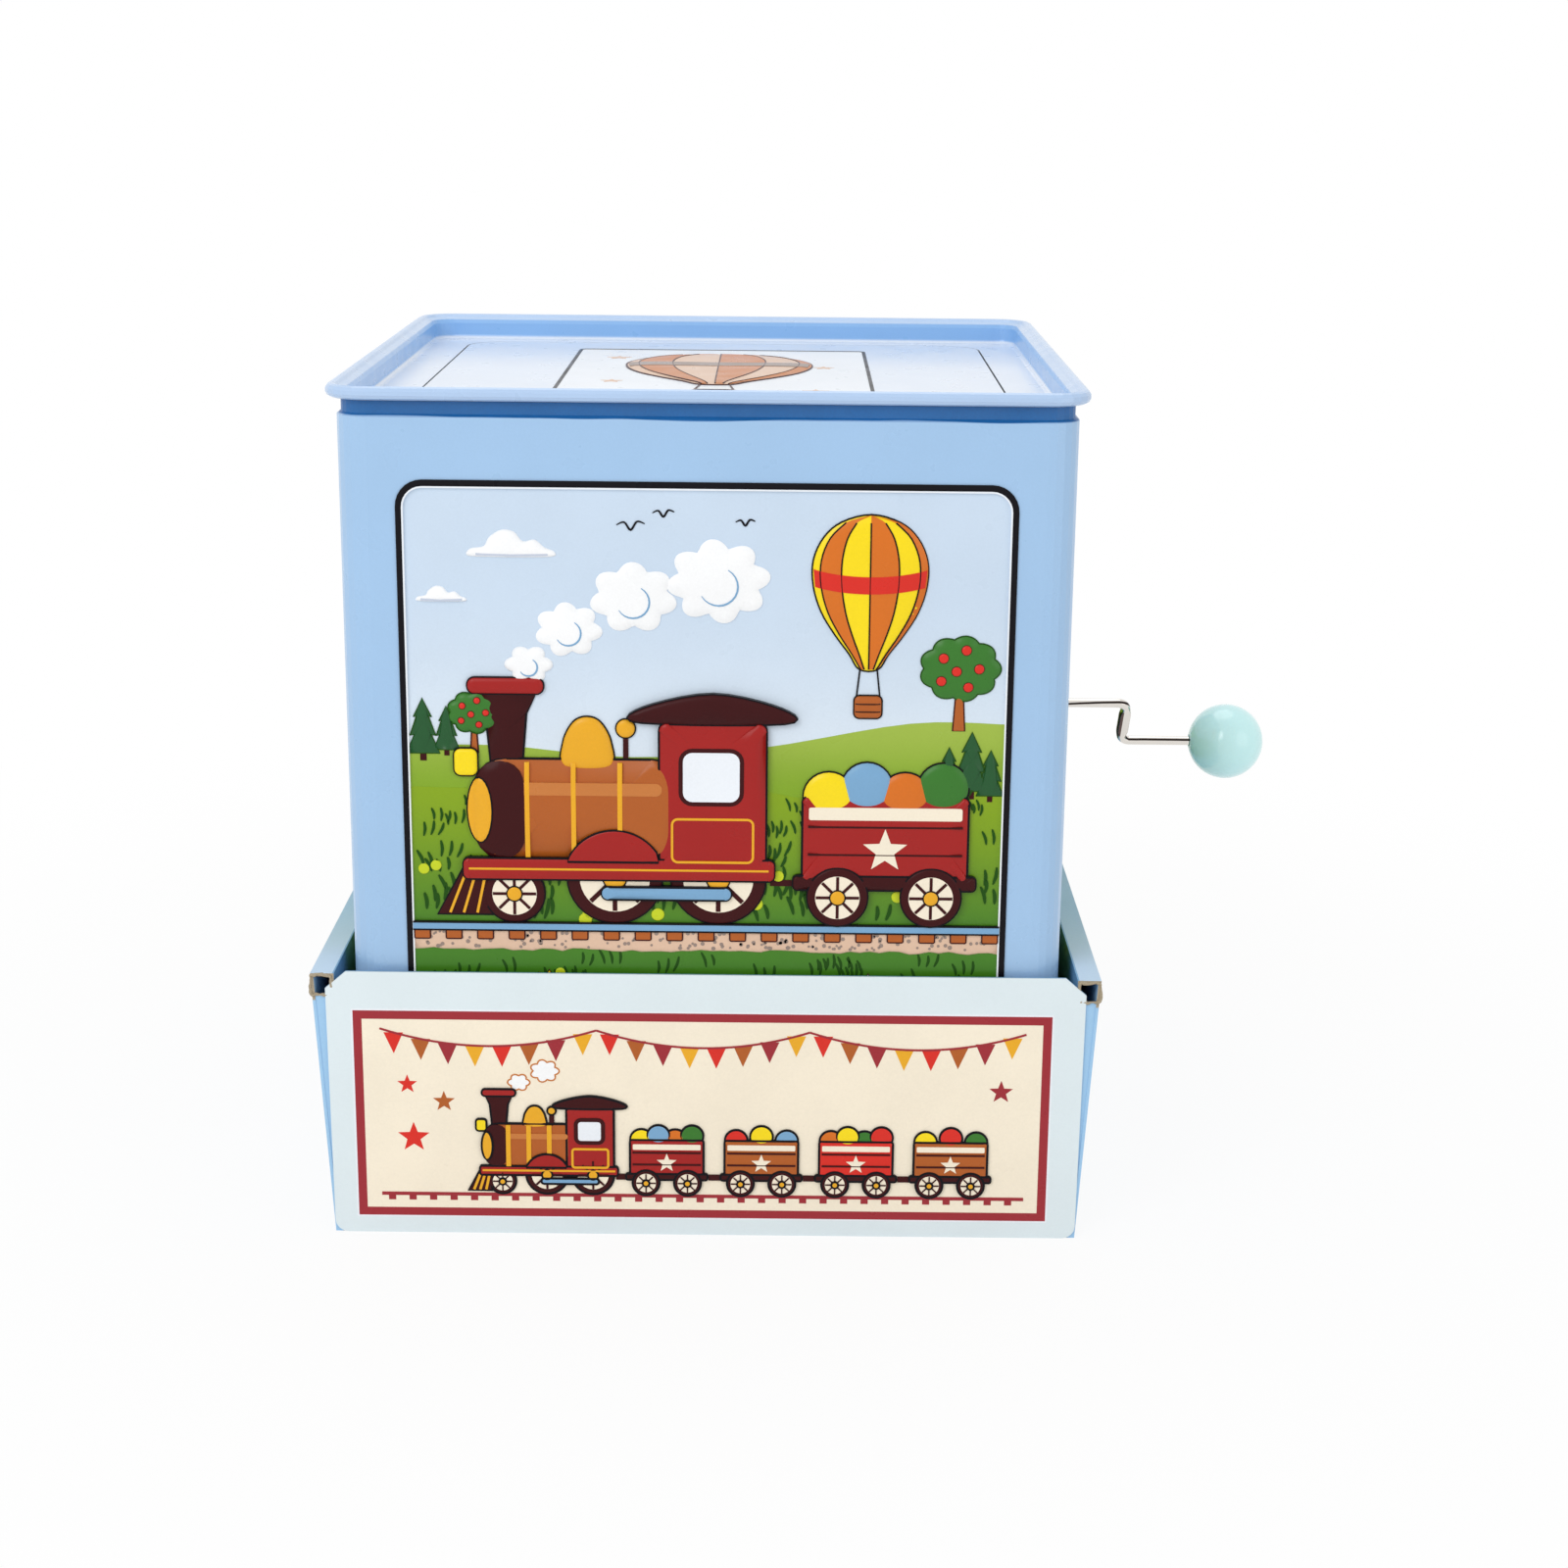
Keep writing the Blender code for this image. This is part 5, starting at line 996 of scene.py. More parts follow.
def draw_locomotive(pen):
    """A side view that heads left: 47 mm long from cowcatcher to cab."""
    chimney = [(-45.6, 23), (-41.2, 23), (-40.6, 30), (-38.8, 33.6), (-48.0, 33.6), (-46.2, 30)]
    pen.shape(chimney, "brown", 8, rise=0.7, roll=1.6)
    pen.shape(panel(-48.6, 32.8, -38.2, 35.0, 1.0), "red", 9, rise=0.5, roll=0.9, lift=0.25)
    dome = [(-35.4, 22.5), (-29.2, 22.5), (-29.0, 26.0), (-30.4, 28.8), (-32.3, 29.6)]
    dome += [(-34.2, 28.8), (-35.6, 26.0)]
    pen.shape(curve(dome), "gold", 8, rise=0.8, roll=2.2)
    pen.line([(-27.0, 23), (-27.0, 27.4)], "brown", 1.0, 8)
    pen.shape(circle(-27.0, 28.0, 1.3, 20), "gold", 9, rise=0.5, roll=1.0)
    pen.shape([(-53.4, 1.0), (-45.5, 1.0), (-45.5, 7.6), (-49.8, 7.6)], "brown", 8, rise=0.6, roll=1.2)
    for bar in range(3):
        pen.line([(-51.6 + 1.9 * bar, 1.4), (-49.4 + 1.4 * bar, 7.0)], "gold", 0.5, 9, lift=0.55)
    boiler = pen.shape(panel(-48.0, 9.0, -19.0, 23.6, 4.5), "orange_brown", 9, rise=1.1, roll=4.2, lift=0.1)
    pen.fill(panel(-46.6, 18.6, -22.0, 20.4, 0.85), "light_brown", 1, on=boiler)
    smokebox = pen.fill(panel(-47.7, 9.3, -41.0, 23.3, 3.2), "brown", 2, on=boiler)
    pen.shape(oval(-47.2, 16.3, 1.7, 4.6, 24), "gold", 2, on=smokebox, rise=0.2, roll=0.8)
    for x in (-40.6, -34.2, -27.8):
        pen.line([(x, 9.4 + 0.6 * step) for step in range(24)], "gold", 0.9, 2, on=boiler)
    arch = [point for point in circle(-28.6, 6.6, 7.0, 64) if point[1] > 9.4 and point[0] < -22.6]
    pen.shape([(-22.5, 9.1)] + arch + [(-35.1, 9.1)], "red", 15, rise=0.2, roll=0.9, lift=1.14)
    pen.shape(panel(-50.6, 21.2, -47.4, 25.0, 0.9), "yellow", 11, rise=0.5, roll=0.9, lift=0.3)
    cab = pen.shape(panel(-22.4, 7.4, -7.6, 29.0, 1.2), "red", 10, rise=0.55, roll=1.2, lift=0.75)
    pen.shape(panel(-19.4, 17.6, -11.0, 25.2, 1.6), "soft_white", 1, "brown", 0.8, on=cab)
    pen.line(panel(-20.6, 9.2, -9.4, 15.4, 0.8), "gold", 0.45, 1, closed=True, on=cab)
    roof = curve([(-25.0, 29.0), (-5.2, 29.0), (-5.6, 31.0), (-15.0, 33.0), (-24.6, 31.0)], steps=5)
    pen.shape(roof, "brown", 11, rise=0.6, roll=1.3, lift=0.8)
    pen.shape(panel(-49.6, 6.4, -6.4, 9.4, 0.8), "red", 11, rise=0.45, roll=0.9, lift=0.85)
    pen.line([(-48.8, 8.0), (-7.2, 8.0)], "gold", 0.4, 12, lift=1.3)
    for x, radius in ((-14.2, 6.6), (-28.6, 6.6), (-42.6, 4.2)):
        draw_wheel(pen, x, radius, 6, 0.3)
    pen.shape(panel(-30.4, 3.6, -12.4, 5.4, 0.85), "steel_blue", 14, rise=0.25, roll=0.6, lift=0.95)


def draw_wagon(pen, x, tone, load):
    """An open wagon, 23 mm long, with three planks and a load."""
    for index, ball in enumerate(load):
        centre_x = x + 3.6 + 15.8 * index / max(len(load) - 1, 1)
        centre_y = 18.6 + (1.4 if index % 2 else 0.0)
        pen.shape(circle(centre_x, centre_y, 3.5, 28), ball, 8 + index % 2, rise=0.8, roll=2.6, lift=0.1)
    body = pen.shape(panel(x, 6.4, x + 23.0, 18.6, 0.8), tone, 10, rise=0.55, roll=1.1, lift=0.4)
    for y in (10.4, 14.4):
        pen.line([(x + 0.8, y), (x + 22.2, y)], "brown", 0.35, 1, on=body)
    pen.fill(panel(x + 0.9, 15.4, x + 22.1, 17.2, 0.3), "cream", 1, on=body)
    pen.fill(star(x + 11.5, 11.0, 3.2), "cream", 2, on=body)
    pen.shape(panel(x - 1.2, 5.2, x + 24.2, 7.2, 0.6), "brown", 11, rise=0.4, roll=0.7, lift=0.6)
    for wheel in (x + 5.0, x + 18.0):
        draw_wheel(pen, wheel, 4.2)


def draw_train(pen):
    """The locomotive and its first wagon, coupled."""
    pen.line([(-7.0, 6.0), (-3.0, 6.0)], "brown", 1.2, 8)
    draw_locomotive(pen)
    draw_wagon(pen, -2.6, "red", ("yellow", "steel_blue", "orange", "leaf"))


def draw_steam(pen):
    """Four puffs of steam from the chimney, each larger than the last."""
    puffs = ((-41.0, 37.6, 3.0, 6), (-35.4, 42.6, 4.2, 7), (-26.4, 47.2, 5.4, 7), (-14.6, 49.6, 6.4, 8))
    for index, (x, y, radius, bumps) in enumerate(puffs):
        outline = puff(x, y, radius, bumps, turn=index)
        cloud = pen.fill(outline, "white", 5 + index, rise=0.75, roll=radius * 0.7)
        curl = arc(x, y - radius * 0.1, radius * 0.42, -150, 60, 14)
        pen.line(curl, "steel_blue", 0.35, 1, on=cloud, taper=True)


# The right half of a balloon's envelope, as (height, width) in radii
BALLOON_WIDTHS = (
    (-1.72, 0.16), (-1.45, 0.34), (-1.1, 0.6), (-0.7, 0.84), (-0.25, 0.98),
    (0.2, 0.985), (0.6, 0.81), (0.87, 0.5), (1.0, 0.0),
)
GORES = 6


def draw_balloon(pen, radius, tones, edge="black"):
    """A hot-air balloon with striped gores, a belt and a basket. The origin is the middle of its envelope."""
    half = np.array([(wide * radius, up * radius) for up, wide in BALLOON_WIDTHS])
    outline = curve(np.concatenate([half, half[-2::-1] * (-1, 1)]), steps=4)
    envelope = pen.shape(outline, tones[0], 6, edge, rise=1.0, roll=radius * 0.62, spacing=1.6)
    seams = [half * (math.sin((-1 + 2 * seam / GORES) * math.pi / 2), 1) for seam in range(GORES + 1)]
    for gore in range(1, GORES, 2):
        left, right = (curve(seam, False, 4) for seam in seams[gore : gore + 2])
        pen.fill(np.concatenate([right[:-1], left[::-1]]), tones[1], 1, on=envelope, spacing=1.6)
    for seam in seams[1:-1]:
        pen.line(curve(seam[:-1], False, 4), edge, 0.28, 2, on=envelope)
    belt = []
    for up, reach in ((0.05, 0.985), (-0.25, -0.955)):
        across = np.linspace(reach, -reach, 15) * radius
        belt += [(x, up * radius - 0.12 * radius * (1 - (x / radius) ** 2)) for x in across]
    pen.fill(belt, tones[2], 3, on=envelope, spacing=1.6)
    basket_top, basket_foot = -2.2 * radius, -2.6 * radius
    for x in (-0.15, 0.15):
        pen.line([(x * radius, -1.72 * radius), (x * radius * 1.35, basket_top)], edge, 0.3, 6)
    basket = panel(-0.24 * radius, basket_foot, 0.24 * radius, basket_top, 0.09 * radius)
    made = pen.shape(basket, tones[3], 7, edge, rise=0.6, roll=0.15 * radius)
    for share in (0.3, 0.65):
        y = basket_foot + 0.4 * radius * share
        pen.line([(-0.22 * radius, y), (0.22 * radius, y)], edge, 0.2, 1, on=made)


def draw_fir(pen, height):
    pen.fill(panel(-0.05 * height, 0, 0.05 * height, 0.2 * height), "brown", 5)
    outline = [(-0.26, 0.12), (0.26, 0.12), (0.13, 0.42), (0.2, 0.4), (0.09, 0.72), (0.14, 0.7), (0, 1.0)]
    outline += [(-0.14, 0.7), (-0.09, 0.72), (-0.2, 0.4), (-0.13, 0.42)]
    pen.shape(np.array(outline) * height, "dark_leaf", 6, "grass", 0.25, rise=0.4, roll=0.8)


def draw_apple_tree(pen, radius):
    trunk = np.array([(-0.16, -1.7), (0.16, -1.7), (0.1, -0.7), (-0.1, -0.7)]) * radius
    pen.shape(trunk, "orange_brown", 5, "brown", 0.3, rise=0.3, roll=0.5)
    outline = puff(0, 0, radius * 1.02, 9, 0.06)
    crown = pen.shape(outline, "leaf", 6, "grass", 0.35, rise=0.8, roll=radius * 0.7, spacing=1.3)
    for x, y in ((-0.45, 0.3), (0.15, 0.52), (0.5, 0.02), (-0.1, -0.05), (-0.5, -0.32), (0.22, -0.48)):
        apple = circle(x * radius, y * radius, radius * 0.13, 14)
        pen.shape(apple, "bright_red", 1, "brown", 0.18, on=crown, rise=0.2, roll=0.4)


def draw_tulip(pen, tone, height=9.0):
    stem = curve([(0.3, 0), (0.0, height * 0.45), (0.2, height * 0.74)], False)
    pen.line(stem, "dark_leaf", 0.55, 8)
    for side in (1, -1):
        low, tip, back = (side * 1.7, height * 0.28), (side * 2.1, height * 0.56), (side * 0.7, height * 0.3)
        pen.shape(curve([(0.1, 0.2), low, tip, back]), "leaf", 8, "grass", 0.22, rise=0.25, roll=0.5)
    y = height * 0.7
    cup = [(-1.5, y + 0.9), (-0.8, y), (0.8, y), (1.5, y + 0.9), (1.7, y + 3.2), (0.8, y + 2.3)]
    cup += [(0, y + 3.6), (-0.8, y + 2.3), (-1.7, y + 3.2)]
    pen.shape(cup, tone, 9, "brown", 0.3, rise=0.5, roll=1.0)


def draw_daisy(pen, tone):
    for angle in np.linspace(0, math.tau, 8, endpoint=False):
        c, s = math.cos(angle), math.sin(angle)
        pen.fill(oval(0, 0, 0.85, 0.42, 12) @ np.array([(c, s), (-s, c)]) + (c, s), tone, 8)
    pen.fill(circle(0, 0, 0.6, 14), "yellow", 9, rise=0.3, roll=0.5)


def draw_grass(sheet, seed, low, high, count, keep_off=(), below=None):
    """Scattered tufts of two or three blades each, larger towards the foot, and yellow dots."""
    rng = random.Random(seed)
    for index in range(count):
        x = rng.uniform(-53.5, 53.5)
        y = rng.uniform(low, high)
        lean = rng.uniform(-0.6, 0.6)
        size = 0.8 + 0.7 * (GRASS_TOP - y) / (GRASS_TOP - low)
        if any(abs(x - u) < reach and abs(y - v) < reach for u, v, reach in keep_off):
            continue
        if below is not None and y > np.interp(x, *np.transpose(below)) - 2.5:
            continue
        if index % 6 == 0:
            sheet.fill(circle(x, y, 0.85 * size, 14), "lime", 7, rise=0.15, roll=0.4)
            continue
        for blade in range(rng.choice((2, 3))):
            foot = np.array((x + 1.25 * size * blade, y + rng.uniform(-0.3, 0.3)))
            tip = foot + np.array((lean + 0.45 * (blade - 1), rng.uniform(1.8, 2.7))) * size
            if max(abs(foot[0]), abs(tip[0])) > FRAME_HALF - 2.0:
                continue
            middle = (foot + tip) / 2 + (0.22, 0)
            sheet.line(curve([foot, middle, tip], False, 3), "grass", 0.5 * size, 7, taper=True)


def crest_line(crest):
    """A smooth line across the whole picture through a crest's points."""
    return curve([(-PICTURE_HALF, crest[0][1]), *crest, (PICTURE_HALF, crest[-1][1])], False, 5)


def hill(crest, foot):
    """A hill across the whole picture, down to the height where it ends."""
    return np.concatenate([[(-PICTURE_HALF, foot), (PICTURE_HALF, foot)], crest_line(crest)[::-1]])


def frame_loop(inset, steps):
    """The frame's outer edge, moved inward."""
    half, corner = FRAME_HALF - inset, FRAME_CORNER - inset
    return panel(-half, FRAME_FOOT + inset, half, FRAME_TOP - inset, corner, steps)


def draw_frame(sheet):
    """The black frame, and the thin pale line inside it."""
    sheet.line(frame_loop(FRAME_LINE / 2, 7), "black", FRAME_LINE, 6, True, lift=0.05)
    sheet.line(frame_loop(FRAME_LINE + 0.12, 7), "soft_white", 0.3, 5, True, lift=0.4)


def draw_country(sheet, far, middle):
    """Sky, two hills and the picture's black frame."""
    sheet.fill(frame_loop(FRAME_LINE / 2, 5), "sky", 1)
    sheet.fill(hill(far, 60.0), "far_hill", 2, spacing=6.0)
    sheet.fill(hill(middle, 40.0), "mid_hill", 3, spacing=6.0)
    draw_frame(sheet)


def meadow_outline(crest):
    foot = FRAME_FOOT + FRAME_LINE / 2
    radius = FRAME_CORNER - FRAME_LINE / 2
    left = arc(-PICTURE_HALF + radius, foot + radius, radius, 180, 270, 5)
    right = arc(PICTURE_HALF - radius, foot + radius, radius, 270, 360, 5)
    return np.concatenate([left, right, crest_line(crest)[::-1]])


def draw_track(sheet, seed):
    """Rails on sleepers, on a bed of stones."""
    half = FRAME_HALF - FRAME_LINE - 0.05
    sleeper_top, sleeper_foot = RAIL_TOP - 1.6, RAIL_TOP - 3.4
    rng = random.Random(seed)
    edge = [(x, RAIL_TOP - 5.6 + rng.uniform(-0.3, 0.3)) for x in np.linspace(-half, half, 60)]
    bed = sheet.fill(edge + [(half, RAIL_TOP - 0.9), (-half, RAIL_TOP - 0.9)], "tan", 8, rise=0.3, roll=1.0)
    for _ in range(190):
        x, y = rng.uniform(-half + 0.8, half - 0.8), rng.uniform(RAIL_TOP - 5.0, RAIL_TOP - 1.9)
        sheet.fill(circle(x, y, rng.uniform(0.22, 0.45), 7), "taupe", 1, on=bed)
    for x in np.arange(-54.0, 56.0, 6.0):
        sleeper = panel(x - 1.5, sleeper_foot, x + 1.5, sleeper_top, 0.3)
        sheet.shape(sleeper, "orange_brown", 9, "brown", 0.25, lift=0.4)
    sheet.fill(panel(-half, RAIL_TOP - 1.7, half, RAIL_TOP), "steel_blue", 10, lift=0.5)
    for drop in (0.1, 1.6):
        sheet.line([(-half, RAIL_TOP - drop), (half, RAIL_TOP - drop)], "black", 0.3, 11, lift=0.5)


def draw_bird(sheet, x, y, size):
    wings = np.array(((-1, 0.35), (-0.45, 0.55), (0, 0), (0.45, 0.6), (1, 0.45)))
    sheet.line(curve(wings * size + (x, y), False, 5), "black", 0.4, 4, taper=True)


def draw_cloud(sheet, x, y, size):
    """A flat-footed cloud with a soft grey shade along its foot."""
    bumps = [(-1.0, 0.0), (-0.93, 0.16), (-0.62, 0.22), (-0.5, 0.42), (-0.22, 0.6), (0.08, 0.56)]
    bumps += [(0.28, 0.34), (0.55, 0.38), (0.78, 0.2), (0.98, 0.12), (1.0, 0.0), (0.5, -0.03), (-0.5, -0.03)]
    outline = curve(np.array(bumps) * size + (x, y), steps=4)
    cloud = sheet.fill(outline, "white", 4, rise=0.6, roll=size * 0.3, spacing=1.2)
    fold = [(x - 0.8 * size, y + 0.3), (x, y + 0.15), (x + 0.85 * size, y + 0.3)]
    sheet.line(fold, "cloud_shade", 0.4, 1, on=cloud)


def draw_scenery(sheet, far, middle, firs, trees, clouds, birds):
    """The country behind a picture, with all that stands on its hills and in its sky."""
    draw_country(sheet, far, middle)
    for x, y, height in firs:
        draw_fir(Pen(sheet, x, y), height)
    for x, y, radius in trees:
        draw_apple_tree(Pen(sheet, x, y), radius)
    for cloud in clouds:
        draw_cloud(sheet, *cloud)
    for bird in birds:
        draw_bird(sheet, *bird)


def make_meadow(name, place, seed, spots, tones, crest):
    """The grass at the foot of a picture, with tufts, daisies and tulips."""
    sheet = Sheet(f"{name}_meadow", place, "tin")
    sheet.fill(meadow_outline(crest), "meadow", 7, spacing=6.0)
    flowers = [(x, y + 4, 4.0) for x, y in spots]
    draw_grass(sheet, seed, 19.0, 55.0, 150, flowers)
    rng = random.Random(seed + 1)
    for _ in range(14):
        spot = (rng.uniform(-51, 51), rng.uniform(20.5, 50))
        if all(abs(spot[0] - x) > 3.5 or abs(spot[1] - y) > 3.5 for x, y, _ in flowers):
            draw_daisy(Pen(sheet, *spot, 1.1), rng.choice(("white", "lime", "white")))
    for index, (x, y) in enumerate(spots):
        draw_tulip(Pen(sheet, x, y, 1.1), tones[index % len(tones)], 8.0 + (index % 3))
    sheet.finish("blue_tin")


def train_picture(name, place, seed):
    """A toy train on its track, with a balloon above it and a meadow below."""
    ground = Sheet(f"{name}_ground", place, "tin")
    middle = [(-40, 90), (-8, 93), (22, 88), (44, 92)]
    draw_scenery(
        ground,
        [(-38, 98), (-14, 96), (10, 98), (38, 103)],
        middle,
        ((-53, 95, 12), (-48.6, 96, 9.5), (49.6, 88.5, 13.0), (53.2, 88.0, 10.0), (45.4, 89.5, 9.0)),
        ((47.0, 113.6, 7.0), (-43.4, 104.4, 4.6)),
        ((-36.0, 134.0, 8.0), (-49.0, 125.5, 4.6)),
        ((-14, 139, 2.6), (-8, 141.5, 2.0), (7, 140, 1.8)),
    )
    draw_grass(ground, seed + 7, 64.0, 91.0, 230, (), [(-56, 90), *middle, (56, 92)])
    draw_track(ground, seed)
    ground.finish("blue_tin")
    spots = [(-50, 40), (-30, 43), (-25, 40), (-4, 42), (2, 39.5), (25, 41.5), (31, 43.5), (52, 41)]
    spots += [(-44, 26), (-16, 30), (9, 23), (37, 28)]
    crest = [(-50, 58.6), (-28, 59.2), (-3, 58.4), (24, 59.0), (48, 58.6)]
    make_meadow(name, place, seed, spots, ("bright_red", "yellow", "white", "orange"), crest)
    train = Sheet(f"{name}_train", place, "tin")
    draw_train(Pen(train, TRAIN_SHIFT, RAIL_TOP, TRAIN_SCALE))
    train.finish("blue_tin")
    sky = Sheet(f"{name}_balloon", place, "tin")
    draw_steam(Pen(sky, TRAIN_SHIFT, RAIL_TOP, TRAIN_SCALE * 0.98))
    draw_balloon(Pen(sky, 30.0, 131.6), 10.6, WARM)
    sky.finish("blue_tin")


def balloon_picture(name, place, seed, balloons):
    """Balloons over hills and a meadow."""
    ground = Sheet(f"{name}_ground", place, "tin")
    draw_scenery(
        ground,
        [(-36, 84), (-10, 92), (16, 86), (42, 93)],
        [(-42, 70), (-14, 66), (14, 74), (44, 68)],
        ((-50, 80, 13), (-45, 80.5, 10), (44, 89, 12), (49.5, 90, 9)),
        ((-24.0, 80.0, 7.4), (22.0, 77.0, 5.6)),
        ((-46, 112, 7.0), (2, 138, 6.0), (49, 106, 5.0), (-4, 101, 4.6)),
        ((-13, 141, 2.4), (14, 137, 1.9)),
    )
    ground.finish("blue_tin")
    spots = [(-48, 44), (-30, 30), (-16, 41), (8, 34), (22, 44), (44, 32), (50, 46)]
    crest = [(-44, 56), (-16, 53), (12, 58), (40, 54)]
    make_meadow(name, place, seed, spots, ("yellow", "bright_red", "white", "orange"), crest)
    sky = Sheet(f"{name}_balloons", place, "tin")
    for x, y, radius, tones in balloons:
        draw_balloon(Pen(sky, x, y), radius, tones)
    sky.finish("blue_tin")


WARM = ("yellow", "orange", "bright_red", "orange_brown")
COOL = ("steel_blue", "white", "yellow", "orange_brown")
RED = ("red", "cream", "gold", "brown")
LEFT_BALLOONS = ((-24.0, 124.0, 14.0, RED), (20.0, 112.0, 12.0, WARM), (40.0, 134.0, 7.0, COOL))
RIGHT_BALLOONS = ((26.0, 126.0, 13.0, COOL), (-30.0, 117.0, 13.0, WARM))
BACK_BALLOONS = ((-2.0, 122.0, 16.0, WARM), (-38.0, 130.0, 9.0, RED), (36.0, 126.0, 10.5, COOL))


def lid_picture():
    """A tan balloon on a pale ground, inside a thin dark line."""
    sheet = Sheet("lid_picture", on_lid, "lid")
    x0, y0, x1, y1 = LID_PICTURE
    sheet.fill(panel(x0, y0, x1, y1, 1.2), "soft_white", 1)
    sheet.line(panel(x0, y0, x1, y1, 1.2), "black", 0.75, 2, True)
    draw_balloon(Pen(sheet, 0.0, 16.5, relief=0.6), 19.5, ("tan", "light_brown", "taupe", "taupe"), "brown")
    for x, y, size in ((-22, 30, 2.8), (22, 14, 2.4), (-21, -12, 2.4), (20, -26, 2.8)):
        sheet.fill(star(x, y, size), "tan", 3)
    sheet.finish("pale_tin")


def draw_bunting(sheet, start_x, end_x, tones, y=42.4, sag=3.4, flags=8):
    """A string of pennants that hangs between two points."""
    start, end = np.array((start_x, y)), np.array((end_x, y))
    shares = np.linspace(0, 1, 41)
    string = start + (end - start) * shares[:, None]
    string[:, 1] -= sag * 4 * shares * (1 - shares)
    sheet.line(string, "border_red", 0.4, 4)
    for flag in range(flags):
        middle = (flag + 0.5) / flags
        spot = start + (end - start) * middle
        spot[1] -= sag * 4 * middle * (1 - middle)
        wide = (end[0] - start[0]) / flags * 0.36
        pennant = [(spot[0] - wide, spot[1]), (spot[0], spot[1] - 2.3 * wide), (spot[0] + wide, spot[1])]
        sheet.fill(pennant, tones[flag % len(tones)], 3)


def tray_label():
    """A cream label with a dark red border, bunting and a small train."""
    sheet = Sheet("tray_label", on_tray, "tray")
    x0, y0, x1, y1 = LABEL
    sheet.fill(panel(x0 - 0.35, y0 - 0.35, x1 + 0.35, y1 + 0.35, 0.3), "soft_white", 0.5)
    sheet.fill(panel(x0, y0, x1, y1), "border_red", 1)
    sheet.fill(panel(x0 + LABEL_BORDER, y0 + LABEL_BORDER, x1 - LABEL_BORDER, y1 - LABEL_BORDER), "cream", 2)
    tones = ("bright_red", "orange_brown", "border_red", "gold")
    for start, end in ((-62.5, -21.0), (-21.0, 20.0), (20.0, 61.5)):
        draw_bunting(sheet, start, end, tones)
    sheet.line([(-63.0, 8.2), (62.0, 8.2)], "border_red", 0.7, 3)
    for x in np.arange(-61.0, 61.5, 4.0):
        sheet.fill(panel(x - 0.7, 6.9, x + 0.7, 8.0), "border_red", 3)
    train = Pen(sheet, -13.0, 8.5, 0.62, 2, 0.12)
    draw_train(train)
    for index, load in enumerate(LABEL_LOADS):
        x = 27.0 + WAGON_PITCH * index
        train.line([(x - 5.0, 6.0), (x, 6.0)], "brown", 1.2, 8)
        draw_wagon(train, x, "bright_red" if index % 2 else "orange_brown", load)
    stars = ((-56.5, 20, 3.2), (-50.5, 27.5, 2.2), (57.0, 30.5, 2.4), (-57.5, 31.0, 2.0))
    for index, (x, y, size) in enumerate(stars):
        sheet.fill(star(x, y, size), tones[index % 3], 3)
    for x, y, radius, bumps in ((-36.0, 31.6, 1.9, 6), (-31.0, 34.0, 2.5, 7)):
        sheet.shape(puff(x, y, radius, bumps), "white", 3, "light_brown", 0.3)
    sheet.finish("tray_card")


# Stage


def aim_camera():
    """The camera that was fitted to the photograph: yaw and pitch, then a roll about its own axis."""
    yaw, pitch, roll = (math.radians(angle) for angle in (CAMERA_YAW, CAMERA_PITCH, CAMERA_ROLL))
    ahead = Vector((math.sin(yaw) * math.cos(pitch), math.cos(yaw) * math.cos(pitch), -math.sin(pitch)))
    level = Vector((math.cos(yaw), -math.sin(yaw), 0))
    fall = ahead.cross(level)
    right = level * math.cos(roll) + fall * math.sin(roll)
    down = fall * math.cos(roll) - level * math.sin(roll)
    camera = new_object("camera", bpy.data.cameras.new("camera"))
    axes = Matrix((right, -down, -ahead)).transposed()
    camera.matrix_world = Matrix.Translation(CAMERA_PLACE) @ axes.to_4x4()
    camera.data.lens = CAMERA_LENS
    camera.data.sensor_width = CAMERA_SENSOR
    camera.data.clip_start = 0.01
    bpy.context.scene.camera = camera


def area_light(name, place, size, watts):
    """A soft lamp that looks at the middle of the tin."""
    light = bpy.data.lights.new(name, "AREA")
    light.shape = "DISK"
    light.size = size
    light.energy = watts
    lamp = new_object(name, light)
    lamp.location = place
    lamp.rotation_mode = "QUATERNION"
    lamp.rotation_quaternion = (Vector(LIGHT_TARGET) - Vector(place)).to_track_quat("-Z", "Y")


def light_stage():
    """White light from all round, under a background that shows plain white, and three soft lamps."""
    world = bpy.data.worlds.new("studio")
    world.use_nodes = True
    world.node_tree.nodes.clear()
    nodes = Nodes(world.node_tree)
    lit, shown = (nodes.new("ShaderNodeBackground", WHITE, power).outputs[0] for power in (WORLD_LIGHT, 1.0))
    mixed = nodes.new("ShaderNodeMixShader", nodes.white_to_camera(), lit, shown)
    nodes.new("ShaderNodeOutputWorld", mixed.outputs[0])
    bpy.context.scene.world = world
    area_light("key_light", (-0.42, -0.7, 0.6), 0.6, KEY_WATTS)
    area_light("fill_light", (0.95, -0.8, 0.4), 0.9, FILL_WATTS)
    area_light("top_light", (0.0, 0.35, 1.15), 0.9, TOP_WATTS)


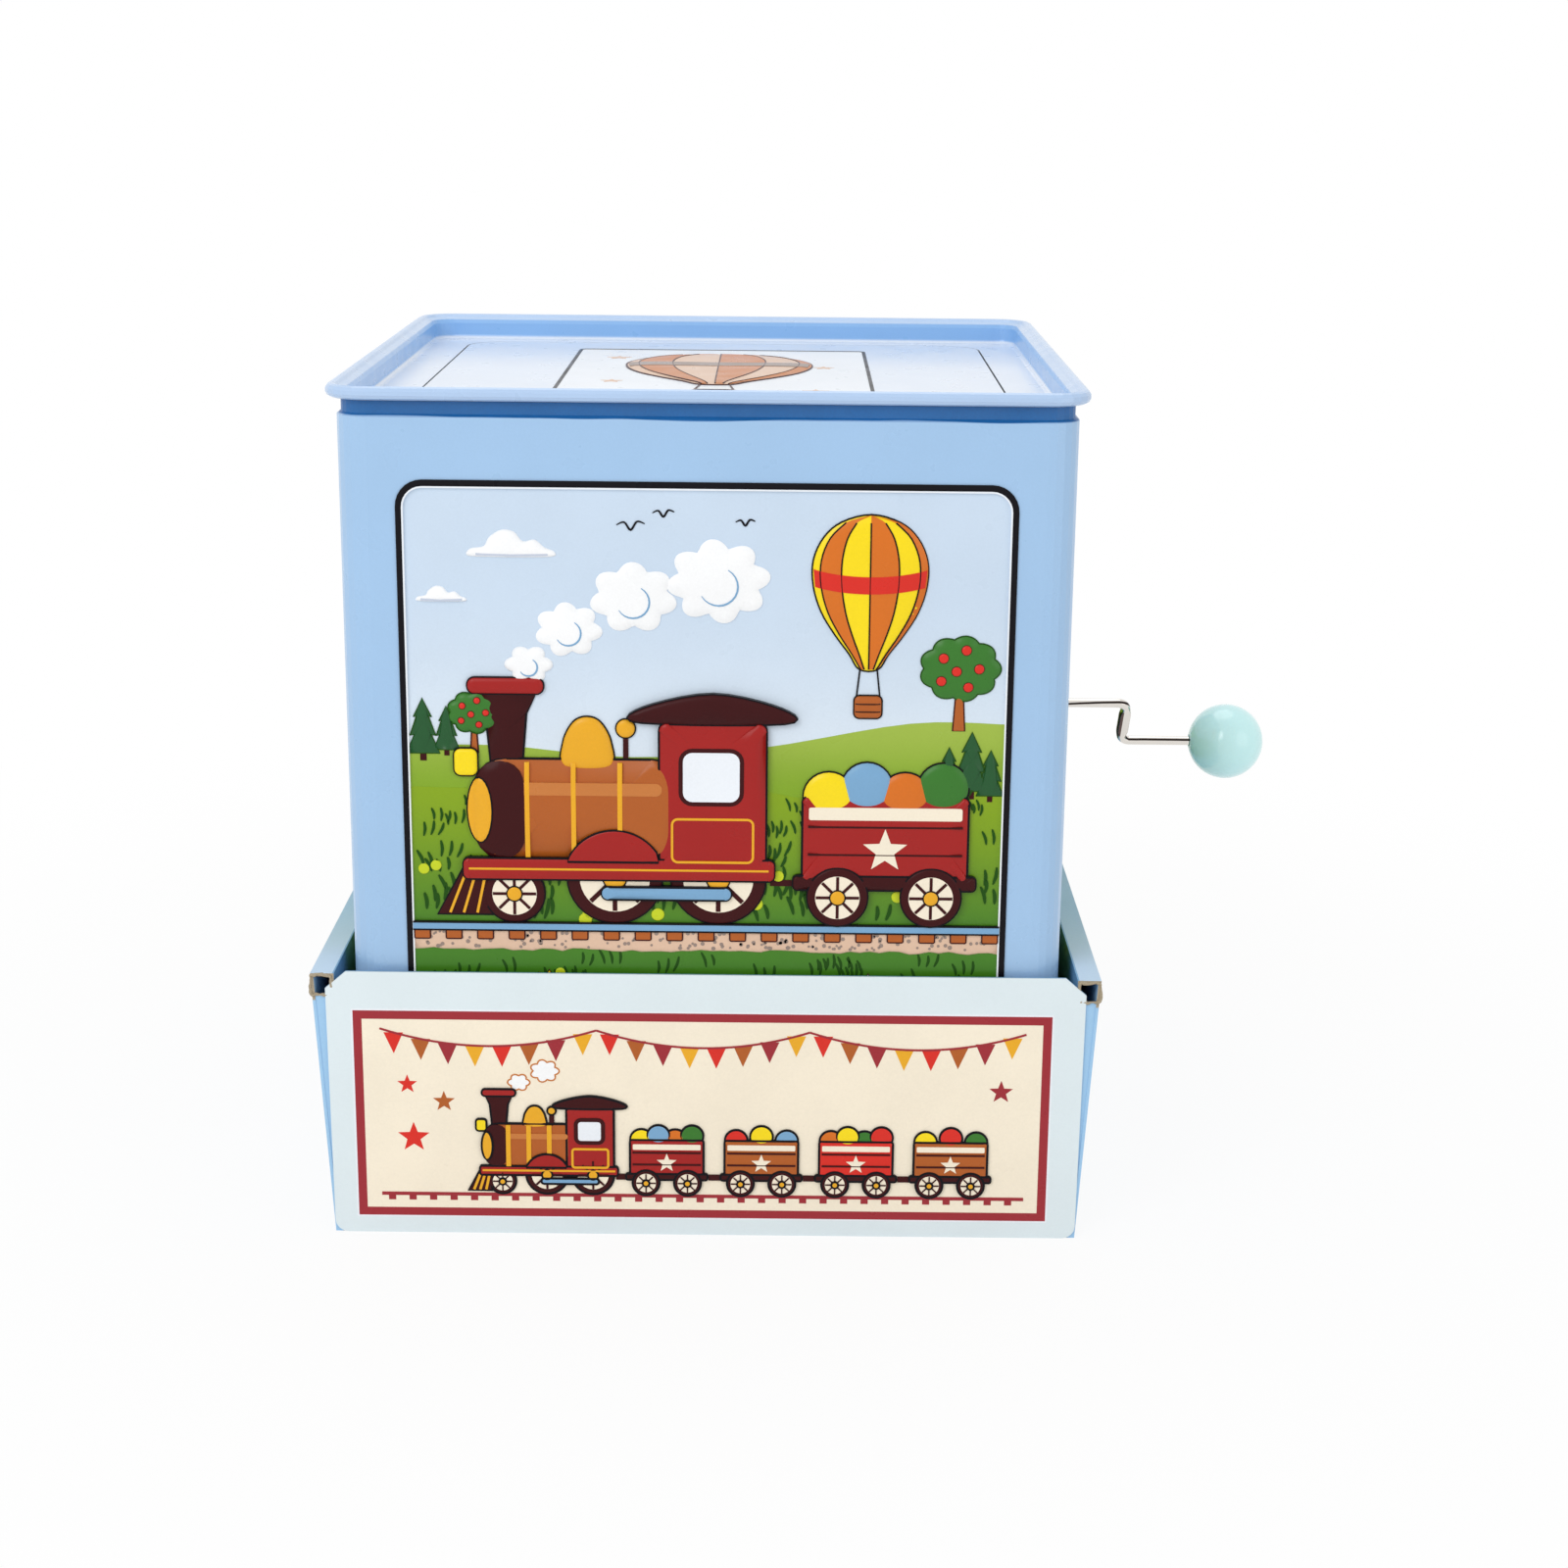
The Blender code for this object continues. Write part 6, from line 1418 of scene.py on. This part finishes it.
def lay_floor():
    """A white floor that keeps the object's shadow, and looks white to the camera beyond it."""
    finish = Finish("floor_white", 0.9, specular=0.0).colour(FLOOR_TONE)
    away = finish.new("ShaderNodeVectorMath", finish.new("ShaderNodeNewGeometry").outputs["Position"])
    away.operation = "LENGTH"
    rising = finish.band(away.outputs["Value"], FLOOR_NEAR, FLOOR_FAR, FLOOR_GLOW, 1.0)
    share = finish.math("MULTIPLY", finish.white_to_camera(), rising)
    glow = finish.new("ShaderNodeEmission", WHITE, 1.0)
    mixed = finish.new("ShaderNodeMixShader", share, finish.shader.outputs[0], glow.outputs[0])
    finish.put(finish.nodes["Material Output"].inputs["Surface"], mixed.outputs[0])
    mesh = bpy.data.meshes.new("floor")
    corners = [(x * FLOOR_HALF, y * FLOOR_HALF, 0.0) for x, y in ((-1, -1), (1, -1), (1, 1), (-1, 1))]
    mesh.from_pydata(corners, [], [(0, 1, 2, 3)])
    mesh.materials.append(finish.material)
    floor = new_object("floor", mesh)


# Finishes of the CAD's own pieces


def dress(material, *names):
    """Gives one material to some of the CAD's own pieces."""
    for name in names:
        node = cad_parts[name]
        node.data.materials.clear()
        node.data.materials.append(material)


def dress_frame():
    dress(case_finish(), "tin_case")
    dress(top_frame_finish(), "top_frame")
    dress(lid_finish(), "lid_panel")
    dress(card_finish(), "display_tray")
    dress(bare_tin_finish(), "base_panel", "spring_cup", "hinge_lug_left", "hinge_lug_right")
    steel = bare_tin_finish("plated_steel", (176, 178, 182), 0.3)
    dress(steel, "movement_frame", "crank_support", "lid_catch", "latch_lever", "comb_base")
    dress(bare_tin_finish("ground_steel", (198, 200, 204), 0.2), "comb")
    turned = wire_finish("turned_steel", (190, 192, 194), 0.22)
    dress(turned, "hinge_pin", "drum_axle", "axle_clip_front", "axle_clip_back", "latch_pivot", "spring_post")
    dress(turned, "crank_retainer", *(f"movement_rivet_{index}" for index in (1, 2, 3, 4)))
    brass = wire_finish("brass", (212, 170, 92), 0.24)
    dress(brass, "music_drum", "comb_clamp", "comb_screw_1", "comb_screw_2")
    white = plastic_finish("white_nylon", (232, 230, 222), 0.42)
    dress(white, "drum_gear", "release_cam", "crank_worm", "crank_bush", "figure_plate")


# Crank and knob, card edges and springs, which replace or join the CAD's own


def tube(path, radii, round_steps=20, closed=False):
    """A round tube through points, with one radius for each, or one for all."""
    path = np.array(path, float)
    radii = np.broadcast_to(radii, len(path))
    runs = runs_along(path, closed)
    side = np.cross(runs[0], (0.31, 0.17, 0.93))
    side /= np.linalg.norm(side)
    turns = np.linspace(0, math.tau, round_steps, endpoint=False)
    points = []
    for place, run, radius in zip(path, runs, radii):
        side = side - run * side.dot(run)
        side /= np.linalg.norm(side)
        other = np.cross(run, side)
        points.append(place + radius * (np.cos(turns)[:, None] * side + np.sin(turns)[:, None] * other))
    return np.concatenate(points), ring_faces(len(path), round_steps, closed)


def ring_faces(rings, steps, closed=False):
    """Faces that join rings of points, with the two ends capped unless the rings close."""
    faces = []
    for ring in range(rings if closed else rings - 1):
        here, there = ring * steps, (ring + 1) % rings * steps
        for step in range(steps):
            after = (step + 1) % steps
            faces.append([here + step, here + after, there + after, there + step])
    if not closed:
        faces.append(list(range(steps))[::-1])
        faces.append([(rings - 1) * steps + step for step in range(steps)])
    return faces


def spun(profile, steps):
    """A closed solid turned about z. The profile is (radius, height), from the axis back to it."""
    turns = np.linspace(0, math.tau, steps, endpoint=False)
    points, starts = [], []
    for radius, height in profile:
        starts.append(len(points))
        if radius < 1e-6:
            points.append((0.0, 0.0, height))
        else:
            points += [(radius * math.cos(turn), radius * math.sin(turn), height) for turn in turns]
    faces = []
    for index in range(len(profile) - 1):
        low, high = starts[index], starts[index + 1]
        low_point, high_point = profile[index][0] < 1e-6, profile[index + 1][0] < 1e-6
        for step in range(steps):
            after = (step + 1) % steps
            if low_point:
                faces.append([low, high + after, high + step])
            elif high_point:
                faces.append([low + step, low + after, high])
            else:
                faces.append([low + step, low + after, high + after, high + step])
    return np.array(points), faces


def make_crank_wire():
    """The bent wire, round along the shaft and handle, and pressed flat along its arm."""
    down = np.array((0, math.sin(CRANK_LEAN), -math.cos(CRANK_LEAN)))
    side = np.array((0, math.cos(CRANK_LEAN), math.sin(CRANK_LEAN)))
    ahead = np.array((1.0, 0, 0))
    upper = arc(CRANK_ARM_X - CRANK_BEND, CRANK_BEND, CRANK_BEND, -90, 0, 12)
    lower = arc(CRANK_ARM_X + CRANK_BEND, CRANK_ARM - CRANK_BEND, CRANK_BEND, 180, 90, 12)
    arm = [(CRANK_ARM_X, fall) for fall in np.linspace(CRANK_BEND, CRANK_ARM - CRANK_BEND, 14)[1:-1]]
    path = [(CRANK_START_X, 0), (TIN_HALF / MM, 0), *upper, *arm, *lower, (CRANK_END_X, CRANK_ARM)]
    steps = 32
    turns = np.linspace(0, math.tau, steps, endpoint=False)
    points = []
    for index, (x, fall) in enumerate(path):
        before, after = path[max(index - 1, 0)], path[min(index + 1, len(path) - 1)]
        run = ahead * (after[0] - before[0]) + down * (after[1] - before[1])
        across = np.cross(run / np.linalg.norm(run), side)
        near = min(fall, CRANK_ARM - fall)
        flat = min(max((near - CRANK_BEND / 2) / (CRANK_BEND / 2 + CRANK_FLAT_RUN), 0.0), 1.0)
        flat = flat * flat * (3 - 2 * flat)
        wide = CRANK_WIRE + (CRANK_FLAT_WIDTH - CRANK_WIRE) * flat
        thick = CRANK_WIRE + (CRANK_FLAT_THICKNESS - CRANK_WIRE) * flat
        square = 1 - 0.45 * flat
        middle = np.array((0, 0, CRANK_Z)) + ahead * x + down * fall
        for turn in turns[::-1]:
            c, s = math.cos(turn), math.sin(turn)
            c, s = math.copysign(abs(c) ** square, c), math.copysign(abs(s) ** square, s)
            points.append(middle + across * wide * c + side * thick * s)
    wire = Shell("crank_wire_bent", "crank")
    wire.add(points, ring_faces(len(path), steps), crank_finish())
    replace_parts(wire.finish("chrome_wire"), "crank_wire")


def make_knob():
    """The lacquered ball, with the bore that the handle turns in."""
    bore = CRANK_WIRE + KNOB_PLAY
    mouth = math.asin((bore + KNOB_CHAMFER) / KNOB_RADIUS)
    mouth_x = -KNOB_RADIUS * math.cos(mouth)
    bore_end = KNOB_BORE - KNOB_RADIUS
    profile = [(0.0, bore_end), (bore, bore_end), (bore, mouth_x + KNOB_CHAMFER), (bore + 0.1, mouth_x + 0.1)]
    angles = np.linspace(mouth, math.pi, 60)[:-1]
    profile += [(KNOB_RADIUS * math.sin(angle), -KNOB_RADIUS * math.cos(angle)) for angle in angles]
    points, faces = spun([*profile, (0.0, KNOB_RADIUS)], 96)
    knob = Shell("ball_knob", "knob")
    lacquer = plastic_finish("aqua_lacquer", (207, 250, 250), 0.14, 0.5, 0.012)
    knob.add(points[:, [2, 0, 1]] + (KNOB_X, KNOB_Y, KNOB_Z), faces, lacquer)
    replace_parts(knob.finish("aqua_plastic"), "crank_knob")


def make_card_edges():
    """The rough, curled edges of the card round the open ends of the tray's side walls."""
    edges = Shell("card_edges", "tray")
    material = torn_card_finish()
    rng = random.Random(5)
    for way in (-1, 1):
        for side in (-1, 1):
            top = WALL_TOP_Z / MM
            low = top - MOUTH_HEIGHT
            inner, outer = WALL_INNER_X / MM + 0.7, WALL_OUTER_X / MM - 0.1
            ring = resampled(panel(inner + 0.2, low + 0.1, outer, top - 0.35, 0.5, 4), 0.35, True)
            path, radii = [], []
            for index, (x, z) in enumerate(ring):
                bend = noise.noise(Vector((index * 0.27, way * 7.3, side * 5.1)))
                sag = noise.noise(Vector((index * 0.31, way * 2.9, side * 9.3)))
                y = -TRAY_FRONT_Y / MM - 0.3 + 0.2 * bend
                path.append((side * (x + 0.4 * bend), way * y, z + 0.35 * sag + rng.uniform(-0.06, 0.06)))
                radii.append(0.3 + 0.22 * noise.noise(Vector((index * 0.4, way * 3.1, side * 1.7))))
            if way * side < 0:
                path.reverse()
                radii.reverse()
            edges.add(*tube(path, radii, 7, True), material)
    edges.finish("tray_card")


def coil(middle, radius, low, high, curls, steps):
    """A spring's centre line, rising anticlockwise."""
    turns = np.linspace(0, math.tau * curls, curls * steps + 1)
    heights = np.linspace(low, high, len(turns))
    points = np.stack([middle[0] + radius * np.cos(turns), middle[1] + radius * np.sin(turns), heights], 1)
    straight = 0.0, radius * 0.07, 0.0
    return np.concatenate([[points[0] - straight], points, [points[-1] + straight]])


def make_springs():
    """The figure's spring, which stretches as the figure rises, and the small one behind the latch."""
    steel = wire_finish("spring_steel", (178, 180, 184), 0.2)
    spring = Shell("figure_coil")
    spring.add(*tube(coil((0, 0), **FIGURE_COIL), FIGURE_WIRE, 12), steel)
    spring = spring.finish("steel")
    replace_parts(spring, "figure_spring")
    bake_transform(spring)
    small = Shell("latch_coil")
    small.add(*tube(coil(LATCH_SPRING, **LATCH_COIL), LATCH_WIRE, 10), steel)
    small = small.finish("steel")
    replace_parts(small, "latch_spring")
    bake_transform(small)


# Figure: each soft piece lies in its solid's space


def globe(level):
    """An icosphere's directions and faces."""
    bm = bmesh.new()
    bmesh.ops.create_icosphere(bm, subdivisions=level, radius=1.0)
    bm.verts.ensure_lookup_table()
    directions = np.array([vert.co[:] for vert in bm.verts])
    faces = [[vert.index for vert in face.verts] for face in bm.faces]
    bm.free()
    return directions, faces


def lumps(points, size, depth):
    """Soft unevenness, as stuffing gives."""
    return np.array([noise.noise(Vector(point) / size) for point in points]) * depth


def add_pile(shell, points, faces, material, length, seed, spacing=1.0, skip=None):
    """Short closed tufts over a surface of triangles, combed downward."""
    rng = np.random.default_rng(seed)
    triangles = np.array(points)[np.array(faces)]
    normals = np.cross(triangles[:, 1] - triangles[:, 0], triangles[:, 2] - triangles[:, 0])
    areas = np.linalg.norm(normals, axis=1) / 2
    normals /= np.maximum(np.linalg.norm(normals, axis=1), 1e-12)[:, None]
    count = int(areas.sum() / spacing**2)
    picked = rng.choice(len(areas), count, p=areas / areas.sum())
    a, b = rng.random(count), rng.random(count)
    flip = a + b > 1
    a[flip], b[flip] = 1 - a[flip], 1 - b[flip]
    first, second, third = triangles[picked].transpose(1, 0, 2)
    roots = first + a[:, None] * (second - first) + b[:, None] * (third - first)
    up = normals[picked]
    if skip is not None:
        keep = ~skip(roots)
        roots, up = roots[keep], up[keep]
        count = len(roots)
    lean = np.array(PILE_COMB) + rng.normal(0, 0.22, (count, 3))
    lean -= up * (lean * up).sum(1)[:, None]
    tall = length * rng.uniform(0.75, 1.0, count)[:, None]
    tips = roots + (up + lean * 0.8) * tall * 0.85
    side = np.cross(up, rng.normal(size=(count, 3)))
    side /= np.linalg.norm(side, axis=1)[:, None]
    other = np.cross(up, side)
    wide = 0.3 * spacing
    base = roots - up * 0.3
    turns = (0, math.tau / 3, 2 * math.tau / 3)
    corners = [base + wide * (math.cos(turn) * side + math.sin(turn) * other) for turn in turns]
    points = np.stack([*corners, tips], 1).reshape(-1, 3)
    faces = []
    for root in range(0, 4 * count, 4):
        faces += [[root, root + 2, root + 1], [root, root + 1, root + 3]]
        faces += [[root + 1, root + 2, root + 3], [root + 2, root, root + 3]]
    shell.add(points, faces, material)


def near_any(spots):
    """A test of whether points lie within reach of any of some spots, given as (x, y, z, reach)."""

    def test(points):
        found = np.zeros(len(points), bool)
        for x, y, z, reach in spots:
            found |= np.linalg.norm(points - (x, y, z), axis=1) < reach
        return found

    return test


def plush(name, node, points, faces, tone, length, seed, slot_name, skip, spacing):
    """A stuffed piece with its backing cloth and its pile."""
    shell = Shell(name, "figure")
    shell.add(points, faces, pile_finish(f"{name}_backing", tone, True))
    add_pile(shell, points, faces, pile_finish(f"{name}_pile", tone), length, seed, spacing, skip)
    piece = shell.finish(slot_name)
    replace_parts(piece, node)


def groove(distance, depth, width):
    """How deep a seam draws the cloth in."""
    return depth * np.exp(-((distance / width) ** 2))


def make_head():
    """The head, with seams over the crown and under the chin."""
    directions, faces = globe(6)
    points = directions * (HEAD_RADII - PILE)
    seam = groove(np.abs(points[:, 0]) - HEAD_SEAM, 0.8, 0.8) * (points[:, 2] > -2)
    seam += groove(points[:, 0], 0.8, 0.8) * (points[:, 2] <= -2)
    points += directions * (lumps(points, 11.0, 0.5) - 0.3 - seam)[:, None]
    points += HEAD
    bare = [(x, -23.3, EYE_Z, 2.7) for x, _ in EYES]
    hidden = near_any(bare + [(*MUZZLE, 8.0)])

    def skip(roots):
        local = roots - HEAD
        on_seam = (np.abs(np.abs(local[:, 0]) - HEAD_SEAM) < 0.3) & (local[:, 2] > -2)
        return hidden(roots) | on_seam

    plush("plush_head", "figure_head", points, faces, TAN_PLUSH, PILE, 3, "tan_plush", skip, 0.95)


def make_muzzle():
    """The muzzle and the stitched mouth on it."""
    directions, faces = globe(5)
    points = directions * (MUZZLE_RADII - 0.8)
    seam = groove(points[:, 0], 0.6, 0.6) * (points[:, 2] < 3) * (points[:, 1] < 0)
    points += directions * (lumps(points, 6.0, 0.3) - 0.15 - seam)[:, None]
    points += MUZZLE
    skip = near_any([(*NOSE, 4.0), (0, -14.0, 124.0, 9.0)])
    name, node = "plush_muzzle", "figure_muzzle"
    plush(name, node, points, faces, CREAM_PLUSH, 0.75, 5, "cream_plush", skip, 0.75)
    stitch = Shell("mouth_stitches", "figure")
    thread = cloth_finish("brown_thread", (74, 38, 26))
    for path in (
        [(0, 125.3), (0, 123.5), (0, 121.6)],
        [(0, 121.6), (1.8, 120.2), (3.9, 119.9), (5.6, 120.9)],
        [(0, 121.6), (-1.8, 120.2), (-3.9, 119.9), (-5.6, 120.9)],
    ):
        flat = curve(path, False, 8)
        x, z = flat[:, 0], flat[:, 1]
        reach = np.sqrt(1 - (x / MUZZLE_RADII[0]) ** 2 - ((z - MUZZLE[2]) / MUZZLE_RADII[2]) ** 2)
        stitch.add(*tube(np.stack([x, MUZZLE[1] - 9.9 * reach, z], 1), 0.34, 8), thread)
    stitch.finish("cream_plush")


def make_ears():
    """The ears, tan outside and cream in their cups."""
    directions, faces = globe(5)
    for side, label in ((1, "right"), (-1, "left")):
        points = directions * (EAR_RADII - 0.8)
        across = np.clip(directions[:, 0] ** 2 + directions[:, 2] ** 2, 0, 1)
        points[:, 1] += 2.2 * (1 - across) ** 1.4 * (directions[:, 1] < 0)
        points += directions * (lumps(points, 5.0, 0.25) - 0.1)[:, None]
        points += (side * EAR[0], 0, EAR[1])
        middle = np.array((side * EAR[0], -1.0, EAR[1]))
        shell = Shell(f"plush_ear_{label}", "figure")
        centres = points[np.array(faces)].mean(1) - middle
        inside = (np.hypot(centres[:, 0], centres[:, 2]) < 5.4) & (centres[:, 1] < 0.6)
        outer = [face for face, cup in zip(faces, inside) if not cup]
        inner = [face for face, cup in zip(faces, inside) if cup]
        start = shell.add_points(points)
        shell.add_faces(outer, pile_finish(f"ear_{label}_backing", TAN_PLUSH, True), start)
        shell.add_faces(inner, pile_finish(f"ear_{label}_lining", CREAM_PLUSH), start)
        skip = near_any([(*HEAD, 25.0)])
        add_pile(shell, points, outer, pile_finish(f"ear_{label}_pile", TAN_PLUSH), 0.8, 7 + side, 0.85, skip)
        add_pile(shell, points, inner, pile_finish(f"ear_{label}_down", CREAM_PLUSH), 0.5, 9 + side, 0.7)
        piece = shell.finish("tan_plush")
        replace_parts(piece, f"figure_ear_{label}")


def make_arms():
    """The arms, each with a crease at its wrist."""
    directions, faces = globe(5)
    for side, label in ((1, "right"), (-1, "left")):
        shoulder, paw = np.array(SHOULDER) * (side, 1, 1), np.array(PAW) * (side, 1, 1)
        along = paw - shoulder
        half = np.linalg.norm(along) / 2
        along /= 2 * half
        share = directions @ along
        slide = np.clip(share * 2.6, -1, 1)
        radii = ARM_RADIUS + 0.4 * (slide + 1) / 2 - 0.9
        points = (shoulder + paw) / 2 + along * (half * slide)[:, None] + directions * radii[:, None]
        crease = groove(slide * half - half * 0.55, 0.7, 1.0)
        points += directions * (lumps(points, 5.0, 0.3) - 0.15 - crease)[:, None]
        name, node = f"plush_arm_{label}", f"figure_arm_{label}"
        skip = near_any([(*HEAD, 24.0), (0, 0, 92, 16.0)])
        plush(name, node, points, faces, TAN_PLUSH, 0.9, 20 + side, "tan_plush", skip, 0.9)


def make_torso():
    """A stuffed cloth body of six gores."""
    shares = ((0, 0.0), (0, 0.6), (0.0, 0.86), (0.05, 0.93), (0.12, 0.97), (0.3, 0.99), (0.5, 0.96))
    shares += ((0.68, 0.87), (0.84, 0.71), (0.97, 0.53), (1.04, 0.4), (1.1, 0.3), (1.1, 0.0))
    line = curve([(wide * TORSO_RADIUS, TORSO_FOOT + TORSO_HEIGHT * up) for up, wide in shares], False, 5)
    line[:, 0] = np.maximum(line[:, 0], 0)
    line[0, 0] = line[-1, 0] = 0
    keep = [0] + [index for index in range(1, len(line) - 1) if line[index, 0] > 0.5] + [len(line) - 1]
    points, faces = spun([tuple(line[index]) for index in keep], 144)
    turns = np.arctan2(points[:, 1], points[:, 0])
    reach = np.hypot(points[:, 0], points[:, 1])
    off = np.abs((turns * TORSO_GORES / math.tau + 0.5) % 1 - 0.5) * math.tau / TORSO_GORES * reach
    rows = (points[:, 2] - 79.4) / TORSO_HEIGHT
    side = np.clip(np.sin(np.clip(rows, 0, 1) * math.pi) * 3, 0, 1)
    pucker = 1 + 0.5 * np.sin(points[:, 2] * math.tau / 2.4)
    depth = groove(off, 0.55, 0.8) * side * pucker - lumps(points, 9.0, 0.25) * side
    points[:, :2] *= (1 - (depth + 0.15 * side) / np.maximum(reach, 4.0))[:, None]
    shell = Shell("cloth_torso", "figure")
    shell.add(points, faces, cloth_finish("red_felt", (168, 26, 24), 0.6 * MM, 0.5))
    piece = shell.finish("red_cloth")
    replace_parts(piece, "figure_torso")


def make_bow():
    """Two stuffed loops with pleats that run into a wrapped knot."""
    shell = Shell("bow_tie_cloth", "figure")
    cloth = cloth_finish("red_ribbon", (196, 30, 28), 0.4 * MM, 0.4)
    steps = 72
    turns = np.linspace(0, math.tau, steps, endpoint=False)
    for side in (-1, 1):
        rings = []
        for share in np.linspace(0.04, 1.0, 26):
            x = side * LOOP_REACH * share
            swell = np.interp(share, (0, 0.18, 0.5, 0.85, 1.0), (0.45, 0.42, 0.78, 0.97, 0.62))
            pleat = 0.16 * (1 - share) * np.cos(7 * turns) + 0.05 * np.cos(4 * turns + 1.0) * share
            radius = LOOP_RADIUS * swell * (1 + pleat)
            y = LOOP_Y + 0.86 * radius * np.cos(turns)
            z = KNOT[2] + radius * np.sin(turns)
            rings.append(np.stack([np.full(steps, x), y, z], 1))
        last = rings[-1]
        tip = last.mean(0)
        for share, out in ((0.8, 0.25), (0.45, 0.32), (0.1, 0.34)):
            rings.append(tip + (last - tip) * share + (side * out, 0, 0))
        if side < 0:
            rings = rings[::-1]
        shell.add(np.concatenate(rings), ring_faces(len(rings), steps), cloth)
    directions, faces = globe(5)
    power = np.sign(directions) * np.abs(directions) ** 0.75
    knot = power * KNOT_RADII
    knot += directions * (0.12 * np.cos(directions[:, 0] * 16) * (np.abs(directions[:, 0]) < 0.8))[:, None]
    shell.add(knot + KNOT, faces, cloth)
    piece = shell.finish("red_cloth")
    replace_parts(piece, "bow_tie")


def make_sleeve():
    """The pleated cloth sleeve round the spring, from the cup to the figure's plate."""
    per_fold, around = 16, 132
    rows = list(SLEEVE_CUFF)
    for step in range(SLEEVE_FOLDS * per_fold + 1):
        share = step / per_fold
        swell = SLEEVE_SWELL * (1 - math.cos(math.tau * share))
        rows.append((SLEEVE_FOOT + SLEEVE_RUN * share / SLEEVE_FOLDS, SLEEVE_RADIUS + swell))
    turns = np.linspace(0, math.tau, around, endpoint=False)
    loops = []
    for index, (z, radius) in enumerate(rows):
        free = min((index - 1) / 6, (len(rows) - 1 - index) / 6, 1) if index > 1 else 0
        wave = np.array([noise.noise(Vector((4 * math.cos(t), 4 * math.sin(t), z / 6))) for t in turns])
        gather = np.sin(26 * turns + 0.2 * z + 1.5 * np.sin(3 * turns))
        reach = radius + free * (0.25 * wave + 0.2 * gather)
        loops.append(np.stack([reach * np.cos(turns), reach * np.sin(turns), np.full(around, z)], 1))
    inner = []
    for loop in loops[::-1]:
        reach = np.hypot(loop[:, 0], loop[:, 1])
        inner.append(loop * np.stack([1 - SLEEVE_WALL / reach, 1 - SLEEVE_WALL / reach, np.ones(around)], 1))
    loops += inner
    sleeve = Shell("pleated_sleeve")
    faces = ring_faces(len(loops), around, True)
    sleeve.add(np.concatenate(loops), faces, cloth_finish("blue_voile", (96, 150, 205), 0.5 * MM))
    piece = sleeve.finish("blue_cloth")
    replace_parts(piece, "figure_sleeve")
    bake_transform(piece)


def make_face():
    """Glossy eyes and a nose."""
    directions, faces = globe(5)
    gloss = plastic_finish("black_gloss", (12, 10, 10), 0.16, 0.25)
    for x, label in EYES:
        eye = Shell(f"glass_eye_{label}", "figure")
        eye.add(directions * EYE_RADIUS + (x, -23.33, EYE_Z), faces, gloss)
        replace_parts(eye.finish("black_plastic"), f"figure_eye_{label}")
    shape = np.sign(directions) * np.abs(directions) ** 0.9 * NOSE_RADII
    shape[:, 0] *= (1 + 0.12 * directions[:, 2]) / 1.12
    nose = Shell("button_nose", "figure")
    nose.add(shape + NOSE, faces, gloss)
    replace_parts(nose.finish("black_plastic"), "figure_nose")


aim_camera()
light_stage()
lay_floor()
dress_frame()
train_picture("front_picture", on_front, 11)
balloon_picture("left_picture", on_left, 23, LEFT_BALLOONS)
balloon_picture("right_picture", on_right, 31, RIGHT_BALLOONS)
balloon_picture("back_picture", on_back, 47, BACK_BALLOONS)
lid_picture()
tray_label()
make_crank_wire()
make_knob()
make_card_edges()
make_springs()
make_head()
make_muzzle()
make_ears()
make_arms()
make_torso()
make_bow()
make_face()
make_sleeve()

bpy.context.scene.view_settings.view_transform = "Standard"
